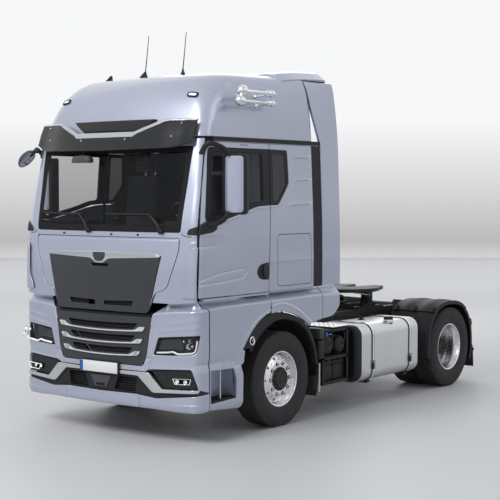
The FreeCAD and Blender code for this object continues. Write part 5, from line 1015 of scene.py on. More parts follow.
def bumperPanels():
    rear = [side(-1.264, 0.590), side(-1.264, 1.318), side(-1.282, 1.350), side(-1.385, 1.432)]
    half = [(0.600, 0.706), (0.650, 0.733), (1.146, 0.760), (1.222, 0.560), side(-1.264, 0.520)] + rear[1:] + \
           [(1.05, 1.402), (0.845, 1.396), (0.693, 1.286), (0.680, 1.254), (0.614, 0.854), (0.568, 0.757)]
    corners = [0.01, 0.02, 0.03, 0.0, 0.0, 0.012, 0.012, 0.01, 0.02, 0.02, 0.02, 0.02, 0.05, 0.03]
    outline = rounded(bothHalves(half), corners + corners[::-1], 0.03)
    lamp = np.array([(0.700, 0.880), (0.950, 0.888), (1.198, 0.910), (1.245, 1.096), (1.10, 1.086), (0.760, 1.056)])
    lampLoop = rounded(lamp, [0.02, 0.3, 0.045, 0.02, 0.3, 0.02], 0.03)
    shape = Relief(lowSkin)
    for k in (1, -1):
        shape.line([(k * 0.72, 1.291), (k * 0.915, 1.310), (k * 1.20, 1.326), (k * 1.344, 1.333)], 0.010, 0.0)
        shape.line([(k * 0.756, 1.103), (k * 1.0, 1.130), (k * 1.262, 1.168)], 0.014, 0.007, step=0.05,
                   fade=(0.03, 0.06))
        shape.line([(k * 0.772, 1.172), (k * 1.0, 1.200), (k * 1.279, 1.243)], 0.013, 0.004, step=0.04,
                   fade=(0.10, 0.05))
        shape.line([(k * 0.711, 1.270), (k * 0.622, 1.048), (k * 0.585, 0.833), (k * 0.572, 0.740)], 0.006, -0.006,
                   fade=(0.02, 0.0))
        shape.line([(k * 0.568, 0.838), (k * 0.668, 0.842), (k * 0.632, 0.722)], 0.005, -0.006, fade=(0.0, 0.0))
        shape.line([(k * 1.175, 0.800), (k * 1.36, 0.806)], 0.006, -0.004, fade=(0.05, 0.0))
    panel("bumperSkin", shape, [outline, lampLoop, lampLoop * (-1, 1)], "chassis", "paint", ("front_bumper",),
          grid=(0.06, 0.05), rows=shape.rows(), lip=0.006, depth=0.05)
    chin = [(0.0, 0.338), (0.70, 0.340), (1.0, 0.326), side(-1.262, 0.330), side(-1.262, 0.512), (1.222, 0.503),
            (0.727, 0.449), (0.467, 0.474), (0.0, 0.468)]
    chinShape = Relief(lowSkin, 0.004)
    for k in (1, -1):
        chinShape.line([(k * 0.52, 0.34), (k * 0.52, 0.48)], 0.004, -0.006, fade=(0.0, 0.0))
        chinShape.line([(k * 0.9, 0.388), (k * 1.25, 0.404)], 0.02, 0.006, fade=(0.2, 0.1))
    panel("chinSkin", chinShape, [rounded(bothHalves(chin), 0.01, 0.03)], "chassis", "paint", (), grid=(0.06, 0.03),
          rows=chinShape.rows(), lip=0.006, depth=0.05)
    # bright trim that drops from the plate to the corners
    strip = [(0.0, 0.668), (0.509, 0.659), (0.694, 0.503), (1.212, 0.529), (1.236, 0.562), (0.803, 0.547),
             (0.636, 0.703), (0.0, 0.694)]
    panel("trimBand", Relief(lowSkin, 0.010),
          [rounded(bothHalves(strip), [0, 0.02, 0.03, 0.004, 0.01, 0.02, 0.02, 0, 0, 0.02,
          0.02, 0.01, 0.004, 0.03, 0.02, 0], 0.03)], "chassis", "silver", (), grid=(0.05, 0.02), lip=0.005, depth=0.03)
    # painted shade: a near-black sheet behind the openings stands for the shade inside them
    hollow = [(0.0, 0.44), (0.72, 0.43), (1.20, 0.46), (1.25, 0.62), (1.16, 0.78), (0.60, 0.76), (0.0, 0.74)]
    panel("bumperHollow", Relief(lowSkin, -0.075), [rounded(bothHalves(hollow), 0.01, 0.05)], "chassis", "shadow", (),
          grid=0.06, lip=0.002, depth=0.004)
    # dark plastic between trim and intake, with a slanted tow cover and an intake mesh of thin slats
    web = [(0.0, 0.476), (0.470, 0.481), (0.727, 0.453), (1.222, 0.507), (1.218, 0.532), (0.690, 0.508), (0.505, 0.662),
           (0.0, 0.668)]
    intake = [(0.178, 0.492), (0.462, 0.488), (0.482, 0.628), (0.240, 0.640)]
    panel("intakeFrame", Relief(lowSkin, -0.014), [rounded(bothHalves(web), 0.006, 0.03), rounded(intake, 0.02),
          rounded(intake, 0.02) * (-1, 1)], "chassis", "plastic", (), grid=(0.05, 0.04), lip=0.005, depth=0.05)
    slats = Solid("intakeSlats", "chassis")
    for level in np.arange(0.505, 0.63, 0.024):
        for k in (1, -1):
            row = []
            for x in np.linspace(0.17, 0.49, 9):
                y = float(skin([x * k], [level])[0][1])
                row.append((x * k, y + 0.045, level))
            slats.add(*tube(row, 0.005, 6, 0.7), "plastic")
    cover = [(-0.150, 0.628), (-0.085, 0.505), (0.085, 0.505), (0.150, 0.628)]
    slats.add(*prism(cover, "Y", -1.538, -1.515, 0.006), "trimPlastic")
    slats.add(*prism([(-0.060, 0.520), (-0.060, 0.545), (0.060, 0.545), (0.060, 0.520)], "Y", -1.541, -1.535, 0.002),
              "shadow")
    slats.make()
    # blank number plate on its black carrier
    plate = Solid("numberPlate", "chassis")
    plate.add(*block((-0.278, -1.560, 0.648), (0.278, -1.545, 0.778), 0.005), "plastic")
    plate.add(*block((-0.262, -1.566, 0.657), (0.262, -1.559, 0.769), 0.003), "plateWhite")
    plate.add(*block((-0.260, -1.5672, 0.660), (-0.222, -1.5655, 0.766), 0.001), "blueCap")
    plate.make()


def headlamps():
    # each lamp: black bucket, dark wing-shaped reflector box, three bright bowls at the outer end, light strip, cover
    edge = [(0.706, 0.886), (0.950, 0.894), (1.194, 0.915), (1.240, 1.090), (1.10, 1.080), (0.764, 1.050)]
    loop = rounded(edge, [0.02, 0.3, 0.045, 0.02, 0.3, 0.02], 0.03)
    bucket = Relief(lowSkin, -0.052)
    sides("lampBucket", bucket, [loop], "chassis", "cabinDark", ("front_lamps",), grid=0.05, lip=0.003, depth=-0.045)
    wing = [(0.745, 0.935), (0.97, 0.948), (1.035, 0.930), (1.040, 1.030), (1.00, 1.058), (0.785, 1.034)]
    sides("lampWing", Relief(lowSkin, -0.030), [rounded(wing, 0.02, 0.03)], "chassis", "panel", (), grid=0.04,
          lip=0.006, depth=0.02)
    sides("lampCover", Relief(lowSkin, -0.002), [loop], "chassis", "lens", (), grid=0.05, lip=0.003, depth=0.006)
    for name, k in (("Left", 1), ("Right", -1)):
        inner = Solid("lampInner" + name, "chassis")
        ribbon = [(0.735, 0.904), (0.870, 0.914), (0.925, 0.923), (0.985, 0.905), (1.08, 0.912), (1.160, 0.924),
                  (1.190, 0.95), (1.212, 1.045)]
        path = np.array(curve([(a, b, 0) for a, b in ribbon], 5))[:, :2]
        points = lowSkin(path[:, 0] * k, path[:, 1]) - normalOf(lowSkin, path[:, 0] * k, path[:, 1]) * 0.016 * k
        inner.add(*tube(points, [0.010] * len(points), 8, 0.8), "lampClear")
        for s, t, r in ((1.118, 1.038, 0.021), (1.100, 0.984, 0.030), (1.050, 1.030, 0.015), (1.158, 0.985, 0.016)):
            spot = lowSkin([s * k], [t])[0]
            facing = normalOf(lowSkin, np.array([s * k]), np.array([t]))[0] * k
            facing = facing / np.linalg.norm(facing)
            base = Vector(spot) - Vector(facing) * 0.048
            look = Vector((0.30 * k, -1.0, -0.02)).normalized()
            bowl = [(0.0, 0.30 * r), (0.006, 0.62 * r), (0.018, 0.88 * r), (0.020, 0.97 * r), (0.012, r)]
            inner.add(*turnedBowl(bowl, base, look, 22), "chrome")
            inner.add(*turnedBowl([(0.012, 0.0), (0.010, 0.30 * r), (0.003, 0.52 * r)], base, look, 16), "panel")
        inner.make()


def turnedBowl(profile, base, look, count):
    side1 = look.orthogonal().normalized()
    side2 = look.cross(side1)
    points, rings = [], []
    for along, radius in profile:
        ring = []
        for i in range(count):
            a = math.tau * i / count
            ring.append(len(points))
            points.append(tuple(base + look * along + (side1 * math.cos(a) + side2 * math.sin(a)) * radius))
        rings.append(ring)
    faces = lofted(rings)
    if profile[0][1] == 0.0:
        return points, faces
    return points, faces + [tuple(rings[0])[::-1]]


def fogLamps():
    edge = [(0.652, 0.728), (1.140, 0.755), (1.214, 0.566), (0.812, 0.553)]
    sides("fogPanel", Relief(lowSkin, -0.022), [rounded(edge, [0.02, 0.03, 0.02, 0.02], 0.03),
          rounded([(0.930, 0.600), (1.110, 0.606), (1.128, 0.664), (0.905, 0.655)], 0.008, 0.02)], "chassis", "plastic",
          (), grid=0.04, lip=0.006, depth=0.03)
    for name, k in (("Left", 1), ("Right", -1)):
        lamp = Solid("fogLamp" + name, "chassis")
        frameLoop = rounded([(0.912, 0.655), (1.122, 0.664), (1.104, 0.606), (0.940, 0.600)], 0.008, 0.012)
        ring = lowSkin(frameLoop[:, 0] * k, frameLoop[:, 1]) - normalOf(lowSkin, frameLoop[:, 0] * k,
                frameLoop[:, 1]) * 0.030 * k
        lamp.add(*tube(np.vstack([ring, ring[:1]]), 0.0045, 6), "lampClear")
        for s in (0.968, 1.062):
            spot = lowSkin([s * k], [0.632])[0]
            base = Vector(spot) + Vector((0, 0.032, 0))
            lamp.add(*turnedBowl([(0.0, 0.010), (0.014, 0.020), (0.016, 0.023)], base,
                                 Vector((0.2 * k, -1, 0)).normalized(), 16), "chrome")
            lamp.add(*turnedBowl([(0.012, 0.0), (0.008, 0.010)], base, Vector((0.2 * k, -1, 0)).normalized(), 12),
                     "lampClear")
        lamp.make()


def lowerGrille():
    values = {"levels": (1.150, 1.028, 0.903), "halves": (0.606, 0.575, 0.543)}
    face = Relief(lowSkin, -0.006)
    frameHalf = [(0.0, 0.762), (0.560, 0.762), (0.608, 0.856), (0.676, 1.252), (0.0, 1.252)]
    holes = []
    for level, half in zip(values["levels"], values["halves"]):
        top = level + 0.030
        slot = [(-half + 0.172, level - 0.030), (0.0, level - 0.040), (half - 0.172, level - 0.030),
                (half - 0.110, top), (0.0, top - 0.012), (-half + 0.110, top)]
        holes.append(dense(roundOff(slot, [0.01, 0.3, 0.01, 0.01, 0.3, 0.01]), 0.04))
    panel("grilleFrame", face, [rounded(bothHalves(frameHalf), [0, 0.05, 0.05, 0.02, 0, 0, 0.02, 0.05, 0.05, 0],
                                        0.04)] + holes,
          "chassis", "panel", ("lower_grille",), grid=(0.06, 0.03), lip=0.006, depth=0.045)
    # painted shade: a near-black sheet behind the grille's slots stands for the shade inside
    back = [(0.0, 0.78), (0.55, 0.78), (0.64, 1.24), (0.0, 1.24)]
    panel("grilleDepth", Relief(lowSkin, -0.055), [rounded(bothHalves(back), 0.01, 0.06)], "chassis", "shadow", (),
          grid=0.08, lip=0.002, depth=0.003)
    bars = Solid("grilleBars", "chassis", sharp=0.5)
    for level, half in zip(values["levels"], values["halves"]):
        reach = np.concatenate([np.linspace(0, 0.030, 4), np.linspace(0.030, 0.072, 5)[1:],
                                np.linspace(0.072, 0.125, 6)[1:], np.linspace(0.125, half, 15)[1:]])
        xs = np.concatenate([-(half - reach), (half - reach)[::-1][1:]])
        rows = [[], [], [], [], [], []]
        for x in xs:
            inner = half - abs(x)
            low = level - 0.041 - 0.022 * (1 - (x / half) ** 2) + 0.038 * max(0.0, 1 - inner / 0.030)
            high = max(level - 0.041 - 0.022 * (1 - (x / half) ** 2) + 0.017,
                       level + 0.004 - 0.030 * max(0.0, inner - 0.072) / 0.053)
            y = float(lowSkin([x], [level])[0][1])
            out = 0.013
            for row, (z, dy) in zip(rows, ((low + 0.001, 0.014), (low, -out + 0.003), (low + 0.002, -out),
                                           (high - 0.003, -out + 0.003), (high, -out + 0.007), (high, 0.014))):
                row.append((x, y + dy, z))
        bars.add(*loft(rows, False, False), "chrome")
        # dark body of the bar and thin slats in the opening above
        for step in (-0.022, -0.006, 0.010):
            row = [(x, float(lowSkin([x], [level])[0][1]) + 0.034, level + step - 0.014 * (1 - (x / half) ** 2))
                   for x in np.linspace(-half + 0.10, half - 0.10, 20)]
            bars.add(*tube(row, 0.0055, 6, 0.8), "plastic")
    bars.make()
    # wide dark lip that closes the gap under the upper panel
    lipRows = []
    for z, dy in ((1.255, 0.010), (1.262, 0.004), (1.275, 0.020), (1.300, 0.060)):
        lipRows.append([(x, float(skin([x], [1.25])[0][1]) + dy, z) for x in np.linspace(-0.66, 0.66, 24)])
    lip = Solid("grilleLip", "chassis")
    lip.add(*loft(lipRows, False, False), "plastic")
    lip.make()


def frontFlap():
    dark = [(0.0, 1.290), (0.640, 1.290), (0.676, 1.425), (0.790, 1.858), (0.0, 1.858)]
    shape = Relief(skin)
    # the flap's upper edge rolls in under the screen
    shape.line([(float(atX(-0.99, 2.028)), 2.028), (float(atX(0.99, 2.028)), 2.028)], 0.012, -0.004, fade=(0.0, 0.0))
    # painted field above and beside the dark panel: an arch-shaped outline
    frame = [(0.6335, 1.2965), (0.680, 1.425), (0.724, 1.497), (0.858, 1.541), (0.997, 1.921), (0.997, 2.038)]
    arch = [(float(atX(x, z)), z) for x, z in [(0.6345, 1.2975)] + frame[1:]]
    ring = arch + [(-a, b) for a, b in reversed(arch)] + [(-0.6815, 1.430), (-0.797, 1.866), (0.797, 1.866),
                                                          (0.6815, 1.430)]
    ring[0] = (0.640, 1.310)
    ring[11] = (-0.640, 1.310)
    loop = dense(roundOff(ring, [0.0, 0.01, 0.03, 0.06, 0.08, 0.03, 0.03, 0.08, 0.06, 0.03, 0.01, 0.0, 0.0, 0.02, 0.02,
                                 0.0]), 0.03)
    panel("flapSkin", shape, [loop], "front_flap", "paint", ("front_flap",), grid=(0.06, 0.05), rows=shape.rows(),
          depth=0.026)
    slots = [rounded([(0.062, 1.352), (0.062, 1.392), (0.455, 1.404), (0.425, 1.352)], 0.006, 0.03)]
    slots.append(slots[0] * (-1, 1))
    notch = rounded([(-0.130, 1.770), (0.130, 1.770), (0.110, 1.742), (-0.110, 1.742)], 0.01, 0.03)
    cover = Relief(skin, 0.006)
    panel("upperGrillePanel", cover, [rounded(bothHalves(dark), [0, 0.04, 0.05, 0.012, 0, 0, 0.012, 0.05, 0.04, 0],
                                              0.035)] + slots + [notch],
          "front_flap", "panel", ("upper_grille",), grid=(0.06, 0.05), lip=0.006, depth=0.028)
    # painted shade: a near-black sheet behind the upper panel's slots stands for the shade inside
    panel("upperGrilleDepth", Relief(skin, -0.024),
          [rounded(bothHalves([(0.0, 1.33), (0.60, 1.33), (0.66, 1.80), (0.0, 1.80)]), 0.01, 0.06)],
          "front_flap", "shadow", (), grid=0.09, lip=0.002, depth=0.003)
    # bright wing strip: thin ends, and a shield that holds a blank dark plate
    wing = [(0.0, 1.775), (0.052, 1.776), (0.098, 1.806), (0.135, 1.822), (0.772, 1.846), (0.786, 1.862),
            (0.730, 1.884), (0.0, 1.902)]
    strip = Relief(skin, 0.016)
    strip.line([(-0.75, 1.868), (0.75, 1.868)], 0.02, 0.006, step=0.03, fade=(0.1, 0.1))
    panel("wingStrip", strip, [rounded(bothHalves(wing), [0, 0.01, 0.02, 0.03, 0.01, 0.008, 0.02, 0, 0, 0.02, 0.008,
                                                          0.01, 0.03, 0.02, 0.01, 0], 0.03)],
          "front_flap", "silver", ("wing_strip",), grid=(0.05, 0.012), rows=strip.rows(), lip=0.006, depth=0.022)
    shield = [(0.0, 1.794), (0.046, 1.795), (0.082, 1.842), (0.088, 1.884), (0.0, 1.886)]
    panel("wingShield", Relief(skin, 0.021),
          [rounded(bothHalves(shield), [0, 0.01, 0.01, 0.01, 0, 0, 0.01, 0.01, 0.01, 0], 0.02)],
          "front_flap", "panel", (), grid=0.02, lip=0.002, depth=0.008)


bumperPanels()
headlamps()
fogLamps()
lowerGrille()
frontFlap()
print("lower front made")


# entry panels, arches, skirts and deflectors
def skirtPanels():
    outline = [(-1.248, 0.338), (-1.248, 1.325), (-1.262, 1.350), (-1.360, 1.424), (-0.284, 1.424), (-0.246, 1.375),
               (-0.249, 1.254), (-0.455, 1.166), (-0.600, 1.046), (-0.728, 0.893), (-0.690, 0.886), (-0.708, 0.758),
               (-0.757, 0.744), (-0.716, 0.640), (-0.722, 0.312), (-0.760, 0.302)]
    radius = [0.01, 0.01, 0.01, 0.01, 0.02, 0.03, 0.01, 0.2, 0.2, 0.01, 0.012, 0.02, 0.02, 0.02, 0.02, 0.02]
    well = [(-1.236, 0.733), (-0.873, 0.722), (-0.826, 0.600), (-0.832, 0.417), (-1.236, 0.404)]
    shape = Relief(lowSkin)
    shape.line([side(-1.25, 1.336), side(-0.80, 1.345), side(-0.25, 1.352)], 0.012, 0.0)
    lip = [p[1:] for p in curve([(0, -0.763, 0.906), (0, -0.640, 1.062), (0, -0.471, 1.200), (0, -0.241, 1.289)], 5)]
    shape.line([side(y, z) for y, z in lip], 0.010, -0.006, fade=(0.02, 0.0))
    shape.line([side(y, z) for y, z in ((-1.25, 0.800), (-1.02, 0.806))], 0.006, -0.004, fade=(0.0, 0.05))
    shape.line([side(y, z) for y, z in ((-0.87, 0.748), (-0.775, 0.757), (-0.757, 0.900))], 0.005, -0.004,
               fade=(0.0, 0.0))
    sides("entryPanel", shape, [sideLoop(outline, 0.03, radius), sideLoop(well, 0.04, [0.01, 0.02, 0.02, 0.01, 0.01])],
          "chassis", "paint", ("entry_panels",), grid=(0.06, 0.05), rows=shape.rows(), lip=0.005, depth=0.04)
    # bright edge right under the door
    edge = [(-1.372, 1.450), (-1.340, 1.424), (-0.292, 1.432), (-0.300, 1.452)]
    sides("entryEdge", Relief(skin, -0.001), [sideLoop(edge, 0.04, 0.004)], "chassis", "paint", (), grid=0.06,
          lip=0.005, depth=0.05)
    # cab skirt behind the seam with its wide arch lip
    skirt = [(-0.284, 1.450), (-0.238, 1.375), (-0.240, 1.226), (-0.05, 1.240), (0.20, 1.188), (0.40, 1.084),
             (0.466, 1.034), (0.492, 1.084), (0.559, 1.080), (0.700, 1.100), (0.700, 1.450)]
    radius = [0.01, 0.03, 0.01, 0.3, 0.3, 0.2, 0.01, 0.02, 0.05, 0.01, 0.01]
    rear = Relief(lowSkin)
    wide = [p[1:] for p in curve([(0, -0.26, 1.288), (0, -0.035, 1.312), (0, 0.224, 1.231), (0, 0.441, 1.098),
                                  (0, 0.500, 1.060)], 5)]
    rear.line([side(y, z) for y, z in wide], 0.026, 0.008, fade=(0.0, 0.03))
    rear.line([side(-0.25, 1.352), side(0.72, 1.362)], 0.012, 0.0)
    sides("cabSkirt", rear, [sideLoop(skirt, 0.03, radius)], "cab", "paint", (), grid=(0.06, 0.05), rows=rear.rows(),
          lip=0.005, depth=0.03)
    tail = [(0.708, 1.101), (0.919, 1.119), (1.040, 1.222), (1.040, 1.450), (0.708, 1.450)]
    sides("skirtTail", Relief(lowSkin), [sideLoop(tail, 0.03, [0.01, 0.05, 0.03, 0.01, 0.01])], "cab", "paint",
          ("air_deflectors",), grid=(0.06, 0.05), lip=0.005, depth=0.03)
    for name, k in (("Left", 1), ("Right", -1)):
        # step well: floor with teeth, walls, rear wall and the bright post
        wellBox = Solid("stepWell" + name, "chassis")
        front, rearY, low, high, out, deep = -1.240, -0.835, 0.408, 0.735, 1.196, 1.030
        wall = [((out, front, low), (deep, front, low), (deep, rearY - 0.03, low), (out, rearY, low)),
                ((out, front, high), (deep, front, high), (deep, rearY - 0.04, high), (out, rearY - 0.04, high))]
        points = [p for row in wall for p in row]
        faces = [(0, 1, 5, 4), (1, 2, 6, 5), (2, 3, 7, 6), (4, 5, 6, 7), (0, 3, 2, 1)]
        wellBox.add([(k * a, b, c) for a, b, c in points], faces if k > 0 else [f[::-1] for f in faces], "paint")
        for i in range(9):
            y = front + 0.03 + i * 0.044
            wellBox.add(*block((k * 1.205, y, 0.408), (k * 1.045, y + 0.012, 0.440), 0.002), "plastic")
        wellBox.add(*block((k * 1.03, front + 0.004, 0.404), (k * 1.21, rearY + 0.004,
                0.428), 0.006), "plastic")
        wellBox.add(*tube([(k * 1.180, -1.045, 0.430), (k * 1.180, -1.045, 0.73)], 0.010, 10), "silver")
        wellBox.make()
        # grab steps above, seen when a door stands open
        treads = Solid("entrySteps" + name, "chassis")
        for level in (0.800, 1.130):
            treads.add(*block((k * 1.02, -1.225, level - 0.035),
                              (k * 1.17, -0.885, level), 0.008), "plastic")
            for i in range(8):
                y = -1.205 + i * 0.041
                treads.add(*block((k * 1.03, y, level - 0.004), (k * 1.165, y + 0.012,
                        level + 0.006), 0.002), "steel")
        treads.make()


def arches():
    # black arch trim, its liner and the round side lamp in its front end
    trim = [(-0.722, 0.895), (-0.620, 1.030), (-0.470, 1.150), (-0.300, 1.213), (-0.050, 1.232), (0.200, 1.180),
            (0.400, 1.075), (0.500, 0.985), (0.590, 0.820), (0.640, 0.600), (0.604, 0.600), (0.555, 0.800),
            (0.440, 0.975), (0.250, 1.104), (0.0, 1.154), (-0.200, 1.135),
            (-0.400, 1.045), (-0.500, 0.950), (-0.552, 0.893)]
    sides("archTrim", Relief(skin, -0.014), [sideLoop(trim, 0.035, [0.01] + [0.2] * 9 + [0.01] + [0.2] * 7 + [0.01])],
          "chassis", "plastic", (), grid=0.05, lip=0.008, depth=0.06)
    for name, k in (("Left", 1), ("Right", -1)):
        liner = Solid("archLiner" + name, "chassis", ("front_mudguards",))
        path = []
        for a in np.radians(np.linspace(148, 8, 25)):
            path.append((0.655 * math.cos(a), 0.507 + 0.650 * math.sin(a)))
        path += [(0.650, 0.50), (0.632, 0.36), (0.618, 0.275)]
        rows = []
        for x, dr in ((1.205, 0.0), (1.190, -0.006), (1.165, -0.006), (1.155, 0.002), (0.800, 0.002), (0.790, -0.012),
                      (0.775, -0.012), (0.765, 0.03), (0.775, 0.045), (1.19, 0.022), (1.205, 0.0)):
            rows.append([(k * x, y * (1 + dr / 0.65), 0.507 + (z - 0.507) * (1 + dr / 0.65)) for y, z in path])
        points, faces = loft(rows, False, False)
        liner.add(points, faces if k < 0 else [f[::-1] for f in faces], "plastic")
        # ribs across the liner's outside and the rubber flap behind the wheel
        liner.add(*block((k * 0.80, 0.618, 0.245), (k * 1.19, 0.630, 0.470), 0.004), "rubber")
        for i in range(6):
            x = k * (0.83 + i * 0.064)
            liner.add(*block((x - 0.004, 0.614, 0.26), (x + 0.004, 0.622, 0.44), 0.001), "rubber")
        spot = Vector((k * 1.206, -0.563, 0.969))
        look = Vector((k, 0, 0))
        liner.add(*turnedBowl([(0.0, 0.046), (0.012, 0.045), (0.017, 0.038), (0.012, 0.032)], spot, look, 28), "chrome")
        liner.add(*turnedBowl([(0.010, 0.0), (0.011, 0.020), (0.008, 0.031)], spot, look, 24), "shadow")
        liner.add(*turnedBowl([(0.0, 0.019), (0.018, 0.018), (0.019, 0.012), (0.014, 0.010)],
                              spot + Vector((0, 0.010, 0.004)), look, 20), "chrome")
        liner.make()


def deflectors():
    outline = [(0.694, 1.462), (0.693, 2.40), (0.692, 3.03), (0.640, 3.16), (0.548, 3.42), (0.512, 3.700),
               (0.984, 3.700), (1.010, 3.40), (1.038, 3.00), (1.040, 1.462)]
    shape = Relief(skin, 0.001)
    shape.line([side(0.66, 1.757), side(1.06, 1.760)], 0.014, 0.0042, step=0.05, fade=(0.0, 0.0))
    sides("deflectorSkin", shape, [sideLoop(outline, 0.04, [0.01, 0.3, 0.1, 0.2, 0.3, 0.03, 0.02, 0.3, 0.3, 0.01])],
          "cab", "paint", (), grid=(0.07, 0.10), lip=0.006, depth=0.028, back=True)
    # roof spoiler: slab with a rolled front, sides that drop to the deflectors and stays below
    spoiler = Solid("roofSpoiler", "cab", sharp=0.5)
    rows = []
    for y, top, low in ((0.125, 3.752, 3.738), (0.140, 3.768, 3.736), (0.20, 3.785, 3.738), (0.45, 3.812, 3.760),
                        (0.75, 3.830, 3.785), (0.95, 3.835, 3.800), (0.980, 3.828, 3.808)):
        ring = []
        for half, level, across in ((1.060, top, np.linspace(-1, 1, 25)), (1.048, low, np.linspace(1, -1, 25))):
            for x in across:
                drop = 0.090 * max(0.0, (abs(x) - 0.86) / 0.14) ** 2
                ring.append((x * half, y, level - drop))
        rows.append(ring)
    spoiler.add(*loft(rows, True, True), "paint")
    for x in (-0.70, -0.25, 0.25, 0.70):
        spoiler.add(*tube([(x, 0.62, 3.735), (x, 0.70, 3.775)], 0.014, 8), "plastic")
    spoiler.make()
    lip = Solid("spoilerGap", "cab")
    for k in (1, -1):
        lip.add(*tube([(k * 1.050, y, 3.717) for y in (0.50, 0.70, 0.97)], 0.008, 8), "plastic")
    lip.make()
    # pressed ribs of the cab's rear wall
    back = Solid("rearWallRibs", "cab")
    for x in np.linspace(-0.9, 0.9, 7):
        back.add(*loft([[(x - 0.05, 0.602, z), (x - 0.035, 0.6155, z), (x + 0.035, 0.6155, z),
                         (x + 0.05, 0.602, z)] for z in (1.75, 1.80, 2.9, 2.95)], False, False), "paint")
    back.make()


def handles():
    # black flap of the door handle in its dish, and the small foot of the mirror
    dish = [(-0.285, 1.768), (-0.340, 1.766), (-0.445, 1.748), (-0.492, 1.700), (-0.494, 1.650), (-0.455, 1.604),
            (-0.400, 1.588), (-0.291, 1.584)]
    sides("handleDish", Relief(skin, 0.002), [sideLoop(dish, 0.02, [0.012, 0.04, 0.05, 0.04, 0.04, 0.04, 0.04, 0.012])],
          "door_#", "plastic", (), grid=0.04, lip=0.006, depth=0.012)
    flap = Relief(skin, 0.018)
    sides("handleFlap", flap, [sideLoop([(-0.298, 1.756), (-0.380, 1.750), (-0.398, 1.70), (-0.396, 1.64),
                                         (-0.375, 1.604), (-0.302, 1.598)], 0.02, 0.02)], "door_#", "gloss", (),
          grid=0.03, lip=0.010, depth=0.026)
    foot = [(-1.404, 2.078), (-1.380, 2.172), (-1.350, 2.190), (-1.269, 2.222), (-1.150, 2.180), (-1.150, 2.128),
            (-1.215, 2.098)]
    sides("mirrorFoot", Relief(skin, 0.026), [sideLoop(foot, 0.02, [0.012, 0.03, 0.05, 0.05, 0.02, 0.03, 0.06])],
          "door_#", "plastic", (), grid=0.03, lip=0.016, depth=0.04)


skirtPanels()
arches()
deflectors()
handles()
print("sides made")


# wheels
wheelValues = {"tyre": 0.507, "bead": 0.288, "front": 1.033, "outer": 1.079, "inner": 0.733,
               "holes": 10, "holeRing": 0.2285, "nuts": 10, "nutRing": 0.1675}


def tyre(name, body, replaced, x, y, k, drive):
    # carcass: bulged walls with a bead step and two rings, rounded shoulders; tread: ribs or blocks with real grooves
    r = wheelValues["tyre"]
    solid = Solid(name, body, replaced, sharp=0.5)
    centre = (k * x, y, r)
    wall = [(0.124, wheelValues["bead"]), (0.131, 0.294), (0.136, 0.302), (0.1375, 0.306), (0.139, 0.308),
            (0.1435, 0.322), (0.1475, 0.345), (0.1480, 0.347), (0.1510, 0.349), (0.1545, 0.375), (0.1560, 0.398),
            (0.1560, 0.410), (0.1550, 0.425), (0.1558, 0.4265), (0.1558, 0.4295), (0.1545, 0.431), (0.1520, 0.450),
            (0.1485, 0.466), (0.1460, 0.470), (0.1445, 0.4735),
            (0.1450, 0.4755), (0.1440, 0.482), (0.1400, 0.4900), (0.1345, 0.4960)]
    floor = 0.4925
    profile = [(-a, b) for a, b in wall] + [(-0.128, floor), (0.128, floor)] + wall[::-1]
    solid.add(*revolve(profile, centre, "X", 96), "rubber")
    # tread ribs: a row of blocks for each rib, with their own sipes; a steer tyre's ribs run on without gaps
    def rib(low, high, count, gap, skew, top, wave=0.0):
        points, faces = [], []
        for i in range(count):
            a0 = math.tau * i / count
            a1 = a0 + math.tau / count * (1 - gap)
            base = len(points)
            cuts = 4
            for j in range(cuts + 1):
                a = a0 + (a1 - a0) * j / cuts
                z = wave * math.cos(math.tau * j / cuts)
                for px, pr in ((low - 0.001, floor - 0.002), (low + 0.001 + z, top - 0.002), (low + 0.003 + z, top),
                               (high - 0.003 + z, top), (high - 0.001 + z, top - 0.002), (high + 0.001, floor - 0.002)):
                    angle = a + skew * (px - low) / max(high - low, 1e-6)
                    rr = pr if 0 < j < cuts else pr - 0.0008
                    points.append((centre[0] + px, y + rr * math.sin(angle), r + rr * math.cos(angle)))
            for j in range(cuts):
                for q in range(5):
                    a, b = base + j * 6 + q, base + (j + 1) * 6 + q
                    faces.append((a, b, b + 1, a + 1))
            faces.append(tuple(base + q for q in range(6)))
            faces.append(tuple(base + cuts * 6 + q for q in range(6))[::-1])
        return points, faces

    if drive:
        for low, high, count, gap, skew in ((-0.1335, -0.080, 52, 0.14, 0.022), (-0.073, -0.028, 52, 0.12, -0.030),
                                            (-0.022, 0.022, 52, 0.12, 0.03), (0.028, 0.073, 52, 0.12, -0.030),
                                            (0.080, 0.1335, 52, 0.14, 0.022)):
            solid.add(*rib(low, high, count, gap, skew, 0.5065), "rubber")
    else:
        for low, high, count, gap, skew in ((-0.1335, -0.086, 60, 0.05, 0.006), (-0.078, -0.032, 60, 0.05, 0.012),
                                            (-0.023, 0.023, 60, 0.05, -0.012), (0.032, 0.078, 60, 0.05, 0.012),
                                            (0.086, 0.1335, 60, 0.05, 0.006)):
            solid.add(*rib(low, high, count, gap, skew, 0.5065, 0.0014), "rubber")
    # short shoulder lugs
    points, faces = [], []
    for side in (-1, 1):
        for i in range(60):
            a = math.tau * (i + 0.5) / 60
            base = len(points)
            for da in (-0.016, 0.016):
                for px, pr in ((0.1350, 0.4945), (0.1455, 0.4835), (0.1466, 0.4760), (0.1440, 0.4750), (0.1340, 0.490)):
                    points.append((centre[0] + side * px, y + pr * math.sin(a + da), r + pr * math.cos(a + da)))
            quads = [tuple(base + q for q in (j, (j + 1) % 5, (j + 1) % 5 + 5, j + 5)) for j in range(5)]
            quads += [tuple(base + q for q in range(5))[::-1], tuple(base + 5 + q for q in range(5))]
            faces += quads if side > 0 else [q[::-1] for q in quads]
    solid.add(points, faces, "rubber")
    return solid


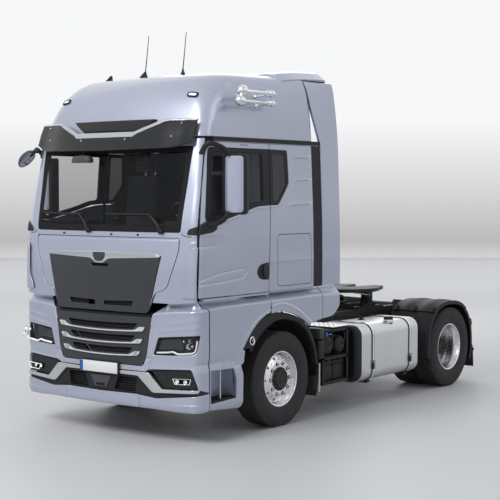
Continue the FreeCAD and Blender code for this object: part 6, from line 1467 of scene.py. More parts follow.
def ringHoles(centreX, y, r, k, plane, inner, outer, holes, holeRing, holeRadius, steps=8):
    # flat ring with round holes, as polygons between the hole's rim and the two circles
    points, faces = [], []
    for i in range(holes):
        a0, a1 = math.tau * i / holes, math.tau * (i + 1) / holes
        middle = (a0 + a1) / 2
        base = len(points)
        rim = []
        for j in range(steps * 4):
            t = math.tau * j / (steps * 4)
            rim.append((holeRing * math.sin(middle) + holeRadius * math.sin(t),
                        holeRing * math.cos(middle) + holeRadius * math.cos(t)))
        frameRing = []
        # outer border walked with the same number of points as the rim, starting over the hole's top
        for j in range(steps * 4):
            t = math.tau * j / (steps * 4)
            d = (math.sin(t), math.cos(t))
            # ray from the hole's middle to the sector's border
            best = 1e9
            ox, oz = holeRing * math.sin(middle), holeRing * math.cos(middle)
            for rad in (inner, outer):
                bq = ox * d[0] + oz * d[1]
                cq = ox * ox + oz * oz - rad * rad
                disc = bq * bq - cq
                if disc >= 0:
                    for root in (-bq - math.sqrt(disc), -bq + math.sqrt(disc)):
                        if root > 1e-6:
                            best = min(best, root)
            for edge in (a0, a1):
                nx, nz = math.cos(edge), -math.sin(edge)
                denominator = d[0] * nx + d[1] * nz
                if abs(denominator) > 1e-9:
                    root = -(ox * nx + oz * nz) / denominator
                    if root > 1e-6:
                        best = min(best, root)
            frameRing.append((ox + d[0] * best, oz + d[1] * best))
        for group in (rim, frameRing):
            for py, pz in group:
                points.append((centreX + k * plane(math.hypot(py, pz)), y + py, r + pz))
        size = steps * 4
        for j in range(size):
            n = (j + 1) % size
            quad = (base + j, base + n, base + size + n, base + size + j)
            faces.append(quad if k < 0 else quad[::-1])
        # wall of the hole
        deep = len(points)
        for py, pz in rim:
            points.append((centreX + k * (plane(math.hypot(py, pz)) - 0.012), y + py, r + pz))
        for j in range(size):
            n = (j + 1) % size
            quad = (base + j, deep + j, deep + n, base + n)
            faces.append(quad if k < 0 else quad[::-1])
    return points, faces


def nutsOn(solid, x, y, k, ring, count, height, finish="steel"):
    r = wheelValues["tyre"]
    for i in range(count):
        a = math.tau * (i + 0.5) / count
        spot = (x, y + ring * math.sin(a), r + ring * math.cos(a))
        # painted shade: each nut sits on a near-black ring that stands for the shade round it; the stud end is
        # near-black as well
        washer = [(0.0, 0.0225), (0.002 * k, 0.0225), (0.003 * k, 0.020), (0.003 * k, 0.0)]
        solid.add(*revolve(washer, spot, "X", 18), "shadow")
        hexagon = [(0.003 * k, 0.0158), (height * 0.62 * k, 0.0158), (height * 0.72 * k, 0.0125),
                   (height * 0.72 * k, 0.0)]
        solid.add(*revolve(hexagon, spot, "X", 6, start=a), finish)
        stud = [(height * 0.7 * k, 0.0085), (height * 1.0 * k, 0.0085), (height * 1.08 * k, 0.006),
                (height * 1.08 * k, 0.0)]
        solid.add(*revolve(stud, spot, "X", 12), "shadow")


def frontWheel(k, label):
    r = wheelValues["tyre"]
    x, y = wheelValues["front"], 0.0
    body = "wheel_front_" + label
    tyre("frontTyre" + label.capitalize(), body, ("front_tyre_" + label,), x, y, k, False).make()
    rim = Solid("frontRim" + label.capitalize(), body, ("front_rim_" + label,), sharp=0.6)
    centre = (k * x, y, r)
    # barrel with both flanges
    barrel = [(-0.122, 0.296), (-0.128, 0.300), (-0.133, 0.296), (-0.132, 0.284), (-0.120, 0.276), (-0.060, 0.262),
              (0.020, 0.258), (0.070, 0.262), (0.085, 0.272), (0.118, 0.277), (0.130, 0.283), (0.134, 0.292),
              (0.131, 0.2995), (0.125, 0.298), (0.121, 0.290), (0.080, 0.284),
              (0.050, 0.274), (-0.050, 0.274), (-0.100, 0.288)]
    solidProfile = [(k * a, b) for a, b in barrel] + [(k * barrel[0][0], barrel[0][1])]
    rim.add(*revolve(solidProfile, centre, "X", 72), "wheelAlloy")
    # disc: dished outwards, smooth shoulder towards the barrel
    plane = lambda rad: 0.118 - 0.014 * smooth((rad - 0.196) / 0.010) - 0.022 * smooth((rad - 0.206) / 0.045)
    rim.add(*ringHoles(k * x, y, r, k, plane, 0.208, 0.249, wheelValues["holes"], wheelValues["holeRing"],
                       0.0140), "wheelAlloy")
    inner = [(k * 0.110, 0.100), (k * 0.117, 0.102), (k * 0.1185, 0.106), (k * 0.1185, 0.150), (k * 0.1185, 0.190),
             (k * 0.116, 0.197), (k * 0.108, 0.203), (k * plane(0.208), 0.208)]
    rim.add(*revolve(inner, centre, "X", 72), "wheelAlloy")
    outer = [(k * plane(0.249), 0.249), (k * 0.078, 0.253), (k * 0.066, 0.257), (k * 0.050, 0.2605)]
    rim.add(*revolve(outer, centre, "X", 72), "wheelAlloy")
    nutsOn(rim, k * (x + 0.118), y, k, wheelValues["nutRing"], wheelValues["nuts"], 0.022, "wheelAlloy")
    # hub: dark cap with a machined rim and its screws
    hub = [(k * 0.090, 0.128), (k * 0.124, 0.126), (k * 0.129, 0.122), (k * 0.130, 0.112), (k * 0.128, 0.108),
           (k * 0.134, 0.104), (k * 0.150, 0.100), (k * 0.154, 0.092), (k * 0.151, 0.084), (k * 0.1505, 0.050),
           (k * 0.155, 0.044), (k * 0.155, 0.0)]
    rim.add(*revolve(hub, centre, "X", 56), "cast")
    for i in range(12):
        a = math.tau * i / 12
        spot = (k * (x + 0.129), y + 0.116 * math.sin(a), r + 0.116 * math.cos(a))
        rim.add(*revolve([(0.0, 0.0065), (k * 0.005, 0.0065), (k * 0.006, 0.0)], spot, "X", 6), "steel")
    # valve
    rim.add(*tube([(k * (x + 0.085), y + 0.250, r - 0.02), (k * (x + 0.120), y + 0.244, r - 0.02)], 0.004, 8), "chrome")
    rim.make()


def rearWheels(k, label):
    r = wheelValues["tyre"]
    y = 3.6
    body = "wheel_rear_" + label
    tyre("rearTyreOuter" + label.capitalize(), body, ("rear_tyres_" + label,), wheelValues["outer"], y, k, True).make()
    tyre("rearTyreInner" + label.capitalize(), body, (), wheelValues["inner"], y, k, True).make()
    rim = Solid("rearRims" + label.capitalize(), body, ("rear_rims_" + label,), sharp=0.6)
    for x, flip in ((wheelValues["outer"], 1), (wheelValues["inner"], -1)):
        centre = (k * x, y, r)
        barrel = [(-0.122, 0.296), (-0.128, 0.300), (-0.133, 0.296), (-0.132, 0.284), (-0.120, 0.276), (-0.060, 0.266),
                  (0.020, 0.258), (0.070, 0.262), (0.085, 0.272), (0.118, 0.277), (0.130, 0.283), (0.134, 0.292),
                  (0.131, 0.2995), (0.125, 0.298), (0.121, 0.290), (0.080, 0.284),
                  (0.050, 0.274), (-0.050, 0.274), (-0.100, 0.288), (-0.122, 0.296)]
        rim.add(*revolve([(k * a * (1 if flip > 0 else -1), b) for a, b in barrel], centre, "X", 72), "wheelAlloy")
    # deep dish of the outer wheel
    dish = [(-0.100, 0.2655), (-0.112, 0.262), (-0.138, 0.252), (-0.150, 0.243), (-0.156, 0.236)]
    plane = lambda rad: -0.159 + 0.006 * smooth((rad - 0.200) / 0.03)
    rim.add(*revolve([(k * a, b) for a, b in [(-0.06, 0.2675)] + dish + [(plane(0.236), 0.236)]],
                     (k * wheelValues["outer"], y, r), "X", 72), "wheelAlloy")
    rim.add(*ringHoles(k * wheelValues["outer"], y, r, k, plane, 0.186, 0.236, wheelValues["holes"], 0.212, 0.0215),
            "wheelAlloy")
    rim.add(*revolve([(k * -0.159, 0.105), (k * -0.159, 0.15), (k * plane(0.186), 0.186)],
                     (k * wheelValues["outer"], y, r), "X", 72), "wheelAlloy")
    nutsOn(rim, k * (wheelValues["outer"] - 0.159), y, k, wheelValues["nutRing"], wheelValues["nuts"], 0.024,
           "wheelAlloy")
    # inner disc seen through the holes
    rim.add(*revolve([(k * 0.0, 0.11), (k * 0.001, 0.262)], (k * 0.897, y, r), "X", 48), "cast")
    # drive hub with its flange and screws, and the axle shaft's cap
    hub = [(k * -0.175, 0.135), (k * -0.150, 0.134), (k * -0.130, 0.130), (k * -0.124, 0.120), (k * -0.060, 0.112),
           (k * -0.040, 0.110), (k * -0.036, 0.116), (k * -0.022, 0.116), (k * -0.018, 0.112), (k * -0.018, 0.062),
           (k * -0.010, 0.056), (k * 0.004, 0.050), (k * 0.006, 0.0)]
    rim.add(*revolve(hub, (k * wheelValues["outer"], y, r), "X", 56), "cast")
    for i in range(12):
        a = math.tau * i / 12
        spot = (k * (wheelValues["outer"] - 0.018), y + 0.092 * math.sin(a), r + 0.092 * math.cos(a))
        rim.add(*revolve([(0.0, 0.010), (k * 0.010, 0.010), (k * 0.012, 0.0)], spot, "X", 6), "steel")
    rim.add(*tube([(k * (wheelValues["outer"] + 0.04), y + 0.248, r), (k * (wheelValues["outer"] + 0.095), y + 0.240,
            r)], 0.004, 8), "chrome")
    rim.make()


for k, label in ((1, "left"), (-1, "right")):
    frontWheel(k, label)
    rearWheels(k, label)
print("wheels made")


# visor, wipers, mirrors and what stands on the roof
def visorPlace(x):
    # lower and upper edge of the visor at a place across the cab: (height, y) each
    a = abs(x)
    top = float(np.interp(a, (0.0, 0.395, 0.42, 0.705, 0.745, 1.085), (3.098, 3.098, 3.106, 3.214, 3.222, 3.216)))
    low = float(np.interp(a, (0.0, 0.85, 0.96, 1.085), (2.912, 2.926, 2.942, 2.996)))
    front = -1.535 + 0.166 * (a / 1.085) ** 2.6
    return low, front, top


def visor():
    solid = Solid("sunVisor", "cab", ("sun_visor",), sharp=0.5)
    xs = np.concatenate([np.linspace(-1.085, -0.785, 9), np.linspace(-0.785, -0.395, 9)[1:],
                         np.linspace(-0.395, 0.395, 13)[1:], np.linspace(0.395, 0.785, 9)[1:],
                         np.linspace(0.785, 1.085, 9)[1:]])
    rows = []
    for x in xs:
        low, front, top = visorPlace(x)
        slope = 0.42
        def y(z, into=0.0):
            return front + (z - low) * slope + 0.010 * ((z - low) / 0.25 - 0.5) ** 2 + into
        section = [(y(low, 0.012), low + 0.004), (y(low, 0.003), low), (y(low, -0.003), low + 0.003),
                   (y(low + 0.02), low + 0.02), (y((low + top) / 2, -0.006), (low + top) / 2),
                   (y(top - 0.03), top - 0.030), (y(top - 0.004, 0.001), top - 0.004),
                   (y(top, 0.008), top), (y(top, 0.020), top - 0.003), (y(top - 0.03, 0.018), top - 0.030),
                   (y((low + top) / 2, 0.013), (low + top) / 2)]
        rows.append([(x, a, b) for a, b in section])
    solid.add(*loft(rows, True, True), "gloss")
    # bright strip along the stepped upper edge
    band = []
    for x in xs:
        low, front, top = visorPlace(x)
        slope = 0.42
        f = lambda z: front + (z - low) * slope + 0.010 * ((z - low) / 0.25 - 0.5) ** 2
        wide = float(np.interp(abs(x), (0.0, 0.40, 0.44, 0.70, 0.76, 1.085), (0.050, 0.050, 0.036, 0.034, 0.018,
                0.016)))
        band.append([(x, f(top - wide) - 0.0015, top - wide), (x, f(top - wide + 0.002) - 0.006, top - wide + 0.002),
                     (x, f(top - 0.006) - 0.007, top - 0.006), (x, f(top) - 0.002, top + 0.002),
                     (x, f(top) + 0.022, top + 0.002), (x, f(top) + 0.022, top - 0.004)])
    solid.add(*loft(band, True, True), "silver")
    # bolts and the brackets behind
    for x, z in ((-0.855, 3.045), (-0.310, 3.025), (0.310, 3.025), (0.855, 3.045), (-0.93, 3.175), (0.93, 3.175)):
        low, front, top = visorPlace(x)
        y = front + (z - low) * 0.42 - 0.010
        solid.add(*revolve([(0.006, 0.010), (-0.001, 0.010), (-0.004, 0.007), (-0.004, 0.0)], (x, y + 0.001, z), "Y",
                           20), "silver")
    for x in (-0.96, -0.50, 0.50, 0.96):
        low, front, top = visorPlace(x)
        z = 2.985
        y = front + (z - low) * 0.42
        back = float(skin([float(atX(x, z + 0.04))], [z + 0.04])[0][1])
        solid.add(*tube([(x, y + 0.014, z), (x, (y + back) / 2, z + 0.015), (x, back + 0.01, z + 0.04)], 0.011, 8, 1.6),
                  "plastic")
    solid.make()


def wipers():
    solid = Solid("wipers", "cab", sharp=0.5)

    def onGlass(x, z, off):
        s = float(atX(x, z))
        p = skin([s], [z])[0]
        n = normalOf(skin, np.array([s]), np.array([z]))[0]
        return tuple(p + n * off)

    for pivot, elbow, tip, start in ((-0.164, -0.185, -0.300, -0.900), (0.793, 0.765, 0.645, 0.06)):
        solid.add(*revolve([(0.03, 0.028), (-0.020, 0.027), (-0.026, 0.020), (-0.026, 0.0)],
                           onGlass(pivot, 2.105, 0.012), "Y", 22), "plastic")
        solid.add(*tube([onGlass(pivot, 2.105, 0.036), onGlass(elbow, 2.170, 0.048),
                         onGlass((elbow + tip) / 2, 2.225, 0.046), onGlass(tip, 2.264, 0.036)],
                        [0.014, 0.013, 0.010, 0.008], 10, 0.6), "plastic")
        length = tip - start
        arm = [onGlass(tip - length * u, 2.268 + 0.004 * u, 0.032 - 0.004 * u) for u in (0.0, 0.25, 0.5)]
        solid.add(*tube(arm, [0.008, 0.007, 0.005], 8, 0.7), "plastic")
        blade = [onGlass(tip - length * u, 2.268 + 0.004 * u, 0.018) for u in np.linspace(-0.06, 1.0, 14)]
        solid.add(*tube(blade, [0.004] + [0.009] * 12 + [0.004], 8, 1.4), "plastic")
        edge = [onGlass(tip - length * u, 2.262 + 0.004 * u, 0.007) for u in np.linspace(-0.05, 0.99, 14)]
        solid.add(*tube(edge, 0.0035, 6, 2.0), "rubber")
    # washer jets under the screen
    for x in (-0.55, 0.15, 0.50):
        solid.add(*revolve([(0.0, 0.011), (-0.006, 0.010), (-0.009, 0.0)], onGlass(x, 2.070, 0.004), "Y", 12),
                  "plastic")
    solid.make()


def mirrorUnit(k, label):
    # tall swept housing: black shell, painted cover in front, two glasses behind, arms at both ends
    solid = Solid("mirror" + label.capitalize(), "door_" + label, ("mirror_" + label,), sharp=0.6)
    along, ahead = np.array([0.884, 0.467]), np.array([0.467, -0.884])
    corner = np.array([1.226, -1.070])

    def at(across, forward, z):
        p = corner + along * across + ahead * forward
        return (k * p[0], p[1], z)

    def shell(width, low, high, radius, front, back, crown, margin=0.0):
        rows = []
        heights = np.concatenate([low + radius * (1 - np.cos(np.linspace(0, math.pi / 2, 6))),
                                  np.linspace(low + radius, high - radius, 9)[1:-1],
                                  high - radius + radius * np.sin(np.linspace(0, math.pi / 2, 6))])
        for z in heights:
            d = max(low + radius - z, z - (high - radius), 0.0)
            inset = radius - math.sqrt(max(radius ** 2 - d ** 2, 0.0)) + margin
            a0, a1 = inset, width - inset
            ring = []
            for t in np.linspace(0, 1, 9):
                edge = abs(2 * t - 1)
                ring.append(at(a0 + (a1 - a0) * t, front + crown * (1 - edge ** 2.5) - 0.020 * edge ** 6, z))
            ring += [at(a1 + 0.001, front - 0.040, z), at(a1, back + 0.006, z), at(a1 - 0.006, back, z),
                     at(a0 + 0.006, back, z), at(a0, back + 0.006, z), at(a0 - 0.001, front - 0.040, z)]
            rows.append(ring if k < 0 else ring[::-1])
        return loft(rows, True, True)
    solid.add(*shell(0.252, 2.272, 2.872, 0.040, 0.0, -0.105, 0.012), "plastic")
    solid.add(*shell(0.252, 2.294, 2.852, 0.030, 0.008, -0.030, 0.012, 0.016), "paint")
    for low, high in ((2.478, 2.845), (2.305, 2.462)):
        rows = [[at(x, back, z) for x, z in roundRect(0.018 + i, 0.234 - i, low + i, high - i, 0.020)] for back,
                i in ((-0.104, 0.0), (-0.1075, 0.001), (-0.1085, 0.004))]
        solid.add(*loft(rows, True, True), "mirrorGlass")
    upper = curve([(k * 1.185, -1.285, 2.930), (k * 1.215, -1.275, 2.962), (k * 1.262, -1.215, 2.962),
                   (k * 1.300, -1.120, 2.918), (k * 1.302, -1.070, 2.862)], 6)
    solid.add(*tube(upper, [0.024] * len(upper), 12, 0.75), "plastic")
    lower = curve([(k * 1.226, -1.290, 2.165), (k * 1.262, -1.235, 2.180), (k * 1.296, -1.130, 2.225),
                   (k * 1.300, -1.070, 2.285)], 6)
    solid.add(*tube(lower, [0.034] * len(lower), 12, 0.8), "plastic")
    # black corner bracket on the door's upper front corner
    plate = side(-1.290, 2.870), side(-1.235, 2.984), side(-1.085, 2.984), side(-1.085, 2.955), side(-1.205,
            2.945), side(-1.262, 2.860)
    flat = dense(roundOff(plate, [0.01, 0.04, 0.01, 0.01, 0.03, 0.01]), 0.02)
    panel("mirrorBracket" + label.capitalize(), Relief(skin, 0.016), [flat * (1, 1)], "door_" + label, "plastic", (),
          grid=0.03, lip=0.008, depth=0.024, mirrored=k < 0)
    if k < 0:
        # kerb mirror: tilted dish at the end of its arm
        solid.add(*tube(curve([(-1.215, -1.262, 2.945), (-1.255, -1.275, 2.935), (-1.300, -1.290, 2.895)], 5), 0.022,
                        12), "plastic")
        centre = Vector((-1.348, -1.292, 2.850))
        look = Vector((0.62, -0.10, -0.78)).normalized()
        long = Vector((-0.74, 0.0, -0.67)).normalized()
        long = (long - look * long.dot(look)).normalized()
        wide = look.cross(long)
        turns = angles(36)

        def oval(along, grow):
            return [tuple(centre + look * along + (long * math.cos(t) * 0.128 + wide * math.sin(t) * 0.078) * grow)
                    for t in turns]
        shell = ((0.0, 0.97), (0.004, 1.0), (-0.004, 1.02), (-0.022, 1.0), (-0.045, 0.86), (-0.058, 0.60),
                 (-0.064, 0.25), (-0.065, 0.02))
        solid.add(*loft([oval(*ring) for ring in shell], True, True), "trimPlastic")
        solid.add(*loft([oval(0.004, grow) for grow in (0.93, 0.6, 0.05)], True, True), "mirrorGlass")
    solid.make()


def frontMirror():
    solid = Solid("frontMirror", "cab", ("front_mirror",), sharp=0.6)
    rows = []
    for z, grow in ((2.800, 0.90), (2.798, 0.97), (2.806, 1.0), (2.835, 1.0), (2.862, 0.86), (2.872, 0.55),
                    (2.874, 0.1)):
        corners = [squarish(turn, 0.7) for turn in angles(40)]
        rows.append([(-0.300 + 0.135 * grow * c, -1.480 + 0.058 * grow * s, z) for c, s in corners])
    solid.add(*loft(rows, True, True), "trimPlastic")
    solid.add(*revolve([(0.0, 0.0), (0.001, 0.05)], (-0.300, -1.480, 2.7985), "Z", 24), "mirrorGlass")
    solid.add(*tube(curve([(-0.300, -1.470, 2.865), (-0.302, -1.455, 2.905), (-0.305, -1.395, 2.945)], 5), 0.012, 10),
              "plastic")
    solid.make()


def cornerVanes():
    # air vanes at the cab's front corners, standing off, with painted shade along the inner edge: a near-black sheet on
    # the skin stands for the shade in the gap
    outline = [(1.196, 1.960), (1.158, 1.952), (1.128, 1.905), (1.118, 1.620), (1.062, 1.515), (1.050, 1.462),
               (1.190, 1.458)]
    for name, k in (("Left", 1), ("Right", -1)):
        loop = [(k * float(atX(x, z)), z) for x, z in outline]
        panel("cornerVane" + name, Relief(skin, 0.020),
              [dense(roundOff(loop, [0.01, 0.02, 0.04, 0.06, 0.05, 0.02, 0.01]), 0.03)], "cab", "paint", (),
              grid=(0.03, 0.06), lip=0.006, depth=0.007, back=True)
        # painted shade under the vane's inner edge
        shade = [(1.190, 1.930), (1.150, 1.925), (1.135, 1.88), (1.126, 1.62), (1.075, 1.52), (1.185, 1.49)]
        loop = [(k * float(atX(x, z)), z) for x, z in shade]
        panel("vaneSlot" + name, Relief(skin, 0.010), [dense(roundOff(loop, 0.02), 0.03)], "cab", "shadow", (),
              grid=0.05, lip=0.003, depth=0.008)
    # black foot of the mirror arm on the pillar, ahead of the door
    foot = [(1.092, 2.079), (1.112, 2.130), side(-1.3965, 2.160), side(-1.4015, 2.076)]
    for name, k in (("Left", 1), ("Right", -1)):
        loop = [(k * a, z) for a, z in foot]
        panel("pillarFoot" + name, Relief(skin, 0.022), [dense(roundOff(loop, 0.012), 0.02)], "cab", "plastic", (),
              grid=0.03, lip=0.010, depth=0.022)
        seam = Solid("flankSeam" + name, "cab")
        path = [skin([k * a], [z])[0] for a, z in ((1.020, 2.088), (1.060, 2.066), (1.120, 2.057),
                                                   side(-1.4165, 2.052))]
        seam.add(*tube(curve(path, 5), 0.0032, 8), "shadow")
        seam.make()
    # three small black plugs in the frame over the side window
    plugs = Solid("windowPlugs", "door_left")
    for y in (-0.690, -0.645, -0.600):
        plugs.add(*revolve([(-0.004, 0.008), (0.002, 0.008), (0.003, 0.0)],
                           tuple(skin([float(atY(y, 2.972))], [2.972])[0]), "X", 14), "plastic")
    plugs.make()


def roofFittings():
    horns = Solid("airHorns", "cab", ("air_horns",), sharp=0.7)
    for z, bellY in ((3.512, -0.740), (3.412, -0.780)):
        x = 1.225
        # ball-shaped bell with a flat mouth, thin trumpet, double ball at the tail
        dome = [(bellY - 0.056 * math.cos(t), 0.059 * math.sin(t)) for t in np.linspace(0, 1.45, 12)]
        bell = dome + [(bellY - 0.002, 0.0565), (bellY + 0.002, 0.0600), (bellY + 0.018, 0.058), (bellY + 0.038, 0.048),
                       (bellY + 0.054, 0.032), (bellY + 0.068, 0.024),
                       (bellY + 0.095, 0.019), (-0.36, 0.017), (-0.300, 0.017)]
        horns.add(*revolve(bell, (x, 0, z), "Y", 48), "chrome")
        for y, r in ((-0.315, 0.034), (-0.245, 0.038)):
            ball = [(y - r * math.cos(t), r * math.sin(t)) for t in np.linspace(0, math.pi, 13)]
            horns.add(*revolve(ball, (x, 0, z), "Y", 28), "chrome")
        horns.add(*revolve([(-0.215, 0.014), (-0.185, 0.014), (-0.180, 0.010), (-0.180, 0.0)], (x, 0, z), "Y", 18),
                  "chrome")
        for y in (-0.62, -0.36):
            wall = float(skin([float(atY(y, z - 0.03))], [z - 0.03])[0][0])
            horns.add(*tube([(x, y, z), (x - 0.02, y, z - 0.022), (wall - 0.006, y, z - 0.03)], [0.009, 0.010, 0.012],
                            10), "chrome")
            horns.add(*revolve([(0.0, 0.024), (0.006, 0.023), (0.009, 0.016), (0.010, 0.0)],
                               (wall - 0.002, y, z - 0.03), "X", 20), "chrome")
    horns.make()

    fittings = Solid("roofFittings", "cab", ("roof_fittings",), sharp=0.6)

    def roofAt(x, y):
        # height of the roof at a place, from the skin's own points
        ss, ts = np.meshgrid(np.linspace(float(atY(0.4, 3.7)) * np.sign(x or 1), 0, 60), np.linspace(3.60, 4.19, 60))
        p = skin(ss.ravel(), ts.ravel())
        near = np.argmin((p[:, 0] - x) ** 2 + (p[:, 1] - y) ** 2)
        return float(p[near][2])

    for x, y, tip in ((0.230, -0.500, 4.205), (-0.310, -0.500, 4.205)):
        z = roofAt(x, y) - 0.006
        fittings.add(*revolve([(z, 0.036), (z + 0.010, 0.035), (z + 0.022, 0.024), (z + 0.050, 0.012),
                               (z + 0.075, 0.008), (z + 0.085, 0.004), (z + 0.086, 0.0)],
                              (x, y, 0), "Z", 28), "plastic")
        fittings.add(*tube([(x, y, z + 0.07), (x + 0.004, y + 0.020, (z + tip) / 2),
                            (x + 0.010, y + 0.045, tip - 0.004)], [0.0060, 0.0048, 0.0036], 8), "plastic")
    # fins: one on its own, one at the foot of the second whip
    for x, y, size in ((-0.863, -0.500, 1.0), (-0.310, -0.540, 0.9)):
        z = roofAt(x, y) - 0.008
        rows = []
        for t, w in ((0.0, 0.030), (0.35, 0.020), (0.7, 0.010), (1.0, 0.004)):
            front, rear = -0.075 + 0.10 * t, 0.060 - 0.005 * t
            rows.append([(x + w * size * math.sin(a),
                          y + size * ((front + rear) / 2 + (rear - front) / 2 * math.cos(a)), z + 0.085 * size * t)
                         for a in angles(24)])
        fittings.add(*loft(rows, True, True), "plastic")
    # marker lamps at the roof's front corners: black frame round a white lens
    for k in (1, -1):
        s0 = k * float(atX(0.894, 3.465))
        grid = []
        for w, h, lift in ((0.062, 0.026, -0.004), (0.062, 0.026, 0.008), (0.058, 0.022, 0.013), (0.044, 0.013, 0.013),
                           (0.042, 0.012, 0.010)):
            row = []
            for turn in angles(28):
                c, s = squarish(turn, 0.45)
                q = np.array([s0 + c * w]), np.array([3.465 + s * h - 0.10 * c * w * k])
                row.append(tuple(skin(*q)[0] + normalOf(skin, *q)[0] * lift))
            grid.append(row)
        points, faces = loft(grid, True, False)
        fittings.add(points, faces, "plastic")
        middle = skin([s0], [3.465])[0] + normalOf(skin, np.array([s0]), np.array([3.465]))[0] * 0.016
        inner = [tuple(np.array(p) * 0.4 + middle * 0.6) for p in grid[-1]]
        fittings.add(*loft([grid[-1], inner], True, True), "lampClear")
    fittings.make()


visor()
wipers()
mirrorUnit(1, "left")
mirrorUnit(-1, "right")
frontMirror()
cornerVanes()
roofFittings()
print("upper fittings made")


# chassis and what it carries
def drum(solid, sections, finish, mirrored=False):
    # rounded box along y from (y, grow) sections about one outline
    rows = [[(x, y, z) for x, z in roundRect(*outline)] for y, outline in sections]
    solid.add(*loft(rows, True, True), finish, mirrored)


def boltHead(solid, spot, axis, radius=0.011, height=0.008, finish="steel"):
    sign = 1 if axis[0] != "-" else -1
    profile = [(0.0, radius * 1.35), (height * 0.25 * sign, radius * 1.3), (height * 0.3 * sign, radius),
               (height * sign, radius * 0.95), (height * sign, 0.0)]
    solid.add(*revolve(profile, spot, axis[-1], 6), finish)


def fuelTank():
    values = {"x0": 0.560, "x1": 1.212, "z0": 0.285, "z1": 0.948, "front": 1.530, "rear": 2.800, "radius": 0.125}
    v = values
    solid = Solid("fuelTank", "chassis", ("fuel_tank",), sharp=0.55)

    def outline(inset, lift=0.0):
        return (v["x0"] + inset - lift, v["x1"] - inset + lift, v["z0"] + inset - lift, v["z1"] - inset + lift,
                v["radius"] - inset + lift)
    sections = []
    for y, inset in ((v["front"] + 0.006, 0.060), (v["front"] + 0.004, 0.036), (v["front"], 0.024), (v["front"], 0.010),
                     (v["front"] + 0.008, 0.0), (v["front"] + 0.022, -0.0015), (v["front"] + 0.030, 0.001)):
        sections.append((y, outline(inset)))
    # rolled beads near both ends
    for y in (1.60, 1.66, 2.72):
        for dy, depth in ((-0.010, 0.001), (-0.004, -0.0045), (0.004, -0.0045), (0.010, 0.001)):
            sections.append((y + dy, outline(depth)))
    for y, inset in ((v["rear"] - 0.030, 0.001), (v["rear"] - 0.022, -0.0015), (v["rear"] - 0.008, 0.0),
                     (v["rear"], 0.010), (v["rear"], 0.024), (v["rear"] - 0.004, 0.036), (v["rear"] - 0.006, 0.060)):
        sections.append((y, outline(inset)))
    drum(solid, sections, "tankAlloy")
    # straps with rubber under them and their tension bolts
    for y in (1.740, 2.580):
        for width, lift, look in ((0.058, 0.004, "rubber"), (0.036, 0.008, "chrome")):
            rows = []
            for dy, extra in ((-width / 2, 0.0005), (-width / 2, lift), (-width / 2 + 0.002, lift + 0.0015),
                              (width / 2 - 0.002, lift + 0.0015), (width / 2, lift), (width / 2, 0.0005)):
                rows.append((y + 0.023 + dy, outline(0.0, extra)))
            drum(solid, rows, look)
        solid.add(*block((1.200, y + 0.005, 0.42), (1.236, y + 0.041, 0.50), 0.006), "steel")
        solid.add(*revolve([(0.40, 0.0), (0.40, 0.009), (0.52, 0.009), (0.52, 0.0)], (1.228, y + 0.023, 0), "Z", 14),
                  "chrome")
        boltHead(solid, (1.228, y + 0.023, 0.508), "Z", 0.014, 0.012)
        solid.add(*block((0.430, y, 0.50), (0.556, y + 0.046, 0.90), 0.006), "steel")
        solid.add(*block((0.430, y - 0.02, 0.255), (1.15, y + 0.066, 0.2815), 0.005), "steel")
    # filler neck and black cap with its grip ribs
    centre = (1.120, 2.250, 0)
    solid.add(*revolve([(0.925, 0.062), (0.945, 0.062), (0.952, 0.056), (0.965, 0.052)], centre, "Z", 32), "tankAlloy")
    grip = lambda k, i: -0.003 if k in (2, 3) and i % 3 == 0 else 0.0
    solid.add(*revolve([(0.958, 0.0), (0.958, 0.050), (0.962, 0.058), (0.988, 0.056), (0.995, 0.050), (0.998, 0.020),
                        (0.998, 0.0)], centre, "Z", 48, pattern=grip), "plastic")
    # drain plug and level sender
    solid.add(*revolve([(0.29, 0.028), (0.272, 0.028), (0.270, 0.016), (0.262, 0.016), (0.262, 0.0)], (0.88, 2.15, 0),
                       "Z", 18), "steel")
    solid.add(*revolve([(0.945, 0.040), (0.958, 0.040), (0.960, 0.020), (0.980, 0.018), (0.982, 0.0)], (0.80, 2.15, 0),
                       "Z", 22), "plastic")
    solid.add(*tube(curve([(0.80, 2.15, 0.975), (0.72, 2.13, 1.000), (0.60, 2.08, 0.990), (0.46, 2.05, 0.96)], 6),
                    0.010, 8), "rubber")
    solid.make()
    # dark moulded cover over the tank's front end, with upright ribs on its face
    cover = Solid("tankEndCover", "chassis", (), sharp=0.55)
    rows = []
    for y, inset in ((1.440, 0.075), (1.431, 0.055), (1.434, 0.034), (1.445, 0.014), (1.462, 0.004), (1.522, 0.002),
                     (1.524, 0.010)):
        rows.append((y, outline(inset)))
    drum(cover, rows, "plastic")
    for x in (0.70, 0.80, 0.90, 1.00, 1.08):
        cover.add(*block((x - 0.008, 1.424, 0.42), (x + 0.008, 1.436, 0.82), 0.003), "plastic")
    cover.make()


